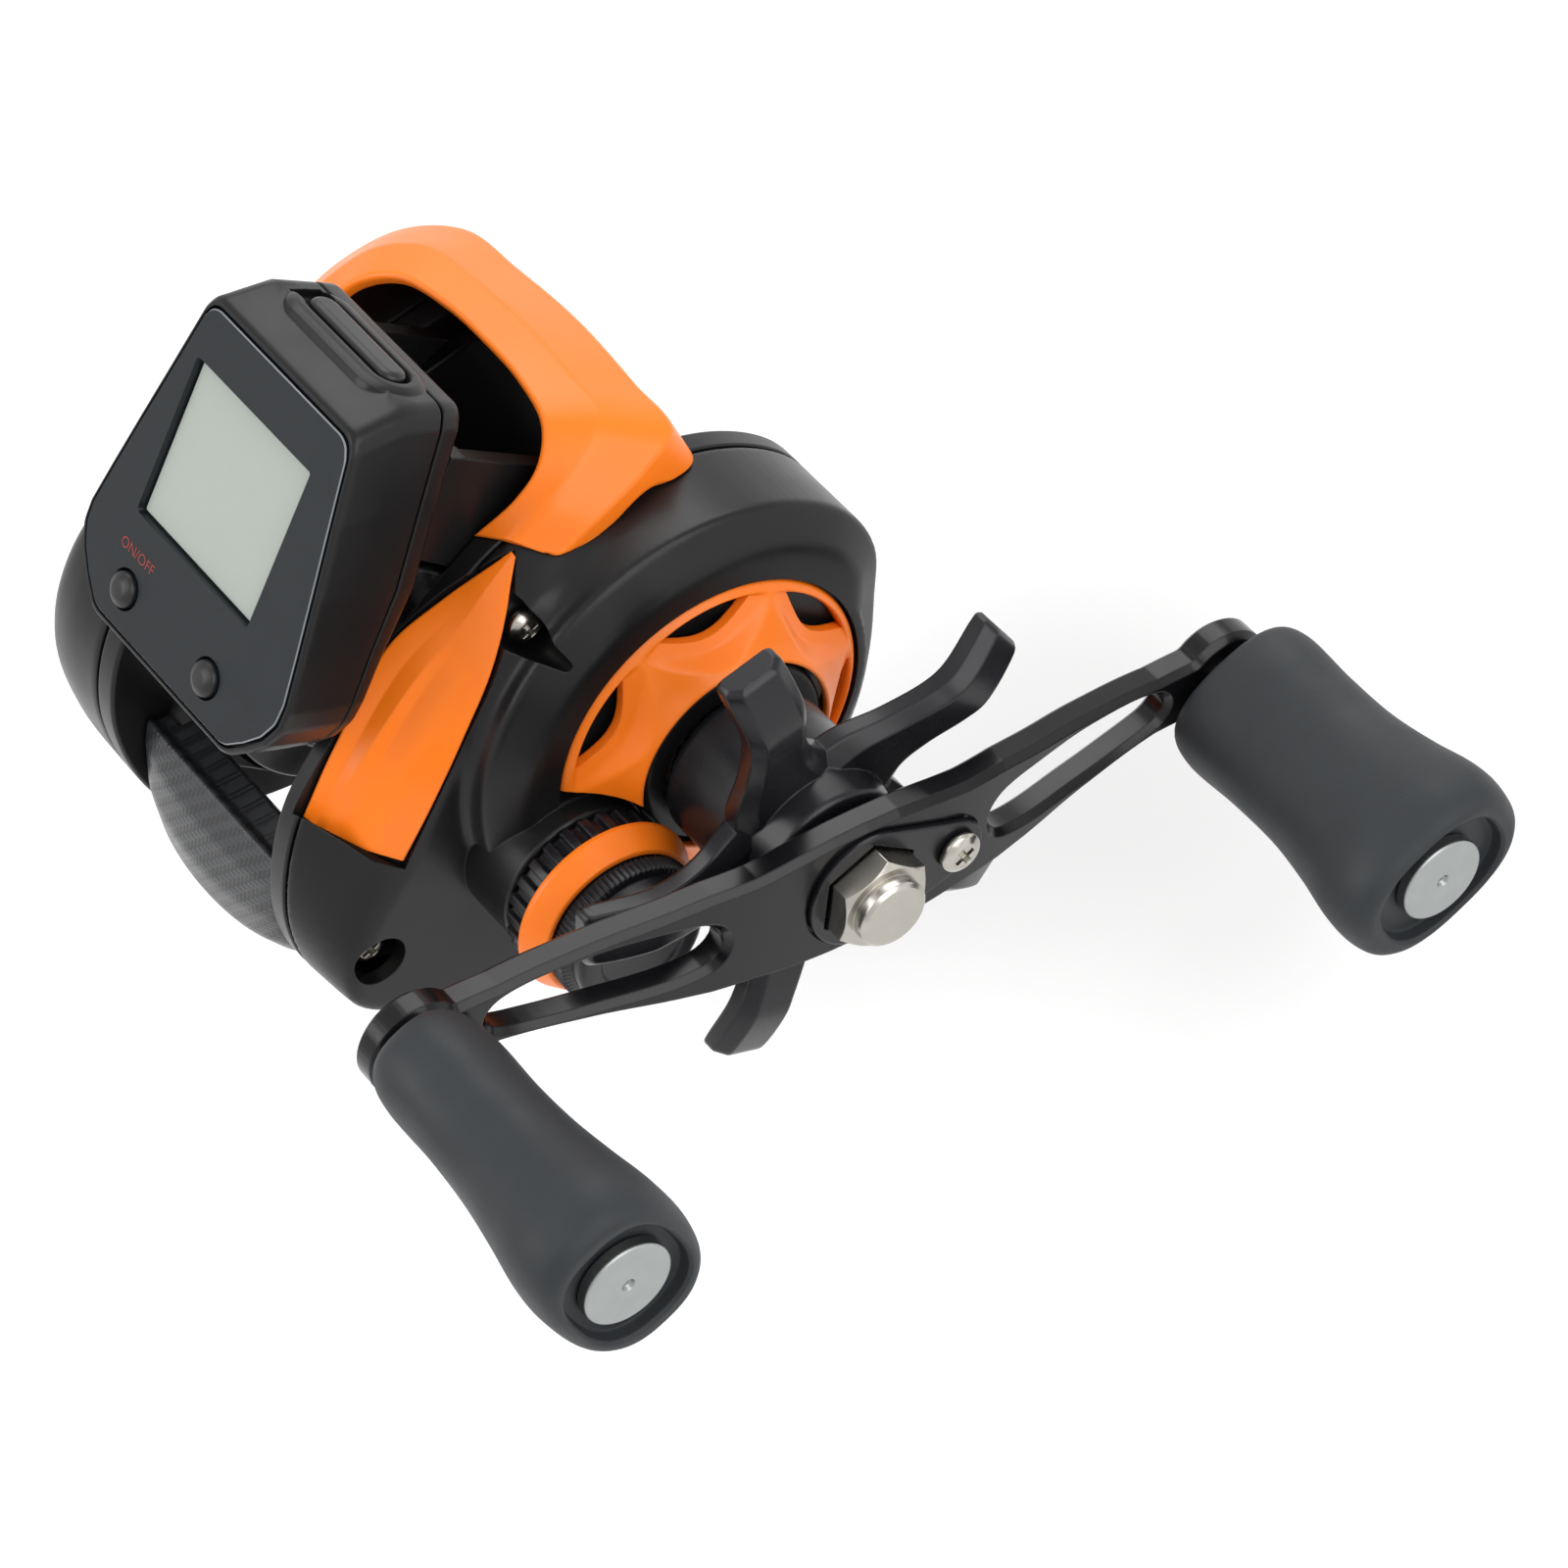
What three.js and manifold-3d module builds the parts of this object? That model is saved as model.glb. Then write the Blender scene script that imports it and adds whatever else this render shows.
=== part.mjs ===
// Low-profile baitcasting reel with an electronic line counter, right-hand wind.
// Units are millimetres. +X is the handle side, +Y points to the rod tip, +Z is up.
// The origin is the middle of the foot's flat underside, where the foot meets the rod seat.
// Most pieces are drawn about the spool axis: x across the reel, y forward and z up from that axis.
import * as THREE from 'three';
import * as BufferGeometryUtils from 'three/addons/utils/BufferGeometryUtils.js';
import Module from 'manifold-3d';

const wasm = await Module();
wasm.setup();

// Driving dimensions of the whole reel
const gap = 0.3;
const overrun = 2;
const spoolSetback = 8;
const gearModule = 0.5;
const driveTeeth = 72;
const pinionTeeth = 10;
const shaftOffset = (gearModule * (driveTeeth + pinionTeeth)) / 2;
const spoolRadius = 16.8;
const spoolAboveSeat = 5.7;
const spoolHeight = spoolRadius + spoolAboveSeat;

// Counts of facets
const fineFacets = 36;
const midFacets = 24;
const smallFacets = 14;
const tinyFacets = 8;
const knobFacets = 20;

// Spool
const spoolHalfWidth = 10.8;
const spoolFlange = 1.1;
const spoolDrumRadius = 9.5;
const spoolDrumEnd = 11.6;
const spoolShaftRadius = 1.5;
const spoolHubRadius = 3.4;
const spoolHubReach = 1.6;
const sensorThickness = 1.4;
const sensorHalf = 1.6;
const sensorGap = 1.2;

// Frame and the plates beside it
const wormSpacing = 10.5;
const wormForward = shaftOffset + wormSpacing;
const frontBeforeWorm = 5.8;
const wallInner = 11.2;
const wallThickness = 2;
const wallOuter = wallInner + wallThickness;
const spoolWindow = spoolRadius + 2 * gap;
const floorThickness = 2;
const floorClearance = 0.4;
const floorTop = -(spoolRadius + floorClearance);
const floorBottom = floorTop - floorThickness;
const floorRear = -5;
const rearBehindSpool = 2.4;
const frameAboveSpool = 12.2;
const frameFront = wormForward + frontBeforeWorm;
const frameRear = spoolRadius + rearBehindSpool;
const frameRise = spoolRadius + frameAboveSpool;
const topBarDepth = 4.2;
const topBarHeight = 3.6;
const frontBarHeight = 5;
const frontBarDepth = 3;
const sideRingThickness = 3;
const gearFrameThickness = 2.7;
const casingBehindSpool = 9.8;
const casingAboveSpool = 13.2;
const casingRear = spoolRadius + casingBehindSpool;
const casingRise = spoolRadius + casingAboveSpool;
const coverWall = 1.8;
const leftCoverDepth = 12.4;
const leftCoverRounding = 3.5;
const rightCaseDepth = 7.5;
const gearCaseRadius = 26.6;
const gearCaseDepth = 10.4;
const gearCaseChamfer = 2.4;
const gearCaseFaceRadius = 22.4;
const gearCaseEndWall = 2.3;
const gearCaseDish = 1.5;
const gearCavityRadius = 19.4;
const reliefClearance = 0.9;

// Places across the reel that follow from the plates beside the frame
const ringInner = -(wallOuter + gap);
const ringOuter = ringInner - sideRingThickness;
const coverInner = ringOuter - gap;
const coverOuter = coverInner - leftCoverDepth;
const gearFrameInner = wallOuter + gap;
const gearFrameOuter = gearFrameInner + gearFrameThickness;
const caseInner = gearFrameOuter + gap;
const caseFace = caseInner + rightCaseDepth;
const gearCaseShoulder = caseInner + gearCaseDepth;
const gearCaseFace = gearCaseShoulder + gearCaseChamfer;
const gearCaseFloor = gearCaseFace - gearCaseDish;

// Brake dial and magnets behind the left cover
const bearingSeatWall = 1.4;
const magnetDepth = 2.6;
const magnetOuter = 12.6;
const magnetPocketCount = 6;
const dialRadius = 9.6;
const dialHeight = 2.3;
const dialFluteDepth = 0.6;
const dialStemRadius = 3;
const dialFluteCount = 18;
const dialPointerHalf = 0.3;
const dialPointerDepth = 0.6;

// Screws of the gear case
const caseScrewRadius = 2.1;
const caseScrewHead = 1.4;
const caseScrewShank = 1.1;
const upperScrewForward = 13.8;
const upperScrewBelowTop = 6;
const upperScrewRise = casingRise - upperScrewBelowTop;
const upperScrewSeatDepth = 4.2;
const rearScrewFromEnd = 5.9;
const rearScrewBack = casingRear - rearScrewFromEnd;
const rearScrewRise = 3.2;
const rearScrewSunk = 3.4;
const screwPocketRadius = caseScrewRadius + 2 * gap;
const grooveLength = 9;
const grooveFlare = 4.3;

// Accent panel on the shoulder of the gear case
const panelThickness = 1.1;

// Foot and its screws
const footLength = 65;
const footWidth = 12.6;
const footThickness = 3;
const footEndThickness = 1.7;
const footPadLength = 34;
const footScrewSpacing = 20;
const footScrewHeadRadius = 2.2;
const footScrewHeadHeight = 1.1;
const footScrewRadius = 1.2;

// Level wind
const wormDrop = 4;
const wormRadius = 2.2;
const guideRodSpacing = 2.6;
const guideRodForward = wormForward + guideRodSpacing;
const guideRodAboveFloor = 6.3;
const guideRodDrop = spoolRadius - guideRodAboveFloor;
const guideRodRadius = 0.95;
const guideHalfWidth = 2.7;
const guideWall = 1.5;
const guideEyeRise = 3.4;
const guideEyeHalfHeight = 3.6;
const guideEyeHalfWidth = 1.6;
const guideThickness = 2.6;
const levelDriveTeeth = 28;
const wormGearTeeth = 20;
const levelGearWidth = 1.4;

// Drive train on the handle shaft
const shaftRadius = 4;
const shaftJournalRadius = 2.4;
const shaftThreadRadius = 3.2;
const driveGearWidth = 2.6;
const dragWasherRadius = 13;
const dragWasherThickness = 0.7;
const pressurePlateRadius = 10.8;
const pressurePlateThickness = 1.1;
const oneWayRadius = 8.1;
const oneWayBore = 4.4;
const shaftBearingRadius = 4.8;
const spoolBearingRadius = 5;
const spoolBearingWidth = 2.5;

// Dome cover and its hub
const domeRadius = 18.5;
const domeHole = 11.5;
const domeRise = 6.1;
const domeSkin = 1.1;
const domeSlotOuter = 17.4;
const domeSlotInner = 14;
const domeSlotHalfAngle = 18;
const domeSlotFirstAngle = -155;
const domeSlotStepAngle = 55;
const domeSlotCount = 6;
const domeStart = gearCaseFloor + gap;
const hubTubeRadius = 11.1;
const hubTubeProud = 4.1;
const hubTubeReach = gearCaseFace + hubTubeProud;

// Cast control knob on the spool axis, counted outwards from the gear case
const castBossRadius = 9.2;
const castBossProud = 7.8;
const castBossEnd = caseFace + castBossProud;
const castKnobClearance = 0.4;
const castKnobStart = castBossEnd + castKnobClearance;
const castNeckRadius = 6.6;
const castNeckLength = 3.8;
const castNeckEnd = castKnobStart + castNeckLength;
const castBore = 5.35;
const castSplineRadius = 9.6;
const castSplineDepth = 0.7;
const castSplineCount = 26;
const castSplineLength = 3.1;
const castSplineEnd = castKnobStart + castSplineLength;
const castCoreRadius = 8.2;
const castRingWidth = 3.2;
const castRingStart = castSplineEnd + gap;
const castRingEnd = castRingStart + castRingWidth;
const castRingRearRadius = 10.4;
const castRingFrontRadius = 9.1;
const castKnurlRadius = 8.7;
const castKnurlWidth = 2.2;
const castKnurlEnd = castRingEnd + castKnurlWidth;
const castCapRadius = 7.6;
const castCapWidth = 2.2;
const castKnobEnd = castKnurlEnd + castCapWidth;
const castKnobBite = 11;

// Star drag, whose arms stand clear of the cast control knob
const starBarrelRadius = 9.4;
const starBarrelClearance = 0.7;
const starStart = hubTubeReach + starBarrelClearance;
const starArmClearance = 0.4;
const starArmInner = castKnobEnd + starArmClearance;
const starArmThickness = 3;
const starArmCount = 5;
const starFirstAngle = 78;
const starTipRadius = 27;
const starTipHalfWidth = 3.5;
const starRootHalfWidth = 5.2;
const starPadLength = 6.5;
const starPadRise = 3.4;
const starRootLeanAngle = 9;

// Handle
const handleHalfLength = 50;
const handleAngle = -31;
const armStandoff = 12.8;
const armOuter = starArmInner + armStandoff;
const armThickness = 3.5;
const armSweep = 4.4;
const armHubRadius = 10.2;
const armInnerHalfWidth = 6.4;
const armOuterHalfWidth = 3.9;
const armBossRadius = 5.7;
const armSlotStart = 18;
const armSlotFromKnob = 9;
const armSlotEnd = handleHalfLength - armSlotFromKnob;
const armSlotInnerHalf = 3.3;
const armSlotOuterHalf = 1.9;
const retainerThickness = 1;
const retainerRadius = 8.2;
const retainerEndRadius = 3.6;
const retainerScrewAt = 11;
const retainerScrewRadius = 2.4;
const retainerScrewHead = 1.2;
const retainerScrewDepth = 1.8;
const nutSideCount = 6;
const nutTurnAngle = 27;
const nutAcrossCorners = 11.4;
const nutHexHeight = 2.7;
const nutCapRadius = 4.6;
const nutCapHeight = 2.3;
const spindleRadius = 2.5;
const spindleReach = 34;

// Places of the gears, the drag and the screws that follow from the sizes above
const levelGearStart = caseInner + gap;
const driveGearStart = levelGearStart + levelGearWidth + gap;
const dragWasherStart = driveGearStart + driveGearWidth + gap;
const pressurePlateStart = dragWasherStart + dragWasherThickness + gap;
const threadEnd = armOuter + retainerThickness + nutHexHeight + gap;
const screwUpper = { y: upperScrewForward, z: upperScrewRise, seat: caseInner + upperScrewSeatDepth };
const screwRear = { y: -rearScrewBack, z: rearScrewRise, seat: caseFace - rearScrewSunk };

// Paddle knobs
const knobStandoff = 1;
const knobLength = 34.6;
const knobStart = armOuter - armSweep + knobStandoff;
const knobEnd = knobStart + knobLength;
const knobWide = 11;
const knobNarrow = 8.3;
const knobRecessWide = 7.7;
const knobRecessNarrow = 6.2;
const knobRecessDepth = 1.7;
const knobCapRadius = 4.95;
const knobCapThickness = 1.1;
const knobSquarenessPower = 2.5;

// Thumb bar
const thumbHalfWidth = 13.2;
const thumbBehindFrame = 2.2;
const thumbTopEdge = frameRear + thumbBehindFrame;
const thumbTopHeight = 12.6;
const thumbDepth = 8.4;
const thumbEndDepth = 4.2;
const thumbSkin = 2.4;
const thumbLipReach = 3.6;

// Display housing
const displayOffset = 0.8;
const displayForward = 1.1;
const displayLift = 16.8;
const displayHeight = frameRise + displayLift;
const displayTiltAngle = 34.7;
const faceTop = 14;
const faceBottom = 21.4;
const faceHalfWidth = 18.7;
const faceThickness = 1.2;
const shellMargin = 0.9;
const shellDepth = 10.9;
const backDepth = 14;
const shellWall = 1.5;
const shellDraft = 1.3;
const topRise = 2.7;
const topRiseDepth = 5.9;
const windowShift = -1;
const windowHalfWidth = 10.2;
const windowHalfHeight = 9;
const lcdMargin = 1;
const lcdThickness = 1.6;
const buttonRadius = 1.95;
const buttonRise = 0.9;
const buttonFlangeRadius = 2.6;
const buttonFlangeHeight = 0.6;
const buttonDown = 17.2;
const buttonSpread = 7.9;
const boardThickness = 1;
const boardHalfWidth = 12;
const boardHalfHeight = 12.5;
const batteryHalfWidth = 10;
const batteryHeight = 12;
const batteryThickness = 4.2;
const plugHalfLength = 7.6;
const plugWidth = 3.4;
const plugRise = 1.7;
const plugDepth = 8.9;
const socketHalfWidth = 4.4;
const socketLength = 5;
const socketHeight = 2.6;
const bracketMargin = 1;
const bracketThickness = 2;

// Hood
const hoodThickness = 1.9;
const hoodCrown = 1.1;
const hoodSteps = 30;

// Outlines in the side view, as shares of the casing's reach behind the spool axis and its rise.
const leftPlateShares = [
  [-1.01, 0.05], [-0.99, 0.3], [-0.9, 0.54], [-0.73, 0.74], [-0.49, 0.88], [-0.15, 0.94], [0.2, 0.96],
  [0.6, 0.97], [0.95, 0.93], [1.25, 0.84], [1.43, 0.62], [1.46, 0.2], [1.42, -0.25], [1.25, -0.52],
  [0.9, -0.64], [0.4, -0.66], [-0.1, -0.63], [-0.5, -0.5], [-0.81, -0.31], [-0.96, -0.13],
];
const rightPlateShares = [
  [-1, 0.06], [-0.94, 0.3], [-0.79, 0.52], [-0.6, 0.69], [-0.34, 0.81], [-0.1, 0.88], [0.12, 0.93],
  [0.38, 0.98], [0.65, 1.01], [0.9, 0.96], [1.15, 0.8], [1.3, 0.4], [1.3, -0.1], [1.2, -0.45],
  [0.9, -0.64], [0.4, -0.67], [-0.1, -0.63], [-0.5, -0.48], [-0.8, -0.28], [-0.96, -0.1],
];
const rightFaceShares = [
  [-0.97, 0.03], [-0.86, 0.18], [-0.68, 0.29], [-0.46, 0.38], [-0.26, 0.49], [-0.05, 0.61], [0.14, 0.72],
  [0.38, 0.86], [0.6, 0.92], [0.85, 0.84], [1.1, 0.66], [1.2, 0.36], [1.2, -0.1], [1.1, -0.42],
  [0.85, -0.6], [0.4, -0.64], [-0.1, -0.6], [-0.48, -0.45], [-0.77, -0.26], [-0.93, -0.12],
];
const frameRearShares = [[-1, 0], [-0.93, 0.28], [-0.66, 0.5], [-0.3, 0.62]];
const frameFrontShares = [[0.052, 0.73], [0.287, 0.83], [0.574, 0.87], [0.835, 0.8], [0.991, 0.62]];
const plateCount = 32;

// Radius of the gear case round the handle shaft, as angle and share of the largest radius.
const gearCaseShares = [
  [0, 0.96], [18, 1], [40, 1], [65, 1], [90, 1], [115, 1], [140, 1], [165, 1], [190, 1], [215, 1], [240, 0.99],
  [262, 0.96], [284, 0.91], [306, 0.86], [326, 0.84], [344, 0.87],
];

// The accent panel is a skin let into the shoulder of the gear case. Each station runs from the inner
// edge over a crease to the outer edge, and the last one is the pointed end. The shares are of the
// case's depth, of the casing's reach behind the spool axis and of its rise.
const panelShares = [
  [[-0.133, -0.598, 0.647], [0.093, -0.583, 0.563], [0.907, -0.436, 0.397]],
  [[-0.12, -0.331, 0.807], [0.2, -0.323, 0.72], [0.973, -0.211, 0.533]],
  [[-0.333, 0.086, 0.937], [0.173, 0.06, 0.847], [0.973, 0.038, 0.673]],
  [[-0.173, 0.368, 0.963], [0.253, 0.338, 0.92], [0.92, 0.301, 0.82]],
  [[0.04, 0.534, 0.993], [0.28, 0.519, 0.98], [0.707, 0.489, 0.92]],
  [[0.227, 0.673, 1.017], [0.28, 0.673, 1.017], [0.347, 0.669, 1.01]],
];

// A knob's length and its two half widths, as shares of the whole.
const knobShares = [
  [0, 0.62, 0.55], [0.03, 0.77, 0.7], [0.09, 0.83, 0.75], [0.3, 0.81, 0.75], [0.5, 0.82, 0.8], [0.68, 0.9, 0.9],
  [0.82, 0.99, 0.99], [0.9, 1, 1], [0.965, 0.95, 0.94], [1, 0.84, 0.83],
];

// The front hood is a band swept round the opening behind it, from the right leg to the left edge. Its inner
// edge, outer edge and lower rim are shares of the frame's half width, of its front and of its rise.
const hoodInnerShares = [
  [1.03, 0.443, 1.069], [1.159, 0.584, 1.138], [1.152, 0.69, 1.183], [0.955, 0.78, 1.221],
  [0.53, 0.821, 1.241], [0, 0.832, 1.248], [-0.53, 0.826, 1.252], [-1.03, 0.788, 1.252],
  [-1.303, 0.69, 1.241], [-1.364, 0.557, 1.207], [-1.348, 0.421, 1.155],
];
const hoodOuterShares = [
  [1.606, 0.565, 0.972], [1.606, 0.72, 0.972], [1.53, 0.897, 0.945], [1.379, 1.038, 0.924],
  [0.833, 1.057, 0.945], [0, 1.073, 0.948], [-0.795, 1.06, 0.948], [-1.47, 1.035, 0.945],
  [-1.833, 0.913, 0.986], [-1.985, 0.707, 1.021], [-1.985, 0.429, 1.007],
];
const hoodLowerShares = [
  [1.606, 0.565, 0.883], [1.606, 0.72, 0.883], [1.53, 0.897, 0.841], [1.364, 1.022, 0.552],
  [0.833, 1.041, 0.4], [0, 1.057, 0.379], [-0.795, 1.043, 0.4], [-1.455, 1.019, 0.552],
  [-1.818, 0.908, 0.759], [-1.985, 0.707, 0.89], [-1.985, 0.429, 0.897],
];

// Right half of the face outline, as shares of the half width and the height above or below the window.
const faceShares = [
  [0, 1], [0.62, 1], [0.68, 0.97], [0.72, 0.88], [0.8, 0.4], [0.88, -0.05], [0.95, -0.35], [1, -0.58],
  [0.995, -0.69], [0.93, -0.8], [0.82, -0.9], [0.7, -0.985], [0.64, -1], [0, -1],
];

// Finishes
const paintBlack = { color: 0x1b1b1c, roughness: 0.5, metalness: 0.1 };
const paintOrange = { color: 0xff6a13, roughness: 0.35, metalness: 0.05 };
const bareSteel = { color: 0xb9b9b6, roughness: 0.25, metalness: 1 };
const nickel = { color: 0xc9c6bd, roughness: 0.18, metalness: 1 };
const brass = { color: 0xb5924c, roughness: 0.35, metalness: 1 };
const blackMetal = { color: 0x161617, roughness: 0.38, metalness: 0.6 };
const blackRubber = { color: 0x2b2d30, roughness: 0.75, metalness: 0 };
const glossBlack = { color: 0x303337, roughness: 0.2, metalness: 0.1 };
const lcdGrey = { color: 0xbcc4bb, roughness: 0.4, metalness: 0 };
const boardGreen = { color: 0x1f5b35, roughness: 0.6, metalness: 0 };
const ceramicWhite = { color: 0xe6e4dc, roughness: 0.3, metalness: 0 };
const carbonFibre = { color: 0x2c2e30, roughness: 0.6, metalness: 0.1 };
const magnetGrey = { color: 0x77787a, roughness: 0.4, metalness: 0.9 };

const reel = new THREE.Group();
reel.position.set(0, -spoolSetback, spoolHeight);

// Solids

function solidOf(geometry) {
  const plain = geometry.clone();
  plain.deleteAttribute('normal');
  plain.deleteAttribute('uv');
  const merged = BufferGeometryUtils.mergeVertices(plain);
  const index = merged.index.array;
  const kept = [];
  for (let i = 0; i < index.length; i += 3) {
    const [a, b, c] = [index[i], index[i + 1], index[i + 2]];
    if (a !== b && b !== c && c !== a) kept.push(a, b, c);
  }
  const vertProperties = new Float32Array(merged.attributes.position.array);
  const inward = signedVolume(vertProperties, kept) < 0;
  if (inward) kept.reverse();
  const triVerts = new Uint32Array(kept);
  return new wasm.Manifold(new wasm.Mesh({ numProp: 3, vertProperties, triVerts }));
}

function signedVolume(points, triangles) {
  const corner = (i) => new THREE.Vector3().fromArray(points, triangles[i] * 3);
  let total = 0;
  for (let i = 0; i < triangles.length; i += 3) {
    total += corner(i).dot(corner(i + 1).cross(corner(i + 2)));
  }
  return total;
}

function addPart(name, solid, finish, parent = reel) {
  const made = solid.getMesh();
  const geometry = new THREE.BufferGeometry();
  geometry.setAttribute('position', new THREE.Float32BufferAttribute(made.vertProperties, 3));
  geometry.setIndex(new THREE.BufferAttribute(made.triVerts, 1));
  geometry.computeVertexNormals();
  const mesh = new THREE.Mesh(geometry, new THREE.MeshStandardMaterial(finish));
  mesh.name = name;
  parent.add(mesh);
}

const alongX = new THREE.Matrix4().makeBasis(
  new THREE.Vector3(0, 1, 0), new THREE.Vector3(0, 0, 1), new THREE.Vector3(1, 0, 0));

// An outline in y and z, carried from one x to another.
function prismX(outline, from, to) {
  const shape = new THREE.Shape(outline.map(([y, z]) => new THREE.Vector2(y, z)));
  const geometry = new THREE.ExtrudeGeometry(shape, { depth: to - from, bevelEnabled: false });
  geometry.applyMatrix4(alongX);
  geometry.translate(from, 0, 0);
  return solidOf(geometry);
}

// An outline in x and y, carried from one z to another.
function prismZ(outline, from, to) {
  const shape = new THREE.Shape(outline.map(([x, y]) => new THREE.Vector2(x, y)));
  const geometry = new THREE.ExtrudeGeometry(shape, { depth: to - from, bevelEnabled: false });
  geometry.translate(0, 0, from);
  return solidOf(geometry);
}

// A profile of x and radius, turned about the x axis and moved to its own y and z.
function turned(profile, y = 0, z = 0, facets = midFacets) {
  const points = profile.map(([x, r]) => new THREE.Vector2(r, x));
  const open = profile[0][1] !== 0 || profile[profile.length - 1][1] !== 0;
  if (open) points.push(points[0].clone());
  const geometry = new THREE.LatheGeometry(points, facets);
  geometry.rotateZ(-Math.PI / 2);
  geometry.translate(0, y, z);
  return solidOf(geometry);
}

function rod(from, to, radius, y = 0, z = 0, facets = midFacets) {
  return turned([[from, 0], [from, radius], [to, radius], [to, 0]], y, z, facets);
}

function tube(from, to, outer, inner, y = 0, z = 0, facets = midFacets) {
  return turned([[from, inner], [from, outer], [to, outer], [to, inner]], y, z, facets);
}

// A rod along z, for screws that stand upright.
function postZ(from, to, radius, x, y, facets = smallFacets) {
  const geometry = new THREE.CylinderGeometry(radius, radius, to - from, facets);
  geometry.rotateX(Math.PI / 2);
  geometry.translate(x, y, (from + to) / 2);
  return solidOf(geometry);
}

function block(x0, x1, y0, y1, z0, z1) {
  const geometry = new THREE.BoxGeometry(x1 - x0, y1 - y0, z1 - z0);
  geometry.translate((x0 + x1) / 2, (y0 + y1) / 2, (z0 + z1) / 2);
  return solidOf(geometry);
}

// Rings of points joined one to the next, with a fan over each end.
function loft(rings) {
  const size = rings[0].length;
  const points = rings.flat();
  const triangles = [];
  for (let r = 0; r + 1 < rings.length; r += 1) {
    for (let i = 0; i < size; i += 1) {
      const j = (i + 1) % size;
      const [a, b, c, d] = [r * size + i, r * size + j, (r + 1) * size + j, (r + 1) * size + i];
      triangles.push(a, b, c, a, c, d);
    }
  }
  for (const [ring, turn] of [[0, false], [rings.length - 1, true]]) {
    const middle = new THREE.Vector3();
    rings[ring].forEach((p) => middle.add(p));
    points.push(middle.divideScalar(size));
    for (let i = 0; i < size; i += 1) {
      const [a, b] = [ring * size + i, ring * size + ((i + 1) % size)];
      if (turn) triangles.push(points.length - 1, a, b);
      else triangles.push(points.length - 1, b, a);
    }
  }
  const geometry = new THREE.BufferGeometry();
  geometry.setAttribute('position', new THREE.Float32BufferAttribute(points.flatMap((p) => p.toArray()), 3));
  geometry.setIndex(triangles);
  return solidOf(geometry);
}

function smoothLoop(corners, count) {
  const points = corners.map(([y, z]) => new THREE.Vector3(y, z, 0));
  const path = new THREE.CatmullRomCurve3(points, true, 'centripetal');
  return path.getSpacedPoints(count).slice(0, count).map((p) => [p.x, p.y]);
}

function smoothPath(corners, count) {
  const path = new THREE.CatmullRomCurve3(corners.map((p) => new THREE.Vector3(...p)), false, 'centripetal');
  return path.getPoints(count);
}

function scaled(shares, reach, rise) {
  return shares.map(([a, b]) => [a * reach, b * rise]);
}

function circle(radius, y, z, count) {
  const angles = Array.from({ length: count }, (_, i) => (i * 2 * Math.PI) / count);
  return angles.map((angle) => [y + radius * Math.cos(angle), z + radius * Math.sin(angle)]);
}

function toothedOutline(teeth, tip, root, y = 0, z = 0) {
  const toothShares = [[0, 0], [0.35, 1], [0.65, 1]];
  const outline = [];
  for (let tooth = 0; tooth < teeth; tooth += 1) {
    for (const [share, height] of toothShares) {
      const angle = ((tooth + share) * 2 * Math.PI) / teeth;
      const radius = root + (tip - root) * height;
      outline.push([y + radius * Math.cos(angle), z + radius * Math.sin(angle)]);
    }
  }
  return outline;
}

const radians = THREE.MathUtils.degToRad;

function joined(...solids) {
  return solids.reduce((whole, piece) => whole.add(piece));
}

function cut(solid, ...tools) {
  return tools.reduce((whole, tool) => whole.subtract(tool), solid);
}

function gearCaseRing(x, chamfer = 0, grown = 0) {
  const floor = domeRadius + gearCaseDish;
  const corners = gearCaseShares.map(([angle, share]) => {
    const radius = Math.max(gearCaseRadius * share - chamfer, floor) + grown;
    return [shaftOffset + radius * Math.cos(radians(angle)), radius * Math.sin(radians(angle))];
  });
  return smoothLoop(corners, fineFacets).map(([y, z]) => new THREE.Vector3(x, y, z));
}

function gearCaseRound(from, to, grown = 0) {
  return loft([gearCaseRing(from, 0, grown), gearCaseRing(to, 0, grown)]);
}

function plateRing(shares, x, reach = casingRear, rise = casingRise) {
  return smoothLoop(scaled(shares, reach, rise), plateCount).map(([y, z]) => new THREE.Vector3(x, y, z));
}

// Moves each point of a ring towards the ring's inside by a fixed amount.
function inset(ring, amount) {
  return ring.map((p, i) => {
    const before = ring[(i + ring.length - 1) % ring.length];
    const after = ring[(i + 1) % ring.length];
    const along = new THREE.Vector3().subVectors(after, before).normalize();
    return new THREE.Vector3(p.x, p.y + along.z * amount, p.z - along.y * amount);
  });
}

// Frame

function frameOutline() {
  const [lowerRearShare, lowerDropShare] = [0.72, 0.62];
  const upper = [
    ...scaled(frameRearShares, frameRear, frameRise),
    ...scaled(frameFrontShares, frameFront, frameRise)];
  const front = [[frameFront, upper[upper.length - 1][1] - topBarHeight], [frameFront, floorBottom]];
  const lower = [[floorRear, floorBottom], [-frameRear * lowerRearShare, -frameRear * lowerDropShare]];
  return [...upper, ...front, ...lower];
}

function frameWall(from, to) {
  const wall = prismX(frameOutline(), from, to);
  return cut(
    wall,
    rod(from - overrun, to + overrun, spoolWindow, 0, 0, fineFacets),
    rod(from - overrun, to + overrun, wormRadius + gap, wormForward, -wormDrop, smallFacets),
    rod(from - overrun, to + overrun, guideRodRadius + gap, guideRodForward, -guideRodDrop, tinyFacets));
}

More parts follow.
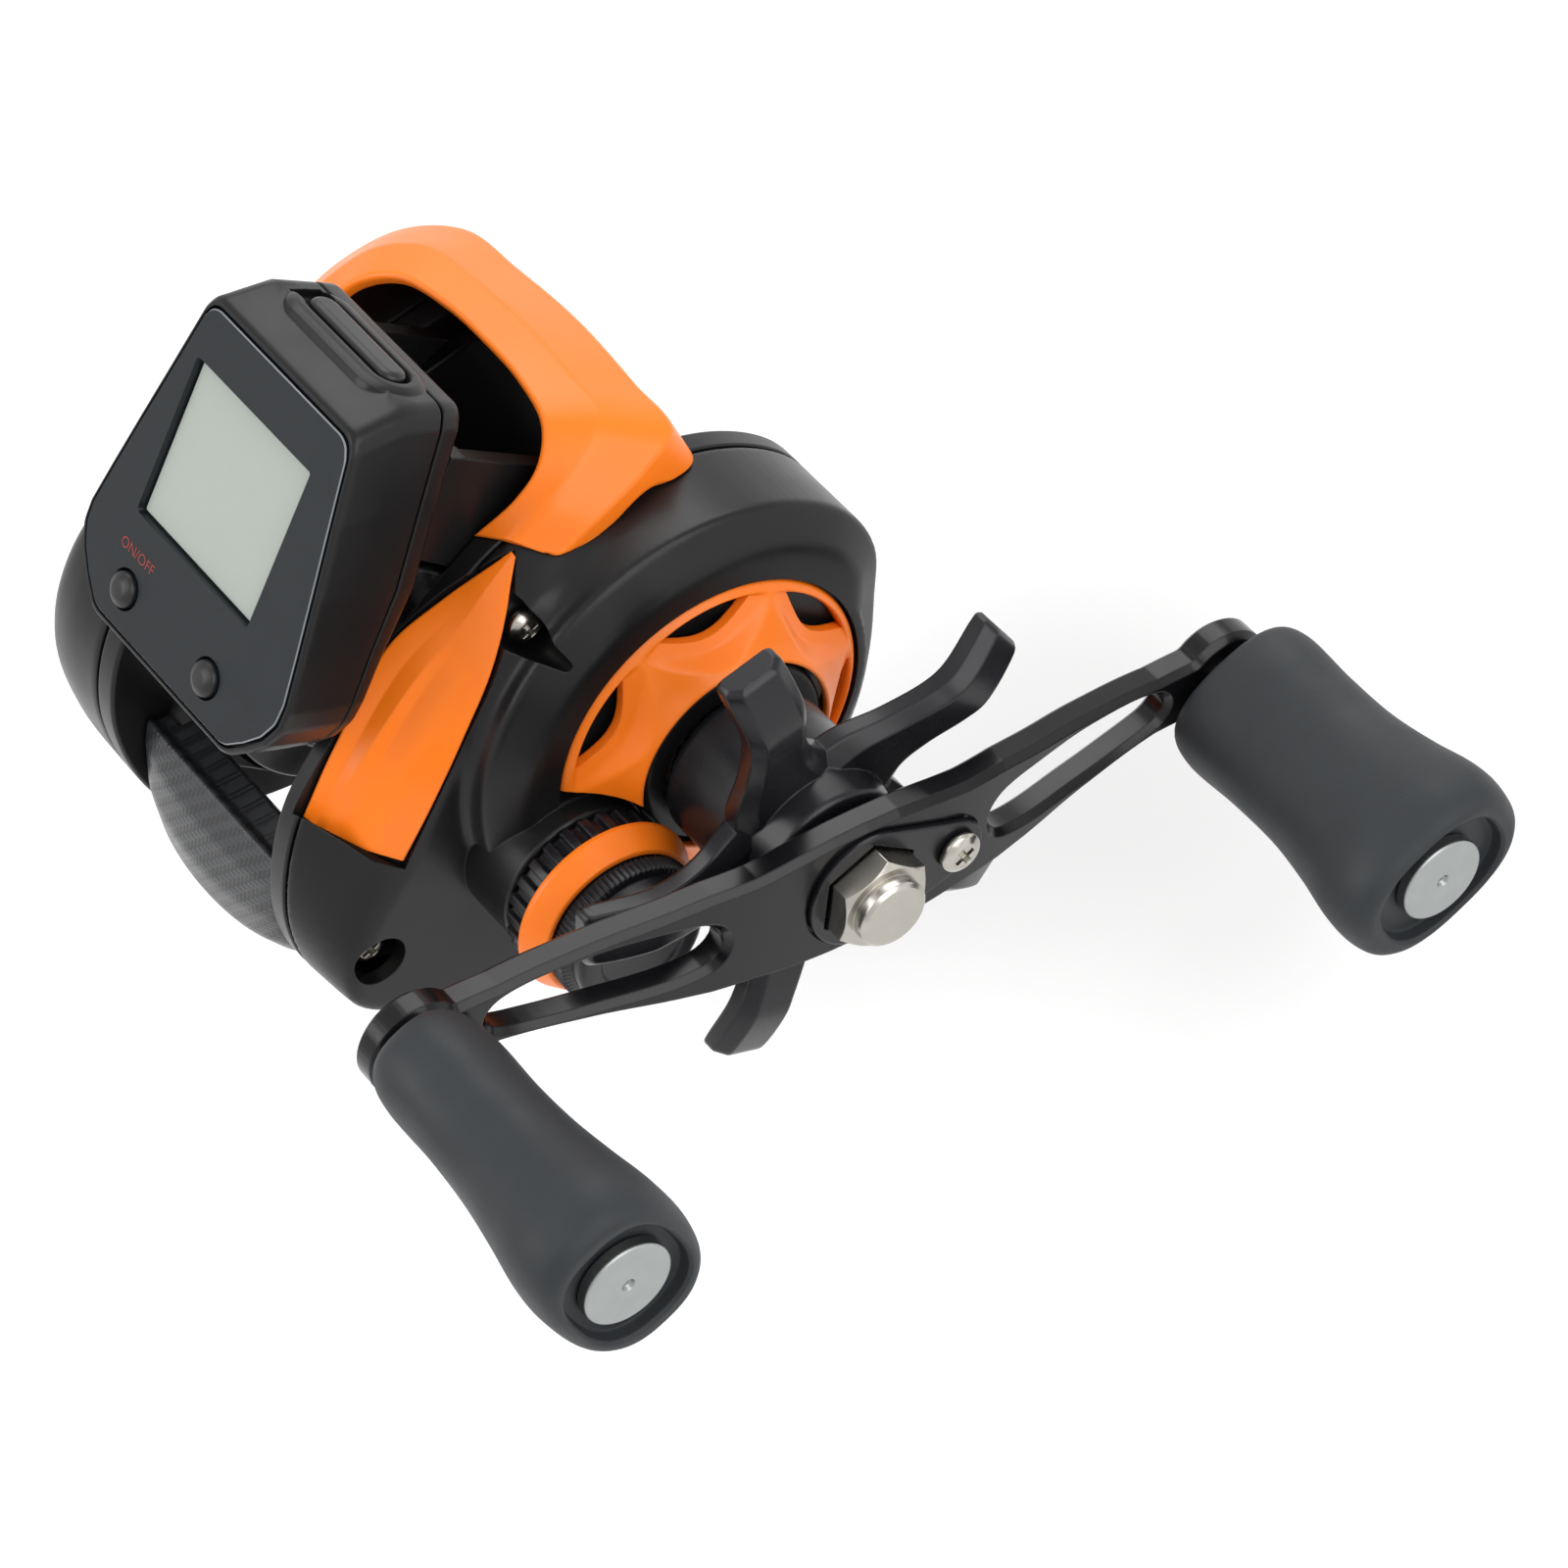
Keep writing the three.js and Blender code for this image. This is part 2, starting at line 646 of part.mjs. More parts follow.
function makeFrame() {
  const [barRiseShare, barNoseLowShare, barNoseHighShare] = [0.78, 1.9, 1.2];
  const barTop = frameRise * barRiseShare;
  const topBar = prismX([
    [frameFront - topBarDepth, barTop - topBarHeight],
    [frameFront - gap, barTop - topBarHeight * barNoseLowShare],
    [frameFront, barTop - topBarHeight * barNoseHighShare],
    [frameFront - topBarDepth, barTop]], -wallOuter, wallOuter);
  const floor = block(-wallOuter, wallOuter, floorRear, frameFront, floorBottom, floorTop);
  const frontBar = block(-wallOuter, wallOuter, frameFront - frontBarDepth, frameFront,
    floorBottom, floorBottom + frontBarHeight);
  const walls = [frameWall(-wallOuter, -wallInner), frameWall(wallInner, wallOuter)];
  const body = joined(...walls, topBar, floor, frontBar);
  addPart('main_frame', cut(body, ...footScrewHoles(floorBottom - overrun, floorTop - gap * 2)), paintBlack);
}

function footScrewHoles(from, to) {
  return [-1, 1].map((side) =>
    postZ(from, to, footScrewRadius + gap, 0, spoolSetback + (side * footScrewSpacing) / 2, tinyFacets));
}

// Foot

function makeFoot() {
  const bottom = -spoolHeight;
  const top = bottom + footThickness;
  const [rear, front] = [spoolSetback - footLength / 2, spoolSetback + footLength / 2];
  const [padRear, padFront] = [spoolSetback - footPadLength / 2, spoolSetback + footPadLength / 2];
  const side = prismX([
    [rear, bottom], [front, bottom], [front, bottom + footEndThickness],
    [padFront + footThickness, bottom + footEndThickness], [padFront, top - gap],
    [padRear, top - gap], [padRear - footThickness, bottom + footEndThickness],
    [rear, bottom + footEndThickness]], -footWidth, footWidth);
  const plan = [];
  const roundRadius = footWidth / 2;
  for (let i = 0; i <= tinyFacets; i += 1) {
    const angle = (i * Math.PI) / tinyFacets;
    plan.push([roundRadius * Math.cos(angle), front - roundRadius + roundRadius * Math.sin(angle)]);
  }
  for (let i = 0; i <= tinyFacets; i += 1) {
    const angle = Math.PI + (i * Math.PI) / tinyFacets;
    plan.push([roundRadius * Math.cos(angle), rear + roundRadius + roundRadius * Math.sin(angle)]);
  }
  const body = side.intersect(prismZ(plan, bottom - overrun, top + overrun));
  const heads = [-1, 1].map((end) => postZ(bottom - overrun, bottom + footScrewHeadHeight + gap * 2,
    footScrewHeadRadius + gap, 0, spoolSetback + (end * footScrewSpacing) / 2));
  addPart('reel_foot', cut(body, ...heads, ...footScrewHoles(bottom - overrun, top + overrun)), paintBlack);
}

function makeFootScrews() {
  const seat = -spoolHeight + gap;
  for (const [name, side] of [['foot_screw_rear', -1], ['foot_screw_front', 1]]) {
    const y = spoolSetback + (side * footScrewSpacing) / 2;
    const head = postZ(seat, seat + footScrewHeadHeight, footScrewHeadRadius, 0, y);
    const shank = postZ(seat + footScrewHeadHeight / 2, floorTop - gap * 3, footScrewRadius, 0, y, tinyFacets);
    addPart(name, cut(joined(head, shank), ...crossSlotZ(seat, y)), bareSteel);
  }
}

function crossSlotZ(seat, y) {
  const [lengthShare, widthShare, depthShare] = [0.6, 0.16, 0.6];
  const half = footScrewHeadRadius * lengthShare;
  const thin = footScrewHeadRadius * widthShare;
  const depth = footScrewHeadHeight * depthShare;
  return [
    block(-half, half, y - thin, y + thin, seat - overrun, seat + depth),
    block(-thin, thin, y - half, y + half, seat - overrun, seat + depth),
  ];
}

// Left side: a ring against the frame and the palm cover outside it

function makeLeftSide() {
  const ringBody = loft([plateRing(leftPlateShares, ringOuter), plateRing(leftPlateShares, ringInner)]);
  addPart('left_side_ring',
    cut(ringBody, rod(ringOuter - overrun, ringInner + overrun, spoolWindow, 0, 0, fineFacets)), paintBlack);

  const roundingShares = [[0, 0], [0.58, 0.08], [0.87, 0.38], [1, 1]];
  const rings = roundingShares.map(([share, amount]) =>
    inset(plateRing(leftPlateShares, coverInner - leftCoverDepth * share), leftCoverRounding * amount));
  const cavityDepth = leftCoverDepth - coverWall;
  const cavityShares = [[-0.2, 1], [0.6, 1.4], [1, 2.6]];
  const cavity = loft(cavityShares.map(([share, walls]) =>
    inset(plateRing(leftPlateShares, coverInner - cavityDepth * share), coverWall * walls)));
  const seatRadius = spoolBearingRadius + gap;
  const bossOuter = coverInner - cavityDepth - coverWall / 2;
  const boss = tube(bossOuter, coverInner - gap, seatRadius + bearingSeatWall, seatRadius);
  const shell = joined(cut(loft(rings), cavity), boss);
  addPart('left_side_cover',
    cut(shell, rod(coverOuter - overrun, coverOuter + overrun * 2, dialStemRadius + gap)), paintBlack);

  const bearingInner = coverInner - gap;
  addPart('left_spool_bearing', tube(bearingInner - spoolBearingWidth, bearingInner, spoolBearingRadius,
    spoolShaftRadius + gap), bareSteel);
  const magnetInner = seatRadius + bearingSeatWall + gap;
  addPart('brake_magnet_ring', magnetRing(coverInner - magnetDepth, coverInner + gap, magnetInner), magnetGrey);
  addPart('brake_dial', brakeDial(coverOuter - gap), blackMetal);
}

function magnetRing(from, to, inner) {
  const pocketShare = 0.32;
  const ring = tube(from, to, magnetOuter, inner);
  const middle = (magnetOuter + inner) / 2;
  const pockets = Array.from({ length: magnetPocketCount }, (_, i) => {
    const angle = (i * 2 * Math.PI) / magnetPocketCount;
    return rod(to - gap * 2, to + overrun, (magnetOuter - inner) * pocketShare,
      middle * Math.cos(angle), middle * Math.sin(angle), tinyFacets);
  });
  return cut(ring, ...pockets);
}

function brakeDial(face) {
  const [pointerStartShare, pointerEndShare] = [0.35, 0.8];
  const outer = face - dialHeight;
  const disc = prismX(toothedOutline(dialFluteCount, dialRadius, dialRadius - dialFluteDepth), outer, face);
  const stem = rod(face - gap, face + coverWall + overrun, dialStemRadius, 0, 0, smallFacets);
  const pointer = block(outer - overrun, outer + dialPointerDepth, -dialPointerHalf, dialPointerHalf,
    dialRadius * pointerStartShare, dialRadius * pointerEndShare);
  return cut(joined(disc, stem), pointer);
}

// Right side: the gear frame, the gear case and what is fixed to them

function makeGearFrame() {
  const rear = loft([plateRing(rightPlateShares, gearFrameInner), plateRing(rightPlateShares, gearFrameOuter)]);
  const round = gearCaseRound(gearFrameInner, gearFrameOuter);
  const [from, to] = [gearFrameInner - overrun, gearFrameOuter + overrun];
  addPart('gear_side_frame', cut(
    joined(rear, round),
    panelForm(gap),
    rod(from, to, spoolHubRadius + 2 * gap, 0, 0, smallFacets),
    rod(from, to, shaftBearingRadius + gap, shaftOffset, 0),
    rod(from, to, wormRadius + gap, wormForward, -wormDrop, smallFacets)), paintBlack);
  addPart('drive_shaft_bearing', tube(gearFrameInner, gearFrameOuter, shaftBearingRadius,
    shaftJournalRadius + gap, shaftOffset, 0), bareSteel);
}

// The gear case's outer form, grown by a clearance where a neighbour is cut by it.
function gearCaseForm(grown = 0) {
  const middle = (caseInner + caseFace) / 2;
  const half = plateRing(rightPlateShares, middle);
  const face = plateRing(rightFaceShares, caseFace);
  const shoulderShare = 0.38;
  const between = half.map((p, i) =>
    p.clone().lerp(new THREE.Vector3(middle, face[i].y, face[i].z), shoulderShare));
  const rings = [plateRing(rightPlateShares, caseInner - grown), between, face];
  const rear = loft(rings.map((ring, i) =>
    inset(ring, -grown).map((p) => new THREE.Vector3(p.x + (i === rings.length - 1 ? grown : 0), p.y, p.z))));
  const chamfer = gearCaseRadius - gearCaseFaceRadius;
  const round = loft([
    gearCaseRing(caseInner - grown, 0, grown), gearCaseRing(gearCaseShoulder + grown, 0, grown),
    gearCaseRing(gearCaseFace + grown, chamfer, grown)]);
  return joined(rear, round);
}

function gearCaseCavity() {
  const depth = rightCaseDepth - coverWall;
  const faceWallShare = 1.3;
  const rear = loft([
    inset(plateRing(rightPlateShares, caseInner - overrun), coverWall),
    inset(plateRing(rightPlateShares, caseInner), coverWall),
    inset(plateRing(rightFaceShares, caseInner + depth), coverWall * faceWallShare)]);
  const round = rod(caseInner - overrun, gearCaseFloor - gearCaseEndWall, gearCavityRadius,
    shaftOffset, 0, fineFacets);
  const boss = rod(caseInner - overrun * 2, caseFace, screwPocketRadius + coverWall,
    screwUpper.y, screwUpper.z, smallFacets);
  return cut(joined(rear, round), boss);
}

function makeGearCase() {
  const castBoss = joined(
    rod(caseFace - coverWall, castBossEnd, castBossRadius),
    rod(castBossEnd - overrun, castNeckEnd, castNeckRadius));
  const hubTube = rod(gearCaseFloor - gap, hubTubeReach, hubTubeRadius, shaftOffset, 0);
  const body = cut(gearCaseForm(), gearCaseCavity());
  const whole = joined(body, castBoss, hubTube);
  const dish = rod(gearCaseFloor, gearCaseFace + overrun, domeRadius + gap, shaftOffset, 0, fineFacets);
  const dishCore = rod(gearCaseFloor - overrun, hubTubeReach + overrun, hubTubeRadius, shaftOffset, 0);
  const castCore = rod(gearCaseFloor - overrun, castNeckEnd + overrun, castBossRadius);
  const addRecess = cut(dish, dishCore, castCore);
  const solid = cut(
    whole,
    addRecess,
    rod(caseFace - overrun * 3, castNeckEnd + overrun, castBore),
    rod(gearCaseFloor - gearCaseEndWall - overrun, hubTubeReach + overrun, oneWayRadius + gap, shaftOffset, 0),
    tube(castBossEnd, hubTubeReach + overrun, castSplineRadius + gap, castNeckRadius + gap),
    panelForm(gap),
    screwGroove(),
    rod(caseInner - overrun, screwUpper.seat, caseScrewShank + gap, screwUpper.y, screwUpper.z, tinyFacets),
    rod(screwRear.seat - gap, caseFace + overrun, screwPocketRadius + gap, screwRear.y, screwRear.z,
      smallFacets),
    rod(caseInner - overrun, screwRear.seat, caseScrewShank + gap, screwRear.y, screwRear.z, tinyFacets));
  addPart('right_side_plate', solid, paintBlack);
  for (const [name, screw] of [['upper_case_screw', screwUpper], ['rear_case_screw', screwRear]]) {
    addPart(name, panScrew(screw), bareSteel);
  }
}

// The groove over the upper screw runs outwards along x and comes out of the case's round side.
function screwGroove() {
  const away = new THREE.Vector2(screwUpper.y - shaftOffset, screwUpper.z).normalize();
  const rings = [[0, 0], [caseScrewHead + gap, 0], [grooveLength, grooveFlare]].map(([along, out]) => {
    const [middleY, middleZ] = [screwUpper.y + away.x * out, screwUpper.z + away.y * out];
    const x = screwUpper.seat - gap + along;
    return circle(screwPocketRadius, middleY, middleZ, smallFacets).map(([y, z]) => new THREE.Vector3(x, y, z));
  });
  return loft(rings);
}

function panScrew({ y, z, seat }) {
  const headShares = [[0, 0], [0, 1], [0.5, 1], [1, 0.6], [1, 0]];
  const head = turned(headShares.map(([rise, out]) => [seat + caseScrewHead * rise, caseScrewRadius * out]),
    y, z, smallFacets);
  const shank = rod(caseInner + gap, seat + gap, caseScrewShank, y, z, tinyFacets);
  return cut(joined(head, shank), ...crossSlotX(seat, caseScrewHead, caseScrewRadius, y, z));
}

// Two crossed slots in the top of a head that points along x.
function crossSlotX(seat, headHeight, headRadius, y, z) {
  const [lengthShare, widthShare, floorShare] = [0.55, 0.17, 0.4];
  const [half, thin] = [headRadius * lengthShare, headRadius * widthShare];
  const [floor, top] = [seat + headHeight * floorShare, seat + headHeight + overrun];
  return [
    block(floor, top, y - half, y + half, z - thin, z + thin),
    block(floor, top, y - thin, y + thin, z - half, z + half),
  ];
}

function panelForm(grown = 0) {
  const inwardShares = [[-0.1, -1], [-0.6, -0.8], [-0.92, -0.4]];
  const sidewayShares = [[-1, 0], [0, 0], [0.75, -0.65]];
  const above = grown > 0 ? overrun * 2 : 0;
  const stations = panelShares.map((station) => station.map(([deep, back, up]) =>
    [caseInner + rightCaseDepth * deep, casingRear * back, casingRise * up]));
  const last = stations.length - 1;
  const rings = stations.map((station, i) => {
    const ends = i === 0 ? stations[1] : stations[last - 1];
    const place = (corner, k, depth) => {
      const point = new THREE.Vector3(...corner);
      if (i === 0 || i === last) {
        const onwards = point.clone().sub(new THREE.Vector3(...ends[k])).normalize();
        point.addScaledVector(onwards, grown * 2);
      }
      point.x += inwardShares[k][0] * depth + sidewayShares[k][0] * grown;
      point.z += inwardShares[k][1] * depth + sidewayShares[k][1] * grown;
      return point;
    };
    const top = station.map((corner, k) => place(corner, k, -above));
    const under = station.map((corner, k) => place(corner, k, panelThickness + grown)).reverse();
    return [...top, ...under];
  });
  return loft(rings);
}

function makePanel() {
  addPart('side_accent_panel', panelForm(), paintOrange);
}

// Dome cover over the gear case

function domeProfile() {
  const skinShares = [[0, 1], [0.14, 1], [0.3, 0.94], [0.52, 0.82], [0.76, 0.7], [1, domeHole / domeRadius]];
  const outer = skinShares.map(([rise, share]) => [domeStart + domeRise * rise, domeRadius * share]);
  const inner = skinShares.slice(1).reverse().map(([rise, share]) =>
    [domeStart + domeRise * rise - domeSkin, Math.max(domeRadius * share, domeHole)]);
  inner[inner.length - 1] = [domeStart, domeRadius - domeSkin];
  return [...outer, ...inner];
}

function domeSlot(angle) {
  const centre = radians(angle);
  const outline = [];
  const steps = tinyFacets;
  for (let i = 0; i <= steps; i += 1) {
    const turn = centre + radians(-domeSlotHalfAngle + (2 * domeSlotHalfAngle * i) / steps);
    outline.push([shaftOffset + domeSlotOuter * Math.cos(turn), domeSlotOuter * Math.sin(turn)]);
  }
  for (let i = steps - 1; i > 0; i -= 1) {
    const share = (2 * i) / steps - 1;
    const turn = radians(domeSlotHalfAngle * share);
    const radius = domeSlotInner + (domeSlotOuter - domeSlotInner) * share * share;
    outline.push([shaftOffset + radius * Math.cos(centre + turn), radius * Math.sin(centre + turn)]);
  }
  return prismX(outline, domeStart - overrun, domeStart + domeRise + overrun);
}

function makeDome() {
  const shell = turned(domeProfile(), shaftOffset, 0, fineFacets);
  const slotAngle = (i) => domeSlotFirstAngle + domeSlotStepAngle * i;
  const slots = Array.from({ length: domeSlotCount }, (_, i) => domeSlot(slotAngle(i)));
  const bite = rod(domeStart - overrun, domeStart + domeRise + overrun, castKnobBite, 0, 0, midFacets);
  addPart('dome_cover', cut(shell, ...slots, bite), paintOrange);
}

// Drive train

function makeDriveTrain() {
  const shaft = joined(
    rod(gearFrameInner, levelGearStart + gap, shaftJournalRadius, shaftOffset, 0, smallFacets),
    rod(levelGearStart, armOuter, shaftRadius, shaftOffset, 0),
    rod(armOuter - gap, threadEnd, shaftThreadRadius, shaftOffset, 0));
  addPart('drive_shaft', shaft, bareSteel);

  const mesh = Math.hypot(wormForward - shaftOffset, wormDrop);
  const levelPitch = (mesh * levelDriveTeeth) / (levelDriveTeeth + wormGearTeeth);
  const wormPitch = mesh - levelPitch;
  addPart('level_drive_gear', geared(levelDriveTeeth, levelPitch - gap / 2, levelGearStart,
    levelGearStart + levelGearWidth, shaftOffset, 0, shaftRadius + gap), brass);
  addPart('worm_gear', geared(wormGearTeeth, wormPitch - gap / 2, levelGearStart,
    levelGearStart + levelGearWidth, wormForward, -wormDrop, wormRadius + gap), ceramicWhite);

  const drivePitch = (gearModule * driveTeeth) / 2;
  const pinionPitch = (gearModule * pinionTeeth) / 2;
  const gear = geared(driveTeeth, drivePitch - gap / 2, driveGearStart, driveGearStart + driveGearWidth,
    shaftOffset, 0, shaftRadius + gap);
  addPart('drive_gear', gear, brass);
  const pinionEnd = driveGearStart + driveGearWidth + gap * 4;
  const pinionOutline = toothedOutline(pinionTeeth, pinionPitch - gap / 2, pinionPitch - gap);
  const pinion = joined(
    prismX(pinionOutline, driveGearStart - gap, pinionEnd),
    rod(gearFrameInner, driveGearStart - gap * 2, spoolHubRadius, 0, 0, smallFacets),
    rod(driveGearStart - gap * 3, driveGearStart, pinionPitch - gap, 0, 0, smallFacets));
  const [boreStart, boreEnd] = [gearFrameInner - overrun, pinionEnd + overrun];
  const pinionBore = rod(boreStart, boreEnd, spoolShaftRadius + gap, 0, 0, tinyFacets);
  addPart('pinion_gear', cut(pinion, pinionBore), brass);

  addPart('drag_washer', tube(dragWasherStart, dragWasherStart + dragWasherThickness, dragWasherRadius,
    shaftRadius + gap, shaftOffset, 0), carbonFibre);
  addPart('pressure_plate', tube(pressurePlateStart, pressurePlateStart + pressurePlateThickness,
    pressurePlateRadius, shaftRadius + gap, shaftOffset, 0), bareSteel);
  addPart('one_way_bearing', tube(gearCaseFloor - gearCaseEndWall + gap, hubTubeReach - gap, oneWayRadius,
    oneWayBore, shaftOffset, 0), bareSteel);
}

function geared(teeth, tip, from, to, y, z, bore) {
  const toothDepthShare = 1.6;
  const outline = toothedOutline(teeth, tip, tip - gearModule * toothDepthShare, y, z);
  return cut(prismX(outline, from, to), rod(from - overrun, to + overrun, bore, y, z, smallFacets));
}

// Spool

function makeSpool() {
  const [half, flange] = [spoolHalfWidth, spoolFlange];
  const [webShare, drumShare, undercutShare] = [2, 2.4, 2.5];
  const hubEnd = half + spoolHubReach;
  const undercut = spoolDrumEnd - flange * undercutShare;
  const profile = [
    [-hubEnd, spoolShaftRadius + gap], [-hubEnd, spoolHubRadius], [-half + flange * webShare, spoolHubRadius],
    [-half + flange, undercut], [-half, spoolRadius], [-half + flange, spoolRadius],
    [-half + flange * drumShare, spoolDrumEnd], [0, spoolDrumRadius], [half - flange * drumShare, spoolDrumEnd],
    [half - flange, spoolRadius], [half, spoolRadius], [half - flange, undercut],
    [half - flange * webShare, spoolHubRadius], [hubEnd, spoolHubRadius], [hubEnd, spoolShaftRadius + gap]];
  addPart('spool', turned(profile, 0, 0, fineFacets), blackMetal);
  const shaftLeft = -(wallOuter + sideRingThickness + spoolBearingWidth + 5 * gap);
  addPart('spool_shaft', rod(shaftLeft, castNeckEnd + gap, spoolShaftRadius, 0, 0, smallFacets), bareSteel);
  addPart('right_spool_bearing', tube(caseFace, caseFace + spoolBearingWidth, spoolBearingRadius,
    spoolShaftRadius + gap), bareSteel);
  const magnetForward = spoolRadius - flange * webShare;
  addPart('counter_magnet', rod(-half - flange, -half, flange, magnetForward, 0, tinyFacets), magnetGrey);
}

// Level wind

function makeLevelWind() {
  addPart('worm_shaft', rod(-wallOuter, levelGearStart + levelGearWidth, wormRadius, wormForward, -wormDrop,
    smallFacets), bareSteel);
  addPart('guide_rod', rod(-wallOuter, wallOuter, guideRodRadius, guideRodForward, -guideRodDrop, tinyFacets),
    bareSteel);

  const half = guideHalfWidth;
  const footShare = 1.6;
  const [insertShares, insertHoleShares] = [[0.82, 0.91], [0.5, 0.78]];
  const collar = rod(-half, half, wormRadius + gap + guideWall, wormForward, -wormDrop, smallFacets);
  const eyeFront = frameFront - gap * 3;
  const eyeRear = eyeFront - guideThickness;
  const eyeTop = guideEyeRise + guideEyeHalfHeight + guideWall;
  const low = -guideRodDrop - guideWall * footShare;
  const tower = block(-half, half, eyeRear, eyeFront, low, eyeTop);
  const web = block(-half, half, wormForward, eyeRear + gap, low, -wormDrop + guideWall);
  const eye = [];
  for (let i = 0; i < smallFacets; i += 1) {
    const angle = (i * 2 * Math.PI) / smallFacets;
    eye.push([guideEyeHalfWidth * Math.cos(angle), guideEyeRise + guideEyeHalfHeight * Math.sin(angle)]);
  }
  const hole = prismAlongY(eye, eyeRear - overrun, eyeFront + overrun);
  const body = cut(joined(collar, tower, web), hole,
    rod(-half - overrun, half + overrun, wormRadius + gap, wormForward, -wormDrop, smallFacets),
    rod(-half - overrun, half + overrun, guideRodRadius + gap, guideRodForward, -guideRodDrop, tinyFacets));
  addPart('line_guide', body, blackMetal);
  const [insertOuter, insertHole] = [insertShares, insertHoleShares].map(([wide, high]) =>
    eye.map(([x, z]) => [x * wide, guideEyeRise + (z - guideEyeRise) * high]));
  addPart('line_guide_insert', cut(prismAlongY(insertOuter, eyeRear, eyeFront),
    prismAlongY(insertHole, eyeRear - overrun, eyeFront + overrun)), ceramicWhite);
}

// An outline in x and z, carried from one y to another.
function prismAlongY(outline, from, to) {
  const shape = new THREE.Shape(outline.map(([x, z]) => new THREE.Vector2(x, z)));
  const geometry = new THREE.ExtrudeGeometry(shape, { depth: to - from, bevelEnabled: false });
  geometry.rotateX(Math.PI / 2);
  geometry.translate(0, to, 0);
  return solidOf(geometry);
}

// Star drag: a barrel on the handle shaft with bent arms

function starArm(angle) {
  const [rootShare, bendLiftShare, tipShare, tipThicknessShare, chamferShare] = [0.6, 0.12, 0.7, 0.8, 0.6];
  const root = starBarrelRadius * rootShare;
  const bend = starTipRadius - starPadLength;
  const centres = [
    [root, 0, starRootLeanAngle], [starBarrelRadius + gap, 0, starRootLeanAngle],
    [bend, starArmThickness * bendLiftShare, gap],
    [starTipRadius - gap * 3, starPadRise, 0], [starTipRadius, starPadRise, 0],
  ];
  const halfWidths = [
    starRootHalfWidth, starRootHalfWidth, starTipHalfWidth, starTipHalfWidth, starTipHalfWidth * tipShare];
  const thickShares = [1, 1, 1, 1, tipThicknessShare];
  const rings = centres.map(([radius, lift, lean], i) => {
    const half = halfWidths[i];
    const thick = starArmThickness * thickShares[i];
    const start = starArmInner + lift;
    const corners = [[-half, 0], [half, 0], [half, chamferShare], [half * chamferShare, 1],
      [-half * chamferShare, 1], [-half, chamferShare]];
    const direction = radians(angle + lean);
    return corners.map(([across, share]) => new THREE.Vector3(
      start + thick * share,
      shaftOffset + radius * Math.cos(direction) - across * Math.sin(direction),
      radius * Math.sin(direction) + across * Math.cos(direction)));
  });
  return loft(rings);
}

function makeStar() {
  const [startShare, endShare] = [0.94, 0.8];
  const barrel = turned([
    [starStart, 0], [starStart, starBarrelRadius * startShare], [starStart + gap * 3, starBarrelRadius],
    [starArmInner + starArmThickness, starBarrelRadius],
    [starArmInner + starArmThickness + gap * 3, starBarrelRadius * endShare],
    [starArmInner + starArmThickness + gap * 3, 0]], shaftOffset, 0);
  const armStep = 360 / starArmCount;
  const arms = Array.from({ length: starArmCount }, (_, i) => starArm(starFirstAngle + i * armStep));
  const bore = rod(starStart - overrun, armOuter, shaftRadius + gap, shaftOffset, 0);
  addPart('star_drag', cut(joined(barrel, ...arms), bore), blackMetal);
}

// Cast control knob

function makeCastKnob() {
  const capRimShare = 0.9;
  const spline = prismX(toothedOutline(castSplineCount, castSplineRadius, castSplineRadius - castSplineDepth),
    castKnobStart, castSplineEnd);
  const body = turned([
    [castSplineEnd - gap, 0], [castSplineEnd - gap, castCoreRadius], [castRingEnd + gap, castCoreRadius],
    [castRingEnd + gap, castKnurlRadius], [castKnurlEnd, castKnurlRadius], [castKnurlEnd + gap, castCapRadius],
    [castKnobEnd - gap * 2, castCapRadius], [castKnobEnd, castCapRadius * capRimShare],
    [castKnobEnd, 0]], 0, 0);
  const bore = rod(castKnobStart - overrun, castNeckEnd + gap * 3, castNeckRadius + gap, 0, 0);
  addPart('cast_control_knob', cut(joined(spline, body), bore), blackMetal);
  addPart('cast_control_ring', turned([
    [castRingStart, castCoreRadius + gap], [castRingStart, castRingRearRadius],
    [castRingStart + gap * 2, castRingRearRadius], [castRingEnd, castRingFrontRadius],
    [castRingEnd, castCoreRadius + gap]], 0, 0), paintOrange);
}

// Handle

function handlePoint(along, across) {
  const angle = radians(handleAngle);
  return [shaftOffset + along * Math.cos(angle) - across * Math.sin(angle),
    along * Math.sin(angle) + across * Math.cos(angle)];
}

function armPlan() {
  const slotStartShare = 0.95;
  const side = [];
  const hubTurn = Math.asin(armInnerHalfWidth / armHubRadius);
  for (let i = 0; i <= tinyFacets; i += 1) {
    const angle = Math.PI / 2 - (i * (Math.PI / 2 - hubTurn)) / tinyFacets;
    side.push([armHubRadius * Math.cos(angle), armHubRadius * Math.sin(angle)]);
  }
  side.push([armSlotStart, armInnerHalfWidth * slotStartShare]);
  side.push([(armSlotStart + armSlotEnd) / 2, (armInnerHalfWidth + armOuterHalfWidth) / 2]);
  side.push([armSlotEnd, armOuterHalfWidth]);
  const joinTurn = Math.PI - Math.asin(armOuterHalfWidth / armBossRadius);
  for (let i = 0; i <= tinyFacets; i += 1) {
    const angle = joinTurn * (1 - i / tinyFacets);
    side.push([handleHalfLength + armBossRadius * Math.cos(angle), armBossRadius * Math.sin(angle)]);
  }
  const lower = side.slice(0, -1).reverse().map(([a, b]) => [a, -b]);
  const right = [...side, ...lower];
  const left = right.slice(1, -1).map(([a, b]) => [-a, -b]);
  return [...right, ...left];
}

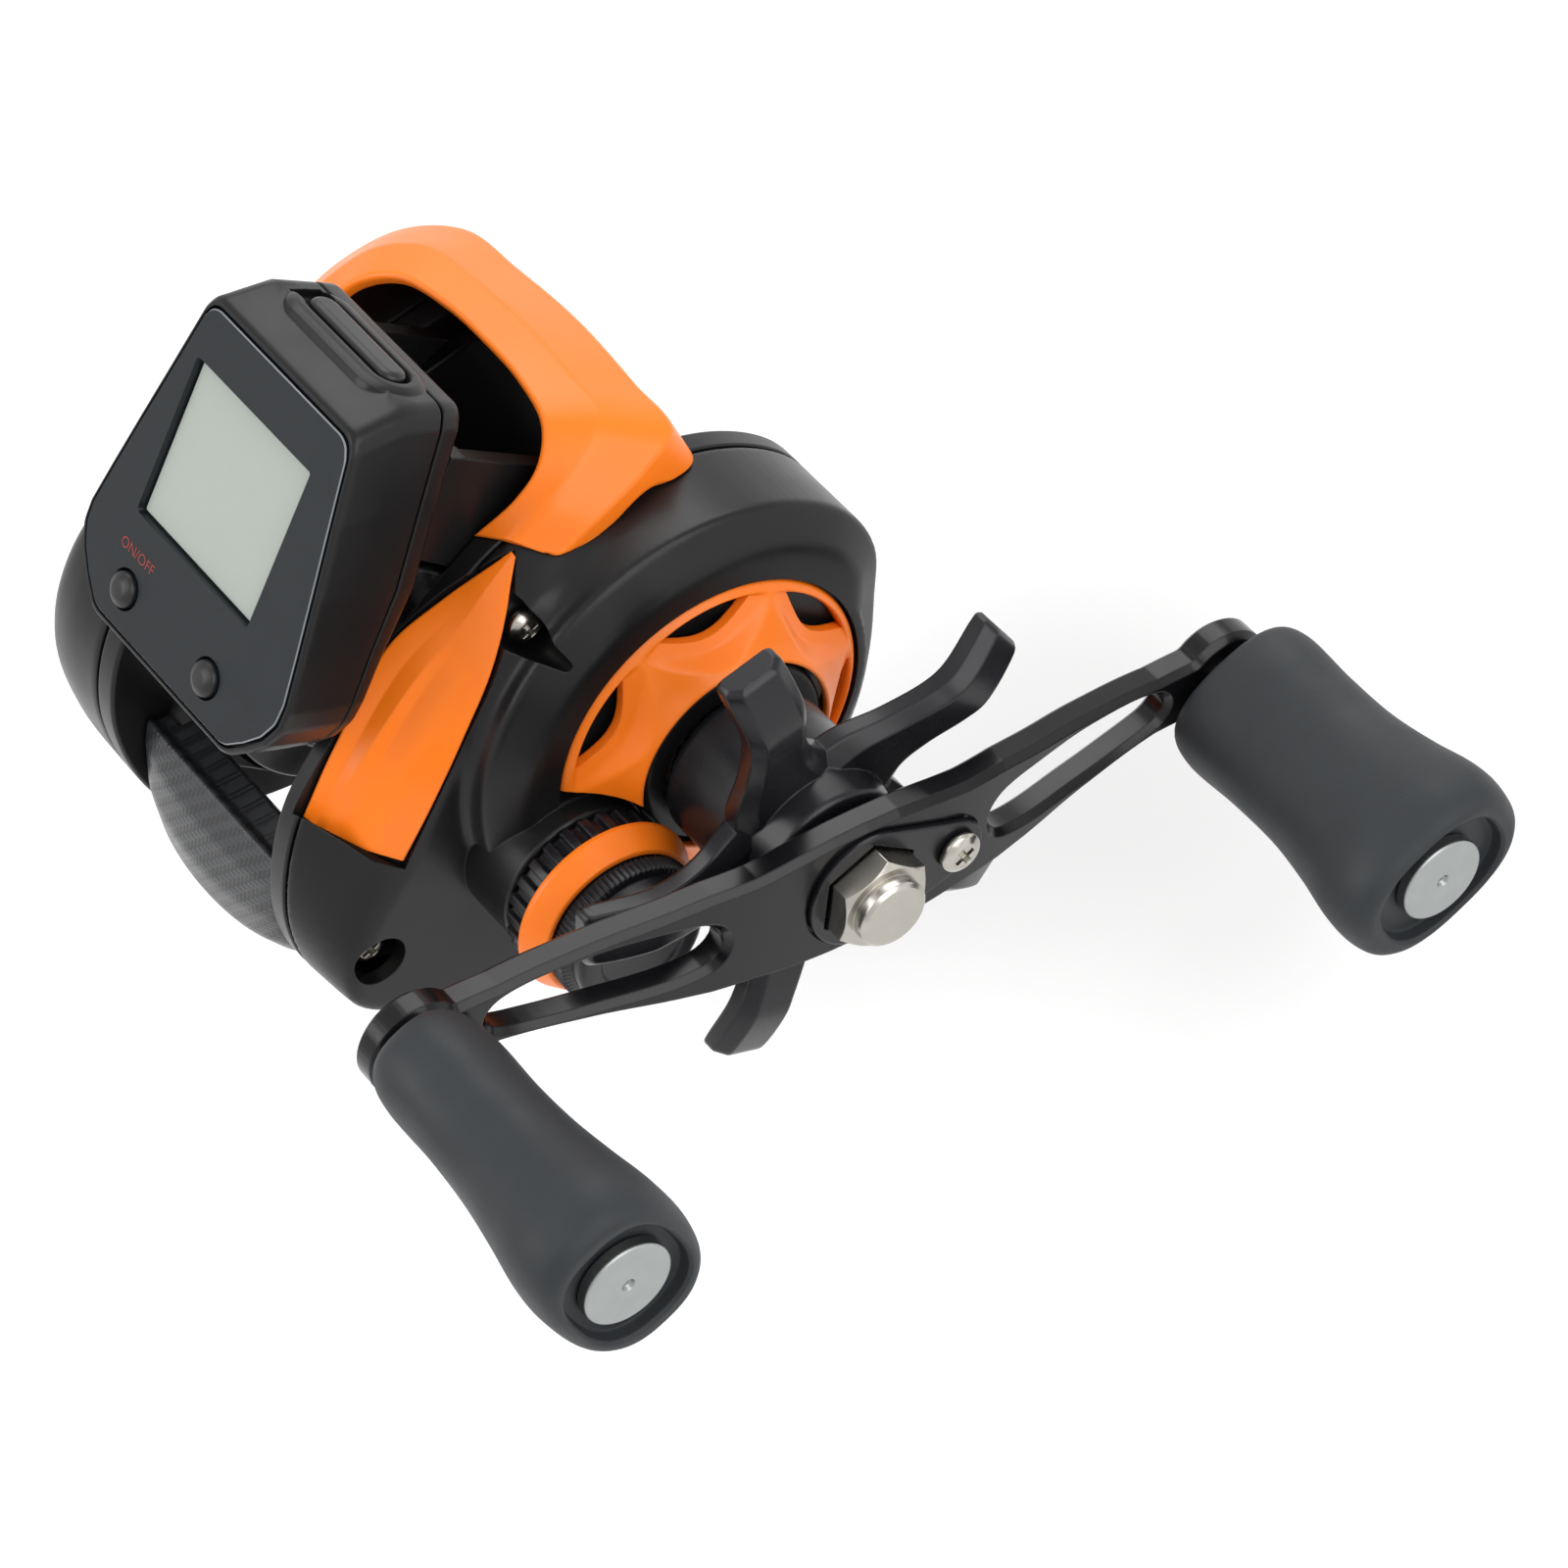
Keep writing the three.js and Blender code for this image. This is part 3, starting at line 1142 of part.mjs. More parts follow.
function makeHandleArm() {
  const plan = armPlan().map(([a, b]) => handlePoint(a, b));
  const flat = prismX(plan, armOuter - armThickness - armSweep - overrun, armOuter + overrun);
  const sweepShares = [[0, 0], [0.22, 0.02], [0.42, 0.3], [0.62, 0.72], [0.84, 1], [1.2, 1]];
  const upper = sweepShares.map(([share, drop]) => [handleHalfLength * share, armOuter - armSweep * drop]);
  const lower = sweepShares.map(([share, drop]) => [handleHalfLength * share,
    armOuter - armThickness - armSweep * drop]).reverse();
  const halfProfile = [...upper, ...lower];
  const whole = [...halfProfile, ...halfProfile.slice(1, -1).reverse().map(([a, x]) => [-a, x])];
  const body = flat.intersect(sweptAcross(whole));
  const [slotRootShare, slotTipShare] = [0.6, 0.7];
  const slots = [-1, 1].map((side) => {
    const corners = [
      [armSlotStart, armSlotInnerHalf], [armSlotStart - armSlotInnerHalf * slotRootShare, 0],
      [armSlotStart, -armSlotInnerHalf], [armSlotEnd, -armSlotOuterHalf],
      [armSlotEnd + armSlotOuterHalf * slotTipShare, 0], [armSlotEnd, armSlotOuterHalf]];
    const outline = smoothLoop(corners, smallFacets).map(([a, b]) => handlePoint(a * side, b * side));
    return prismX(outline, armOuter - armThickness - armSweep - overrun * 2, armOuter + overrun * 2);
  });
  const holes = [-1, 1].map((side) => rod(armOuter - armThickness - armSweep - overrun, armOuter + overrun,
    spindleRadius + gap, ...handlePoint(handleHalfLength * side, 0), smallFacets));
  const screwHole = rod(armOuter - overrun, armOuter + overrun, retainerScrewRadius / 2 + gap,
    ...handlePoint(retainerScrewAt, 0), tinyFacets);
  const armInner = armOuter - armThickness;
  const shaftHole = rod(armInner - overrun, armOuter + overrun, shaftRadius + gap, shaftOffset, 0);
  addPart('handle_arm', cut(body, ...slots, ...holes, screwHole, shaftHole), blackMetal);
}

// A profile along the arm and across x, carried through the arm's width.
function sweptAcross(profile) {
  const shape = new THREE.Shape(profile.map(([a, x]) => new THREE.Vector2(a, x)));
  const depth = armHubRadius * 2 + overrun * 2;
  const geometry = new THREE.ExtrudeGeometry(shape, { depth, bevelEnabled: false });
  geometry.translate(0, 0, -depth / 2);
  geometry.applyMatrix4(new THREE.Matrix4().makeBasis(
    new THREE.Vector3(0, 1, 0), new THREE.Vector3(1, 0, 0), new THREE.Vector3(0, 0, -1)));
  geometry.rotateX(radians(handleAngle));
  geometry.translate(0, shaftOffset, 0);
  return solidOf(geometry);
}

function hexOutline(radius) {
  return Array.from({ length: nutSideCount }, (_, i) => {
    const angle = radians(handleAngle + nutTurnAngle) + (i * 2 * Math.PI) / nutSideCount;
    return [shaftOffset + radius * Math.cos(angle), radius * Math.sin(angle)];
  });
}

function makeNut() {
  const [cornerShare, faceShare, capRimShare, holeGapShare] = [1.02, 0.88, 0.93, 1.3];
  const start = armOuter + gap;
  const hexEnd = start + nutHexHeight;
  const radius = nutAcrossCorners / 2;
  const chamfer = turned([
    [start - gap, 0], [start - gap, radius], [hexEnd - gap * 2, radius * cornerShare],
    [hexEnd, radius * faceShare], [hexEnd, 0]], shaftOffset, 0);
  const hex = prismX(hexOutline(radius), start, hexEnd).intersect(chamfer);
  const cap = turned([
    [hexEnd - gap, 0], [hexEnd - gap, nutCapRadius], [hexEnd + nutCapHeight - gap, nutCapRadius],
    [hexEnd + nutCapHeight, nutCapRadius * capRimShare], [hexEnd + nutCapHeight, 0]], shaftOffset, 0);
  const bore = rod(start - overrun, threadEnd + gap, shaftThreadRadius + gap, shaftOffset, 0, smallFacets);
  addPart('handle_nut', cut(joined(hex, cap), bore), nickel);

  const plateStart = armOuter + gap;
  const [retainerOpening, retainerEndArc] = [radians(100), radians(140)];
  const outline = [];
  for (let i = 0; i <= midFacets; i += 1) {
    const angle = retainerOpening / 2 + (i * (2 * Math.PI - retainerOpening)) / midFacets;
    outline.push(handlePoint(retainerRadius * Math.cos(angle), retainerRadius * Math.sin(angle)));
  }
  for (let i = 0; i <= tinyFacets; i += 1) {
    const angle = retainerEndArc * (i / tinyFacets - 0.5);
    const [along, across] = [retainerEndRadius * Math.cos(angle), retainerEndRadius * Math.sin(angle)];
    outline.push(handlePoint(retainerScrewAt + along, across));
  }
  const plate = prismX(outline, plateStart, plateStart + retainerThickness);
  const [holeStart, holeEnd] = [plateStart - overrun, plateStart + overrun * 2];
  const nutHole = prismX(hexOutline(radius + gap * holeGapShare), holeStart, holeEnd);
  const [screwY, screwZ] = handlePoint(retainerScrewAt, 0);
  const shankRadius = retainerScrewRadius / 2;
  const screwHole = rod(holeStart, holeEnd, shankRadius + gap, screwY, screwZ, tinyFacets);
  addPart('nut_retainer', cut(plate, nutHole, screwHole), blackMetal);

  const seat = plateStart + retainerThickness + gap;
  const headShares = [[0, 0], [0, 1], [0.5, 1], [1, 0.55], [1, 0]];
  const headProfile = headShares.map(([rise, out]) => [seat + retainerScrewHead * rise, retainerScrewRadius * out]);
  const head = turned(headProfile, screwY, screwZ, smallFacets);
  const shank = rod(armOuter - retainerScrewDepth, seat + gap, shankRadius, screwY, screwZ, tinyFacets);
  addPart('retainer_screw', cut(joined(head, shank),
    ...crossSlotX(seat, retainerScrewHead, retainerScrewRadius, screwY, screwZ)), nickel);
}

// Knobs on their spindles

function knobRing(x, wide, narrow, centre, turn, count) {
  return Array.from({ length: count }, (_, i) => {
    const angle = (i * 2 * Math.PI) / count;
    const power = 2 / knobSquarenessPower;
    const a = wide * Math.sign(Math.cos(angle)) * Math.abs(Math.cos(angle)) ** power;
    const b = narrow * Math.sign(Math.sin(angle)) * Math.abs(Math.sin(angle)) ** power;
    return new THREE.Vector3(x, centre[0] + a * Math.cos(turn) - b * Math.sin(turn),
      centre[1] + a * Math.sin(turn) + b * Math.cos(turn));
  });
}

function makeKnob(name, side, turnDegrees) {
  const centre = handlePoint(handleHalfLength * side, 0);
  const turn = radians(turnDegrees);
  const length = knobEnd - knobStart;
  const count = knobFacets;
  const capRimShare = 0.95;
  const rings = knobShares.map(([share, wide, narrow]) =>
    knobRing(knobStart + length * share, knobWide * wide, knobNarrow * narrow, centre, turn, count));
  const recessFloor = knobEnd - knobRecessDepth;
  const recess = loft([
    knobRing(recessFloor, knobRecessWide, knobRecessNarrow, centre, turn, count),
    knobRing(knobEnd + overrun, knobRecessWide, knobRecessNarrow, centre, turn, count)]);
  const bossOuter = armOuter - armSweep;
  const spindleEnd = bossOuter + spindleReach - gap * 2;
  const bore = rod(knobStart - overrun, spindleEnd + gap, spindleRadius + gap, ...centre, smallFacets);
  addPart(name, cut(loft(rings), recess, bore), blackRubber);
  const capStart = recessFloor + gap;
  addPart(`${name}_cap`, turned([
    [capStart, 0], [capStart, knobCapRadius], [capStart + knobCapThickness, knobCapRadius],
    [capStart + knobCapThickness + gap, knobCapRadius * capRimShare], [capStart + knobCapThickness + gap, 0]],
  ...centre, midFacets), nickel);
  const spindle = joined(
    rod(bossOuter - armThickness, bossOuter + gap * 2, spindleRadius, ...centre, smallFacets),
    rod(bossOuter - gap, spindleEnd, spindleRadius, ...centre, smallFacets));
  addPart(`${name}_spindle`, spindle, bareSteel);
}

// Thumb bar

function makeThumbBar() {
  // Each corner is a share of the bar's depth, of its skin, of its lip and of its height.
  const cornerShares = [
    [0, 0, 0, 1], [0.42, 0, 0, 0.8], [0.8, 0, 0, 0.5], [1, 0, 0, 0.14], [0.9, 0, 0, -0.14], [0.66, 0, 0, -0.28],
    [0.6, 0.5, 0, -0.14], [0.9, 1.1, 0, 0.12], [0.42, 0.5, 0, 0.5], [0, 0.4, 0, 0.52], [0, 0, 1, 0.55],
    [0, 0, 1, 0.78], [0, 0.2, 0, 0.9]];
  const bulgeShare = 0.999;
  const stations = 13;
  const rings = [];
  for (let i = 0; i < stations; i += 1) {
    const share = (2 * i) / (stations - 1) - 1;
    const depth = thumbEndDepth + (thumbDepth - thumbEndDepth) * Math.sqrt(1 - share * share * bulgeShare);
    rings.push(cornerShares.map(([back, skin, lip, high]) => new THREE.Vector3(
      thumbHalfWidth * share,
      -thumbTopEdge - depth * back + thumbSkin * skin + thumbLipReach * lip,
      thumbTopHeight * high)));
  }
  const wallSlots = [-1, 1].map((side) => {
    const [from, to] = side < 0
      ? [-thumbHalfWidth - overrun, -wallInner + gap]
      : [wallInner - gap, thumbHalfWidth + overrun];
    return block(from, to, -frameRear - gap, 0, 0, thumbTopHeight + overrun);
  });
  addPart('thumb_bar', cut(loft(rings), ...wallSlots), carbonFibre);
}

// Front hood

function makeHood() {
  const [outerDropShare, middlePullShare] = [1.1, 0.4];
  const roomRiseShare = 0.9;
  const [inner, outer, lower] = [hoodInnerShares, hoodOuterShares, hoodLowerShares].map((shares) =>
    smoothPath(shares.map(([x, y, z]) => [x * wallOuter, y * frameFront, z * frameRise]), hoodSteps));
  const thick = hoodThickness;
  const rings = inner.map((p, i) => {
    const outside = outer[i];
    const rim = lower[i];
    const across = new THREE.Vector3(outside.x - p.x, outside.y - p.y, 0).normalize();
    const middle = p.clone().lerp(outside, 0.5);
    middle.z += hoodCrown;
    const pull = (point, amount, drop) => new THREE.Vector3(
      point.x - across.x * amount, point.y - across.y * amount, point.z - drop);
    return [
      p, middle, outside, rim,
      pull(rim, thick, 0), pull(outside, thick, thick * outerDropShare),
      pull(middle, thick * middlePullShare, thick), pull(p, 0, thick)];
  });
  const band = loft(rings);
  const neighbours = [
    gearCaseForm(gap),
    block(-wallOuter - gap, wallOuter + gap, 0, frameFront + gap, floorBottom, frameRise * roomRiseShare),
    loft([plateRing(leftPlateShares, -(wallOuter + gap + sideRingThickness + leftCoverDepth + overrun)),
      plateRing(leftPlateShares, -wallOuter)].map((ring) => inset(ring, -gap))),
    joined(
      loft([wallOuter, caseInner].map((x) => inset(plateRing(rightPlateShares, x), -gap))),
      gearCaseRound(wallOuter, caseInner, gap)),
  ];
  addPart('front_hood', cut(band, ...neighbours), paintOrange);
}

// Display housing, drawn in its own frame: x across, y up the face and z out of the face

const display = new THREE.Group();
display.position.set(displayOffset, displayForward, displayHeight);
display.rotation.x = radians(displayTiltAngle);
reel.add(display);

// The outline grows by one amount, narrows by a second and has its top edge lifted by a third.
function faceOutline(grown, drawn = 0, lifted = 0) {
  const middle = (faceTop - faceBottom) / 2;
  const halfHeight = (faceTop + faceBottom) / 2;
  const half = faceShares.map(([a, b]) => {
    const x = a * (faceHalfWidth + grown - drawn);
    const y = b > 0 ? b * faceTop : b * faceBottom;
    const share = (y - middle) / halfHeight;
    return [x, middle + share * (halfHeight + grown) + Math.max(share, 0) * lifted];
  });
  const left = half.slice(1, -1).reverse().map(([x, y]) => [-x, y]);
  return [...half, ...left];
}

function faceRing(grown, depth, z = -depth) {
  const drawn = (shellDraft * depth) / shellDepth;
  const lifted = topRise * Math.min(depth / topRiseDepth, 1);
  return faceOutline(grown, drawn, lifted).map(([x, y]) => new THREE.Vector3(x, y, z));
}

// The housing's lower part stands clear of the side plates' tops and of the frame's walls.
function housingRelief() {
  display.updateMatrix();
  const toDisplay = display.matrix.clone().invert();
  const spread = backDepth * 2;
  const plates = [[leftPlateShares, -spread, -wallOuter], [rightPlateShares, wallOuter, spread]];
  const besides = plates.map(([shares, from, to]) =>
    [from, to].map((x) => inset(plateRing(shares, x), -reliefClearance)));
  const raisedFrame = raised(frameOutline(), reliefClearance);
  const between = [-wallOuter - gap, wallOuter + gap].map((x) =>
    raisedFrame.map(([y, z]) => new THREE.Vector3(x, y, z)));
  return [...besides, between].map((rings) =>
    loft(rings.map((ring) => ring.map((p) => p.applyMatrix4(toDisplay)))));
}

function makeDisplay() {
  const windowCut = (grown) => block(
    windowShift - windowHalfWidth - grown, windowShift + windowHalfWidth + grown,
    -windowHalfHeight - grown, windowHalfHeight + grown, -backDepth, overrun);
  const buttonRimShare = 0.82;
  const [socketWidthShare, socketLengthShare, socketHeightShare] = [0.8, 0.7, 0.3];
  const buttonPlaces = [windowShift - buttonSpread, windowShift + buttonSpread];
  const buttonHoles = (radius) => buttonPlaces.map((x) => postZ(-shellDepth, overrun, radius, x, -buttonDown));

  const plate = loft([faceRing(0, 0, -faceThickness), faceRing(0, 0, 0)]);
  const facePlate = cut(plate, windowCut(0), ...buttonHoles(buttonRadius + gap));
  addPart('display_face_plate', facePlate, glossBlack, display);

  const seat = -(faceThickness + gap);
  const frontWall = shellWall - seat;
  const outer = loft([faceRing(shellMargin, shellDepth), faceRing(shellMargin, topRiseDepth),
    faceRing(shellMargin, gap)]);
  const recess = loft([faceRing(gap, 0, seat), faceRing(gap, 0, overrun)]);
  const hollow = loft([faceRing(shellMargin - shellWall, shellDepth + overrun),
    faceRing(shellMargin - shellWall, topRiseDepth), faceRing(shellMargin - shellWall, frontWall)]);
  const plugSlot = block(-socketHalfWidth, socketHalfWidth, faceTop - overrun * 2, faceTop + overrun * 3,
    -plugDepth - socketHeight / 2, -plugDepth + socketHeight / 2);
  const relief = housingRelief();
  addPart('display_front_shell', cut(outer, recess, hollow, windowCut(lcdMargin + gap), plugSlot,
    ...buttonHoles(buttonFlangeRadius + gap), ...relief), paintBlack, display);

  const backStart = shellDepth + gap;
  const back = loft([faceRing(shellMargin - gap * 4, backDepth), faceRing(shellMargin, backDepth - gap * 3),
    faceRing(shellMargin, backStart)]);
  const backHollow = loft([faceRing(shellMargin - shellWall * 2, backDepth - shellWall),
    faceRing(shellMargin - shellWall, backStart - overrun)]);
  addPart('display_back_cover', cut(back, backHollow, ...relief), paintBlack, display);

  const lcdHalfWidth = windowHalfWidth + lcdMargin;
  const lcdHalfHeight = windowHalfHeight + lcdMargin;
  const lens = block(windowShift - windowHalfWidth + gap, windowShift + windowHalfWidth - gap,
    -windowHalfHeight + gap, windowHalfHeight - gap, seat - gap, -gap);
  addPart('lcd_panel', joined(lens, block(windowShift - lcdHalfWidth, windowShift + lcdHalfWidth,
    -lcdHalfHeight, lcdHalfHeight, seat - lcdThickness, seat)), lcdGrey, display);
  const boardTop = seat - lcdThickness - gap;
  const [boardLow, boardHigh] = [-boardHalfHeight - overrun * 2, boardHalfHeight - overrun];
  const board = block(-boardHalfWidth, boardHalfWidth, boardLow, boardHigh, boardTop - boardThickness, boardTop);
  addPart('circuit_board', board, boardGreen, display);
  const batteryTop = boardTop - boardThickness - gap;
  addPart('battery', block(-batteryHalfWidth, batteryHalfWidth, -batteryHeight, 0,
    batteryTop - batteryThickness, batteryTop), magnetGrey, display);
  const shellInnerTop = faceTop + topRise + shellMargin - shellWall - gap;
  const socket = (wide, long, high, beyond) => block(
    -socketHalfWidth * wide, socketHalfWidth * wide, shellInnerTop - socketLength * long, shellInnerTop + beyond,
    -plugDepth - socketHeight * high, -plugDepth + socketHeight * high);
  addPart('charge_socket', cut(
    socket(1, 1, 1 / 2, 0),
    socket(socketWidthShare, socketLengthShare, socketHeightShare, overrun)), bareSteel, display);

  buttonPlaces.forEach((x, i) => {
    const cap = turnedZ([[-faceThickness - gap * 2, 0], [-faceThickness - gap * 2, buttonRadius],
      [buttonRise - gap, buttonRadius], [buttonRise, buttonRadius * buttonRimShare], [buttonRise, 0]],
    x, -buttonDown);
    const flange = turnedZ([[-faceThickness - gap * 2 - buttonFlangeHeight, 0],
      [-faceThickness - gap * 2 - buttonFlangeHeight, buttonFlangeRadius],
      [-faceThickness - gap - gap, buttonFlangeRadius], [-faceThickness - gap - gap, 0]], x, -buttonDown);
    addPart(['on_off_button', 'set_button'][i], joined(cap, flange), blackRubber, display);
  });

  addPart('port_cover', portCover(), blackRubber, display);
}

// A profile of z and radius, turned about an upright axis at x and y.
function turnedZ(profile, x, y, facets = smallFacets) {
  const geometry = new THREE.LatheGeometry(profile.map(([z, r]) => new THREE.Vector2(r, z)), facets);
  geometry.rotateX(Math.PI / 2);
  geometry.translate(x, y, 0);
  return solidOf(geometry);
}

function portCover() {
  const base = faceTop + topRise + shellMargin + gap;
  const riseShares = [[0, 1], [0.6, 1], [1, 0.82]];
  const cornerShare = 0.6;
  const rings = riseShares.map(([share, size]) => {
    const half = plugHalfLength - (1 - size) * plugWidth;
    const deep = (plugWidth * size) / 2;
    const corners = [];
    for (const [sx, sz] of [[1, 1], [-1, 1], [-1, -1], [1, -1]]) {
      const round = deep * cornerShare;
      const pair = [[half * sx, (deep - round) * sz], [(half - round) * sx, deep * sz]];
      corners.push(...(sx * sz > 0 ? pair : pair.reverse()));
    }
    return corners.map(([x, z]) => new THREE.Vector3(x, base + plugRise * share, z - plugDepth));
  });
  return loft(rings);
}

// Bracket from the frame's walls to the back of the display

function makeBracket() {
  const tilt = radians(displayTiltAngle);
  const alongFace = [Math.cos(tilt), Math.sin(tilt)];
  const outFace = [-Math.sin(tilt), Math.cos(tilt)];
  const at = (up, out) => [displayForward + alongFace[0] * up + outFace[0] * out,
    displayHeight + alongFace[1] * up + outFace[1] * out];
  const skin = backDepth + gap;
  const [low, high] = [bracketMargin, faceTop - bracketMargin];
  const [footRearShare, footFrontShare, footRiseShare] = [0.72, 1.5, 0.88];
  const cross = prismX([at(low, -skin), at(high, -skin), at(high, -skin - bracketThickness),
    at(low, -skin - bracketThickness)], -wallOuter, wallOuter);
  const armOutline = [at(low, -skin), at(high, -skin),
    [frameRear * footFrontShare, frameRise * footRiseShare + gap],
    [frameRear * footRearShare, frameRise * footRiseShare + gap]];
  const arms = [-1, 1].map((side) => {
    const [from, to] = side < 0 ? [-wallOuter, -wallInner] : [wallInner, wallOuter];
    return cut(prismX(armOutline, from, to), prismX(raised(frameOutline(), gap), from - overrun, to + overrun));
  });
  addPart('display_bracket', joined(cross, ...arms), paintBlack);
  addPart('hall_sensor', block(-wallInner + gap, -wallInner + gap + sensorThickness, spoolRadius + sensorGap,
    spoolRadius + sensorGap + sensorHalf * 2, -sensorHalf, sensorHalf), boardGreen);
}

function raised(outline, amount) {
  return outline.map(([y, z]) => [y, z > 0 ? z + amount : z]);
}

makeFrame();
makeFoot();
makeFootScrews();
makeLeftSide();
makeGearFrame();
makeGearCase();
makePanel();
makeDome();
makeDriveTrain();
makeSpool();
makeLevelWind();
makeStar();
makeCastKnob();
makeHandleArm();
makeNut();
makeKnob('front_knob', 1, 0);
makeKnob('rear_knob', -1, 90);
makeThumbBar();
makeHood();
makeDisplay();
makeBracket();

const model = new THREE.Group();
model.add(reel);

export default model;
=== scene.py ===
"""Looks of a low-profile baitcasting reel with an electronic line counter, right-hand wind.

Pieces are shaped in millimetres about the spool axis: x runs across the reel to the handle, y forward to
the rod tip and z up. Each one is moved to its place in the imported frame, in metres, once it is whole.
"""
from __future__ import annotations

import logging
import math
from dataclasses import dataclass, field
from enum import Enum
from itertools import product

import bmesh
import bpy
import numpy as np
from mathutils import Matrix, Vector

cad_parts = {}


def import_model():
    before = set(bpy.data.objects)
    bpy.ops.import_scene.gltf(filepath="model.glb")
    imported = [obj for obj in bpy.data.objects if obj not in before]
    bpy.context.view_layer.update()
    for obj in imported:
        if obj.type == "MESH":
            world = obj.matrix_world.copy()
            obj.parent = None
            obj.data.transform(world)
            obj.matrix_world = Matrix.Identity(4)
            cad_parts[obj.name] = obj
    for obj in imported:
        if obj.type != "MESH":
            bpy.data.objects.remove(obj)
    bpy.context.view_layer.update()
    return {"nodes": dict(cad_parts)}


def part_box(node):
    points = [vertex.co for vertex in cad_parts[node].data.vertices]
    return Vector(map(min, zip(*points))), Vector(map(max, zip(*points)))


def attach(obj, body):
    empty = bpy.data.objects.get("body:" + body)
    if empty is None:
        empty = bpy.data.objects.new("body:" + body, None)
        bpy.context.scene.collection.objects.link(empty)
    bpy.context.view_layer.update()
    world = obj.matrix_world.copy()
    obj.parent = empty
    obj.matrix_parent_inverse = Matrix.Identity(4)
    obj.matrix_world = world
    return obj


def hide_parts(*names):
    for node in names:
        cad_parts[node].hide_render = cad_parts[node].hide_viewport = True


MM = 0.001  # one millimetre in metres
GAP = 0.3  # clearance between neighbours, in millimetres
OVERRUN = 2.0  # how far a cutter runs past what it cuts
HUB = 0.01  # radius at which a solid turned form closes on its line
TINY = 1e-9  # least length that is divided by
LEAST = 1e-12  # least squared length that is divided by
log = logging.getLogger("reel")

Array = np.ndarray
Piece = bpy.types.Object
Tree = bpy.types.NodeTree
Socket = bpy.types.NodeSocket
Pair = tuple[float, float]
Triple = tuple[float, float, float]
Quad = tuple[float, float, float, float]


# Curves and profiles

def spline(corners: Array, count: int, closed: bool = False, fine: int = 24, even: bool = True) -> Array:
    """Carries a centripetal Catmull-Rom curve through the corners and spaces its points evenly.

    Args:
        corners: The points that the curve passes, one row each.
        count: How many points come back.
        closed: Whether the curve returns to its first point.
        fine: Steps between two corners before the points are spaced.
        even: Whether the points are spaced; if not, they stay at the same steps between the corners.

    Returns:
        The points of the curve, one row each.
    """
    points = np.asarray(corners, float)
    if closed:
        ends = np.vstack([points[-1:], points, points[:2]])
    else:
        ends = np.vstack([2 * points[:1] - points[1:2], points, 2 * points[-1:] - points[-2:-1]])
    spans = len(points) if closed else len(points) - 1
    p = [ends[k:k + spans][:, None] for k in range(4)]
    gaps = [np.linalg.norm(p[k + 1] - p[k], axis=-1, keepdims=True) for k in range(3)]
    steps = [np.sqrt(np.maximum(gap, TINY)) for gap in gaps]
    t0 = np.zeros_like(steps[0])
    t1, t2, t3 = steps[0], steps[0] + steps[1], steps[0] + steps[1] + steps[2]
    t = t1 + (t2 - t1) * np.linspace(0, 1, fine, endpoint=False)[None, :, None]

    def blend(a: Array, b: Array, ta: Array, tb: Array) -> Array:
        """Mixes a into b as t runs from ta to tb."""
        return (tb - t) / (tb - ta) * a + (t - ta) / (tb - ta) * b

    a1, a2, a3 = blend(p[0], p[1], t0, t1), blend(p[1], p[2], t1, t2), blend(p[2], p[3], t2, t3)
    curve = blend(blend(a1, a2, t0, t2), blend(a2, a3, t1, t3), t1, t2).reshape(-1, points.shape[1])
    curve = np.vstack([curve, points[:1] if closed else points[-1:]])
    if not even:
        return curve
    length = np.concatenate([[0], np.cumsum(np.linalg.norm(np.diff(curve, axis=0), axis=1))])
    places = np.linspace(0, length[-1], count, endpoint=not closed)
    return np.stack([np.interp(places, length, curve[:, k]) for k in range(points.shape[1])], axis=1)


def rounded(corners: Array, radius: float | Array, steps: int = 4, closed: bool = True) -> Array:
    """Replaces each corner by an arc that touches both of its sides.

    Args:
        corners: Corners of one or many lines, in the last two axes.
        radius: The radius of every corner, or one for each.
        steps: Steps of each arc.
        closed: Whether the line is a loop; an open one keeps its two ends sharp.

    Returns:
        The line with its corners rounded, in the last two axes.
    """
    p = np.asarray(corners, float)
    to_last, to_next = np.roll(p, 1, -2) - p, np.roll(p, -1, -2) - p
    last_length = np.linalg.norm(to_last, axis=-1, keepdims=True)
    next_length = np.linalg.norm(to_next, axis=-1, keepdims=True)
    a, b = to_last / np.maximum(last_length, TINY), to_next / np.maximum(next_length, TINY)
    half = np.arccos(np.clip((a * b).sum(-1, keepdims=True), -0.99999, 0.99999)) / 2
    wanted = np.broadcast_to(np.asarray(radius, float), p.shape[:-1])[..., None]
    reach = np.minimum(wanted / np.tan(half), 0.48 * np.minimum(last_length, next_length))
    if not closed:
        reach = reach.copy()
        reach[..., [0, -1], :] = 0
    arc = reach * np.tan(half)
    length = np.maximum(np.linalg.norm(a + b, axis=-1, keepdims=True), TINY)
    middle = p + (a + b) / length * arc / np.sin(half)
    turn = (math.pi - 2 * half)[..., None, :]
    share = np.linspace(0, 1, steps + 1)[:, None]
    start, end = (p + a * reach - middle)[..., None, :], (p + b * reach - middle)[..., None, :]
    points = (np.sin((1 - share) * turn) * start + np.sin(share * turn) * end) / np.sin(turn)
    points = middle[..., None, :] + points
    points = points.reshape(*p.shape[:-2], -1, p.shape[-1])
    return points if closed else points[..., steps:-steps or None, :]


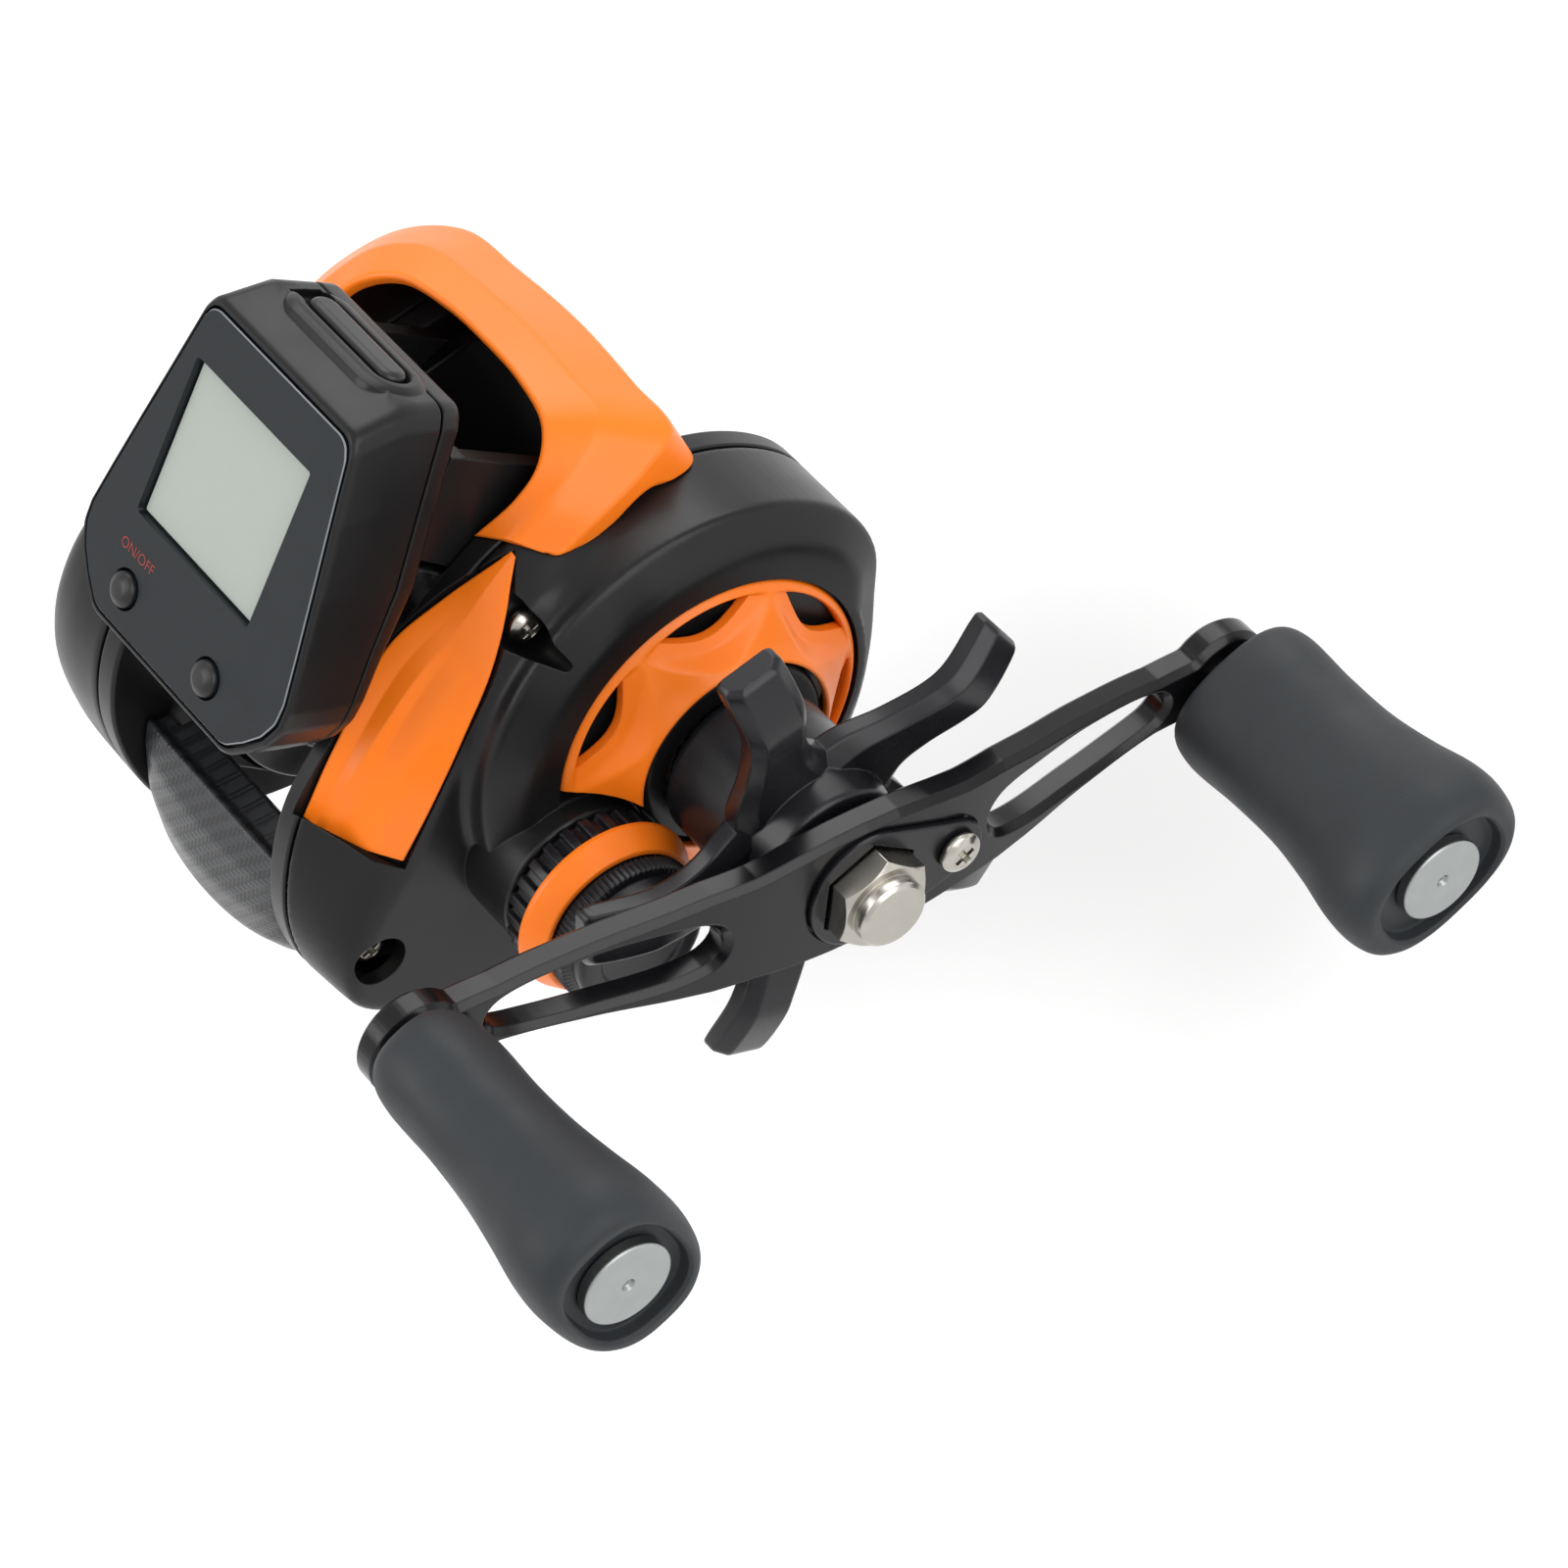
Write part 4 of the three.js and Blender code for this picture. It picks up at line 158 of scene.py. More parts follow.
def divided(line: Array, step: float) -> Array:
    """Splits each side of a closed line evenly so that no side is longer than a step.

    Args:
        line: The closed line.
        step: The longest side that may stay.

    Returns:
        The line with more points.
    """
    sides = np.roll(line, -1, 0) - line
    counts = np.maximum(np.ceil(np.linalg.norm(sides, axis=1) / step), 1).astype(int)
    which = np.repeat(np.arange(len(line)), counts)
    share = (np.arange(len(which)) - np.repeat(np.cumsum(counts) - counts, counts)) / counts[which]
    return line[which] + sides[which] * share[:, None]


def offset(outline: Array, amount: float | Array) -> Array:
    """Moves each point of a closed plane outline outwards along its own normal.

    Args:
        outline: Points of the outline, one row each.
        amount: How far outwards, for all points or one for each.

    Returns:
        The moved outline.
    """
    along = np.roll(outline, -1, 0) - np.roll(outline, 1, 0)
    along /= np.maximum(np.linalg.norm(along, axis=1, keepdims=True), TINY)
    turned = outline[:, 0] @ np.roll(outline[:, 1], -1) - outline[:, 1] @ np.roll(outline[:, 0], -1)
    outwards = np.stack([along[:, 1], -along[:, 0]], axis=1) * np.sign(turned)
    return outline + outwards * np.reshape(amount, (-1, 1))


def full_turn(count: int) -> Array:
    """Even angles round a full turn."""
    return np.linspace(0, 2 * math.pi, count, endpoint=False)


def polar(radius: float | Array, angle: Array) -> Array:
    """Points in a plane at a radius and an angle."""
    return np.stack([radius * np.cos(angle), radius * np.sin(angle)], axis=1)


def circle(radius: float, y: float = 0.0, z: float = 0.0, count: int = 72) -> Array:
    """A round outline in y and z."""
    return polar(radius, full_turn(count)) + (y, z)


def at_x(outline: Array, x: float | Array) -> Array:
    """Puts a y, z outline at a place along x."""
    return np.column_stack([np.broadcast_to(x, len(outline)), outline])


def at_z(outline: Array, z: float) -> Array:
    """Puts an x, y outline at a height."""
    return np.column_stack([outline, np.full(len(outline), z)])


def ripple_rings(x: Array, radius: Array, angle: Array, y: float = 0.0, z: float = 0.0) -> Array:
    """Rings about a line along x whose radius may change with the angle."""
    return np.stack([np.broadcast_to(x, radius.shape), y + radius * np.cos(angle),
                     z + radius * np.sin(angle)], -1)


def turned_rings(profile: Array, y: float = 0.0, z: float = 0.0, count: int = 96) -> Array:
    """Turns a profile of x and radius about a line along x: each ring is a circle of that radius at that x.

    Args:
        profile: Rows of x and radius.
        y: Place of the line.
        z: Place of the line.
        count: Points round each ring.

    Returns:
        The rings, as one grid of points.
    """
    profile = np.asarray(profile, float)
    radius = np.broadcast_to(profile[:, 1:], (len(profile), count))
    return ripple_rings(profile[:, :1], radius, full_turn(count), y, z)


# Meshes

class Ends(Enum):
    """How the first and last ring of a grid are closed."""

    FLAT = "flat"
    JOINED = "joined"


def grid_piece(name: str, rings: Array, ends: Ends = Ends.FLAT) -> Piece:
    """Makes a piece from a grid of points, ring by ring.

    Args:
        name: The piece's name.
        rings: Points, with the ring first and the place round the ring second.
        ends: How the first and last rings are closed.

    Returns:
        The new object, with its points in millimetres.
    """
    rings = np.asarray(rings, float)
    rows, columns = rings.shape[:2]
    i = np.arange(rows if ends is Ends.JOINED else rows - 1)[:, None]
    j = np.arange(columns)[None, :]
    here, below, beside = i * columns, (i + 1) % rows * columns, (j + 1) % columns
    quads = np.stack([here + j, here + beside, below + beside, below + j], -1)
    caps = []
    if ends is Ends.FLAT:
        caps = [np.arange(columns)[::-1], (rows - 1) * columns + np.arange(columns)]
    return mesh_piece(name, rings.reshape(-1, 3), quads.reshape(-1, 4), caps)


def triples(parts: bpy.types.bpy_prop_collection, what: str) -> Array:
    """Reads three numbers of each of a mesh's points or faces.

    Args:
        parts: The mesh's points or faces.
        what: The property to read.

    Returns:
        One row for each.
    """
    values = np.empty(len(parts) * 3, np.float32)
    parts.foreach_get(what, values)
    return values.reshape(-1, 3)


def move_points(mesh: bpy.types.Mesh, points: Array) -> None:
    """Gives a mesh's points their places."""
    mesh.vertices.foreach_set("co", np.ascontiguousarray(points, np.float32).ravel())


def linked(name: str, mesh: bpy.types.ID) -> Piece:
    """A new object in the scene.

    Args:
        name: The object's name.
        mesh: What it shows.

    Returns:
        The object.
    """
    made = bpy.data.objects.new(name, mesh)
    bpy.context.scene.collection.objects.link(made)
    return made


def mesh_piece(name: str, points: Array, quads: Array, caps: list[Array] = ()) -> Piece:
    """Makes a piece from points and faces, merges what coincides and turns the faces outwards.

    Args:
        name: The piece's name.
        points: One row for each point.
        quads: Four point numbers for each face.
        caps: Faces of any other number of points.

    Returns:
        The new object.
    """
    mesh = bpy.data.meshes.new(name)
    loops = np.concatenate([quads.ravel(), *caps]).astype(np.int32)
    sizes = np.concatenate([np.full(len(quads), 4), [len(c) for c in caps]]).astype(np.int32)
    mesh.vertices.add(len(points))
    move_points(mesh, points)
    mesh.loops.add(len(loops))
    mesh.loops.foreach_set("vertex_index", loops)
    mesh.polygons.add(len(sizes))
    mesh.polygons.foreach_set("loop_start", np.concatenate([[0], np.cumsum(sizes)[:-1]]).astype(np.int32))
    mesh.update(calc_edges=True)
    mesh.validate()
    work = bmesh.new()
    work.from_mesh(mesh)
    bmesh.ops.remove_doubles(work, verts=work.verts, dist=1e-5)
    bmesh.ops.dissolve_degenerate(work, edges=work.edges, dist=1e-6)
    bmesh.ops.recalc_face_normals(work, faces=work.faces)
    work.to_mesh(mesh)
    work.free()
    return linked(name, mesh)


def prism(name: str, outline: Array, start: float, end: float) -> Piece:
    """Carries a y, z outline straight from one x to another."""
    return grid_piece(name, [at_x(outline, start), at_x(outline, end)])


def upright(name: str, outline: Array, start: float, end: float) -> Piece:
    """Carries an x, y outline straight from one z to another."""
    return grid_piece(name, [at_z(outline, z) for z in (start, end)])


def turned(name: str, corners: Array, soft: Array | float, steps: int, middle: Pair, count: int) -> Piece:
    """Turns a profile with rounded corners about a line along x.

    Args:
        name: The piece's name.
        corners: Rows of x and radius.
        soft: The radius of each corner.
        steps: Steps of each rounded corner.
        middle: Where the line stands in y and z.
        count: Points round each ring.

    Returns:
        The piece.
    """
    return grid_piece(name, turned_rings(rounded(corners, soft, steps, closed=False), *middle, count))


def rod(name: str, start: float, end: float, radius: float, y: float = 0.0, z: float = 0.0) -> Piece:
    """A plain round cutter along x."""
    return prism(name, circle(radius, y, z), start, end)


def box_outline(a0: float, a1: float, b0: float, b1: float) -> Array:
    """The four corners of a rectangle."""
    return np.array([[a0, b0], [a1, b0], [a1, b1], [a0, b1]])


def carve(piece: Piece, *tools: Piece, how: str = "DIFFERENCE") -> Piece:
    """Cuts, joins or intersects a piece with others, which are used up.

    Args:
        piece: The piece that stays.
        tools: The pieces that work on it, one after the other.
        how: DIFFERENCE, UNION or INTERSECT.

    Returns:
        The piece.
    """
    for tool in tools:
        work = piece.modifiers.new("carve", "BOOLEAN")
        work.operation = how
        work.solver = "MANIFOLD"
        work.object = tool
        bpy.context.view_layer.update()
        whole = piece.evaluated_get(bpy.context.evaluated_depsgraph_get())
        made = bpy.data.meshes.new_from_object(whole)
        piece.modifiers.clear()
        used, piece.data = piece.data, made
        bpy.data.meshes.remove(used)
        bpy.data.meshes.remove(tool.data)
    return piece


def joined(*pieces: Piece) -> Piece:
    """Unites pieces into the first one."""
    return carve(pieces[0], *pieces[1:], how="UNION")


# Fields: signed distances on a block of points, whose zero surface becomes a piece

@dataclass
class Field:
    """A block of evenly spaced points and what is measured on them, negative inside the form."""

    low: Array
    high: Array
    step: float
    x: Array = field(init=False)
    y: Array = field(init=False)
    z: Array = field(init=False)

    def __post_init__(self) -> None:
        """Lays the points out along the three axes."""
        axes = [np.arange(a, b + self.step, self.step) for a, b in zip(self.low, self.high)]
        self.x, self.y, self.z = axes[0][:, None, None], axes[1][None, :, None], axes[2][None, None, :]

    def within(self, outline: Array) -> Array:
        """Distance to a y, z outline: to its nearest side, and negative where a ray crosses an odd number.

        Args:
            outline: Points of the closed outline.

        Returns:
            Distances that are the same at every x.
        """
        y, z = np.broadcast_arrays(self.y[0, :, :, None], self.z[0, :, :, None])
        a, b = outline, np.roll(outline, -1, 0)
        side = b - a
        length = np.maximum((side ** 2).sum(1), LEAST)
        share = ((y - a[:, 0]) * side[:, 0] + (z - a[:, 1]) * side[:, 1]) / length
        share = np.clip(share, 0, 1)
        far = np.hypot(y - a[:, 0] - share * side[:, 0], z - a[:, 1] - share * side[:, 1]).min(-1)
        spans = (a[:, 1] > z) != (b[:, 1] > z)
        rise = np.where(np.abs(side[:, 1]) < LEAST, LEAST, side[:, 1])
        crossed = spans & (y < a[:, 0] + (z - a[:, 1]) / rise * side[:, 0])
        return np.where(crossed.sum(-1) % 2 == 1, -far, far)[None]

    def round(self, radius: float, y: float) -> Array:
        """Distance to a cylinder along x."""
        return np.hypot(self.y - y, self.z) - radius

    def surface(self, name: str, values: Array) -> Piece:
        """Draws the zero surface: one point in each mixed cell, at the mean of where its edges cross zero.

        Args:
            name: The piece's name.
            values: The field, on all the points.

        Returns:
            The piece.
        """
        cells = tuple(n - 1 for n in values.shape)
        total, count = np.zeros((3, *cells)), np.zeros(cells)
        crossings = []
        for axis in range(3):
            others = [k for k in range(3) if k != axis]
            near = values[tuple(slice(None, -1) if k == axis else slice(None) for k in range(3))]
            far = values[tuple(slice(1, None) if k == axis else slice(None) for k in range(3))]
            crossed = (near < 0) != (far < 0)
            share = np.where(crossed, near / np.where(crossed, near - far, 1), 0)
            crossings.append((axis, others, crossed, near < 0))
            for shift in product((0, 1), repeat=2):
                cut = [slice(None)] * 3
                for k, s in zip(others, shift):
                    cut[k] = slice(s, cells[k] + s)
                seen = crossed[tuple(cut)]
                total[axis] += share[tuple(cut)]
                total[others[0]] += seen * shift[0]
                total[others[1]] += seen * shift[1]
                count += seen
        mixed = count > 0
        number = np.full(cells, -1)
        number[mixed] = np.arange(mixed.sum())
        places = np.stack(np.nonzero(mixed)) + total[:, mixed] / count[mixed]
        points = (np.asarray(self.low)[:, None] + places * self.step).T
        faces = []
        for axis, others, crossed, inside in crossings:
            inner = [slice(None)] * 3
            for k in others:
                inner[k] = slice(1, -1)
            where = np.stack(np.nonzero(crossed[tuple(inner)]))
            where[others[0]] += 1
            where[others[1]] += 1
            corners = []
            for back in ((1, 1), (0, 1), (0, 0), (1, 0)):
                cell = where.copy()
                cell[others[0]] -= back[0]
                cell[others[1]] -= back[1]
                corners.append(number[tuple(cell)])
            quads = np.stack(corners, -1)
            outwards = inside[tuple(where)] != (axis == 1)
            faces.append(np.where(outwards[:, None], quads, quads[:, ::-1]))
        return mesh_piece(name, points, np.concatenate(faces))


def smooth_max(a: Array, b: Array, reach: float) -> Array:
    """The larger of two fields, with the corner between them rounded over a reach."""
    share = np.clip(0.5 - 0.5 * (b - a) / reach, 0, 1)
    return b + (a - b) * share + reach * share * (1 - share)


def smooth_min(a: Array, b: Array, reach: float) -> Array:
    """The smaller of two fields, with the hollow between them filled over a reach."""
    return -smooth_max(-a, -b, reach)


# Finishes

class Grain(Enum):
    """What the finest relief of a finish looks like."""

    SPRAYED = "sprayed"
    MOULDED = "moulded"
    TURNED = "turned"
    BRUSHED = "brushed"
    WOVEN = "woven"


@dataclass(frozen=True)
class Finish:
    """One finish: its colour, gloss and relief. Lengths are in millimetres."""

    slot: str
    colour: Triple
    rough: float
    metal: float = 0.0
    spread: float = 0.05
    shade: float = 0.08
    grain: Grain = Grain.SPRAYED
    grain_size: float = 0.35
    relief: float = 0.004
    edge: float = 0.22
    wear_and_highlight: float = 0.0
    worn_and_lit: Triple = (0.45, 0.45, 0.44)
    coat: float = 0.0
    coat_rough: float = 0.1
    level: float = 0.5
    label: str = ""

    def material(self) -> bpy.types.Material:
        """Returns this finish's material, made once.

        Returns:
            The material.
        """
        name = f"finish_{self.label or self.slot}"
        known = bpy.data.materials.get(name)
        return known or self.make(name)

    def make(self, name: str) -> bpy.types.Material:
        """Builds the material: mottled colour, uneven gloss, fine relief and lighter edges, partly rubbed
        wear and partly a painted highlight.

        Args:
            name: The material's name.

        Returns:
            The material.
        """
        made = bpy.data.materials.new(name)
        made.use_nodes = True
        made.diffuse_color = (*self.colour, 1)
        tree = made.node_tree
        place = node(tree, "TexCoord", {}).outputs["Object"]
        gloss = ranged(tree, noise(tree, place, 7.0, 3), 0.3, 0.7, self.rough - self.spread,
                       self.rough + self.spread)
        dark, light = shaded(self.colour, 1 - self.shade), shaded(self.colour, 1 + self.shade)
        colour = mixed(tree, noise(tree, place, 2.2, 4), dark, light)
        edge = node(tree, "Bevel", {"Radius": self.edge * MM}, samples=4).outputs["Normal"]
        # Lighter edges: partly rubbed wear, partly a painted highlight where light would catch them.
        if self.wear_and_highlight > 0:
            colour = mixed(tree, self.rubbed_and_highlit(tree, place, edge), colour, self.worn_and_lit)
        height, colour = self.surface_relief(tree, place, colour)
        bump = node(tree, "Bump", {"Distance": self.relief * MM, "Height": height, "Normal": edge})
        inputs = {"Base Color": colour, "Roughness": gloss, "Normal": bump.outputs["Normal"],
                  "Metallic": self.metal, "Coat Weight": self.coat, "Coat Roughness": self.coat_rough,
                  "Specular IOR Level": self.level}
        fill(tree, tree.nodes["Principled BSDF"], inputs)
        return made

    def rubbed_and_highlit(self, tree: Tree, place: Socket, edge: Socket) -> Socket:
        """How far an edge is lightened, partly as rubbed wear and partly as a painted highlight: where the
        rounded normal leaves the face's own, broken up by noise.

        Args:
            tree: The material's nodes.
            place: The place on the piece.
            edge: The rounded normal.

        Returns:
            The share that is lightened, as wear and as a painted highlight.
        """
        face = node(tree, "NewGeometry", {}).outputs["Normal"]
        dot = node(tree, "VectorMath", {0: edge, 1: face}, operation="DOT_PRODUCT").outputs["Value"]
        away = ranged(tree, dot, 0.995, 0.86, 0.0, self.wear_and_highlight)
        return calculated(tree, "MULTIPLY", away,
                          ranged(tree, noise(tree, place, 1.1, 4), 0.42, 0.62, 0.25, 1.0))

    def surface_relief(self, tree: Tree, place: Socket, colour: Socket) -> tuple[Socket, Socket]:
        """The height of the finest relief, and the colour; a weave adds a painted sheen and painted shade
        to it.

        Args:
            tree: The material's nodes.
            place: The place on the piece.
            colour: The colour so far.

        Returns:
            The height and the colour.
        """
        if self.grain is Grain.WOVEN:
            return woven(tree, place, colour, self.colour)
        if self.grain is Grain.MOULDED:
            cells = node(tree, "TexVoronoi", {"Vector": place, "Scale": 1 / (self.grain_size * MM)})
            fine = noise(tree, place, self.grain_size, 2)
            return calculated(tree, "ADD", cells.outputs["Distance"], fine), colour
        if self.grain in (Grain.TURNED, Grain.BRUSHED):
            stretch = (1.0, 0.06, 0.06) if self.grain is Grain.TURNED else (0.08, 1.0, 1.0)
            place = node(tree, "Mapping", {"Vector": place, "Scale": stretch}).outputs["Vector"]
        return noise(tree, place, self.grain_size, 3), colour


def node(tree: Tree, kind: str, inputs: dict, **settings: str | int) -> bpy.types.Node:
    """Adds a shader node and fills its inputs.

    Args:
        tree: The material's nodes.
        kind: The node's type, without its first word.
        inputs: A socket to link, or a value, for each input.
        settings: What else the node is told.

    Returns:
        The node.
    """
    made = tree.nodes.new(f"ShaderNode{kind}")
    for name, value in settings.items():
        setattr(made, name, value)
    fill(tree, made, inputs)
    return made


def fill(tree: Tree, made: bpy.types.Node, inputs: dict) -> None:
    """Links each socket or sets each value at the node's input of that name.

    Args:
        tree: The material's nodes.
        made: The node.
        inputs: A socket or a value for each input.
    """
    for name, value in inputs.items():
        if isinstance(value, Socket):
            tree.links.new(value, made.inputs[name])
        else:
            made.inputs[name].default_value = value


def noise(tree: Tree, place: Socket, size: float, detail: float) -> Socket:
    """Soft noise whose patches are about a size in millimetres."""
    return node(tree, "TexNoise",
                {"Vector": place, "Scale": 1 / (size * MM), "Detail": detail}).outputs["Fac"]


def ranged(tree: Tree, value: Socket, low: float, high: float, first: float, last: float) -> Socket:
    """Carries a value from one range to another, held at its ends."""
    inputs = {"Value": value, "From Min": low, "From Max": high, "To Min": first, "To Max": last}
    return node(tree, "MapRange", inputs).outputs["Result"]


def calculated(tree: Tree, work: str, first: Socket | float, second: Socket | float = 0) -> Socket:
    """Works one sum on two values, each a socket or a number."""
    return node(tree, "Math", {0: first, 1: second}, operation=work).outputs["Value"]


def mixed(tree: Tree, share: Socket, first: Socket | Triple, second: Socket | Triple) -> Socket:
    """Mixes two colours, each a socket or a colour."""
    first, second = ((*c, 1) if isinstance(c, tuple) else c for c in (first, second))
    return node(tree, "Mix", {0: share, 6: first, 7: second}, data_type="RGBA").outputs[2]


def shaded(colour: Triple, amount: float) -> Triple:
    """A colour made lighter or darker by a factor, at most white."""
    return tuple(min(1.0, c * amount) for c in colour)


def woven(tree: Tree, place: Socket, colour: Socket, base: Triple) -> tuple[Socket, Socket]:
    """A twill: tows cross at right angles, and each passes over two and under two, one step on at each row.

    Args:
        tree: The material's nodes.
        place: The place on the piece.
        colour: The colour so far.
        base: The finish's own colour.

    Returns:
        The height, which is crowned over each tow, and the colour: lighter on the tows across as a painted
        sheen, and darker where each tow dips as painted shade.
    """
    tow, radius = 0.6 * MM, 24 * MM
    about_spool = (0.0, 0.012, -0.0225)
    centred = node(tree, "Mapping", {"Vector": place, "Location": about_spool}).outputs["Vector"]
    apart = node(tree, "SeparateXYZ", {"Vector": centred}).outputs
    u = calculated(tree, "DIVIDE", apart["X"], tow)
    v = calculated(tree, "MULTIPLY", calculated(tree, "ARCTAN2", apart["Z"], apart["Y"]), radius / tow)
    step = calculated(tree, "ADD", calculated(tree, "FLOOR", u), calculated(tree, "FLOOR", v))
    over = calculated(tree, "LESS_THAN", calculated(tree, "FLOORED_MODULO", step, 4), 2)
    crowns = []
    for way in (u, v):
        place_in_tow = calculated(tree, "SUBTRACT", calculated(tree, "FRACT", way), 0.5)
        away = calculated(tree, "ABSOLUTE", calculated(tree, "MULTIPLY", place_in_tow, 2))
        crowns.append(calculated(tree, "SUBTRACT", 1, calculated(tree, "POWER", away, 2.5)))
    height = node(tree, "Mix", {0: over, 2: crowns[0], 3: crowns[1]}).outputs[0]
    # Painted sheen: the tows across are lighter, as if they caught the light.
    sheen_tinted = mixed(tree, over, colour, shaded(base, 1.7))
    # Painted shade: darker where the tows dip, low on their crown.
    return height, mixed(tree, ranged(tree, height, 0.0, 0.6, 0.0, 1.0), shaded(base, 0.5), sheen_tinted)


# Each worn colour lightens the edges: partly rubbed wear, partly a painted highlight.
SATIN_BLACK = Finish("black_paint", (0.0075, 0.0075, 0.008), 0.34, spread=0.04, grain_size=0.16,
                     relief=0.003, wear_and_highlight=0.25, worn_and_lit=(0.05, 0.05, 0.053), level=0.25)
ENAMEL = Finish("black_paint", (0.004, 0.004, 0.005), 0.2, spread=0.03, grain_size=0.5, relief=0.002,
                edge=0.3, wear_and_highlight=0.2, worn_and_lit=(0.045, 0.045, 0.05), level=0.27, label="arm_enamel")
ORANGE = Finish("orange_paint", (1.0, 0.205, 0.009), 0.36, spread=0.04, shade=0.025, grain_size=0.6,
                relief=0.003, wear_and_highlight=0.1, worn_and_lit=(1.0, 0.42, 0.1), level=0.35)
STEEL = Finish("steel", (0.5, 0.495, 0.48), 0.28, metal=1.0, grain=Grain.TURNED, grain_size=0.5,
               relief=0.003, edge=0.12)
NICKEL = Finish("nickel", (0.42, 0.40, 0.36), 0.24, metal=1.0, grain_size=0.5, relief=0.002, spread=0.05,
                edge=0.2)
CAP_METAL = Finish("nickel", (0.32, 0.335, 0.33), 0.38, metal=1.0, grain=Grain.BRUSHED, grain_size=0.4,
                   relief=0.004, edge=0.15, label="brushed_cap")
BRASS = Finish("brass", (0.62, 0.42, 0.16), 0.32, metal=1.0, grain_size=0.4, relief=0.003, edge=0.12)
BLACK_METAL = Finish("black_metal", (0.010, 0.010, 0.012), 0.27, metal=0.1, grain_size=0.12, relief=0.002,
                     wear_and_highlight=0.4, worn_and_lit=(0.11, 0.11, 0.12), edge=0.3, level=0.33)
RUBBER = Finish("black_rubber", (0.019, 0.022, 0.025), 0.58, grain=Grain.MOULDED, grain_size=0.3,
                relief=0.009, spread=0.06, edge=0.3, level=0.34)
PLUG_RUBBER = Finish("black_rubber", (0.010, 0.010, 0.011), 0.36, grain_size=0.25, relief=0.003, edge=0.3,
                     level=0.36, label="plug_rubber")
SMOKED = Finish("gloss_black", (0.013, 0.016, 0.019), 0.3, grain_size=0.3, relief=0.001, edge=0.1,
                level=0.25)
LCD = Finish("lcd_grey", (0.41, 0.455, 0.41), 0.24, grain_size=0.25, relief=0.0006, shade=0.02, spread=0.03,
             coat=0.12, coat_rough=0.08, edge=0.1, level=0.4)
BOARD = Finish("circuit_green", (0.02, 0.11, 0.045), 0.5, grain_size=0.3, relief=0.01, edge=0.1)
CERAMIC = Finish("ceramic", (0.74, 0.72, 0.66), 0.22, grain_size=0.4, relief=0.001, coat=0.2, edge=0.15)
WEAVE = Finish("weave", (0.017, 0.018, 0.02), 0.36, grain=Grain.WOVEN, relief=0.03, edge=0.2, coat=0.15,
               coat_rough=0.2, level=0.4)
MAGNET = Finish("magnet", (0.32, 0.32, 0.33), 0.35, metal=0.9, grain=Grain.BRUSHED, grain_size=0.3,
                edge=0.12)
# A bright silver finish for the face plate's rim chamfer: a painted highlight.
PAINTED_EDGE_HIGHLIGHT = Finish("gloss_black", (0.24, 0.25, 0.27), 0.34, metal=0.9, edge=0.03, label="silver_edge")
PRINT_RED = Finish("gloss_black", (0.24, 0.018, 0.012), 0.5, edge=0.03, label="print_red")


# Placing and dressing

@dataclass
class Assembly:
    """A sub-assembly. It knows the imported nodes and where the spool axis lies, and dresses its pieces."""

    nodes: dict
    axis: Vector

    def fit(self, piece: Piece, finish: Finish, *replaced: str, body: str = "reel_body",
            smooth: float = 32.0, more: tuple[Finish, ...] = ()) -> None:
        """Moves a piece from millimetres about the spool axis to metres in the frame, and dresses it.

        Args:
            piece: The finished shape.
            finish: Its finish.
            replaced: The nodes that it stands for.
            body: The body that it moves with.
            smooth: The angle in degrees up to which faces blend.
            more: Finishes of further faces.
        """
        mesh = piece.data
        mesh.transform(Matrix.Translation(self.axis) @ Matrix.Scale(MM, 4))
        mesh.polygons.foreach_set("use_smooth", np.ones(len(mesh.polygons), bool))
        mesh.set_sharp_from_angle(angle=math.radians(smooth))
        which = np.zeros(len(mesh.polygons), np.int32)
        if more:
            mesh.polygons.foreach_get("material_index", which)
        mesh.materials.clear()
        for each in (finish, *more):
            mesh.materials.append(each.material())
        mesh.polygons.foreach_set("material_index", np.clip(which, 0, len(more)).astype(np.int32))
        weighted = piece.modifiers.new("flat_faces_stay_flat", "WEIGHTED_NORMAL")
        weighted.keep_sharp = True
        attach(piece, body)
        if replaced:
            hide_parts(*replaced)
        log.info("%s: %d faces, rides on %s", piece.name, len(mesh.polygons), body)

    def keep(self, finish: Finish, *names: str, bevel: float = 0.12) -> None:
        """Gives nodes that keep their own shape a finish and softened edges.

        Args:
            finish: The finish.
            names: The nodes.
            bevel: Width of the softened edges in millimetres.
        """
        for name in names:
            solid = self.nodes[name]
            for slot in solid.material_slots:
                slot.material = finish.material()
            weld = solid.modifiers.new("weld", "WELD")
            weld.merge_threshold = 1e-6
            soft = solid.modifiers.new("soft_edges", "BEVEL")
            soft.width = bevel * MM
            soft.segments = 2
            soft.limit_method = "ANGLE"
            soft.angle_limit = math.radians(50)
            log.info("%s keeps its shape in %s", name, finish.slot)


# Shared sizes

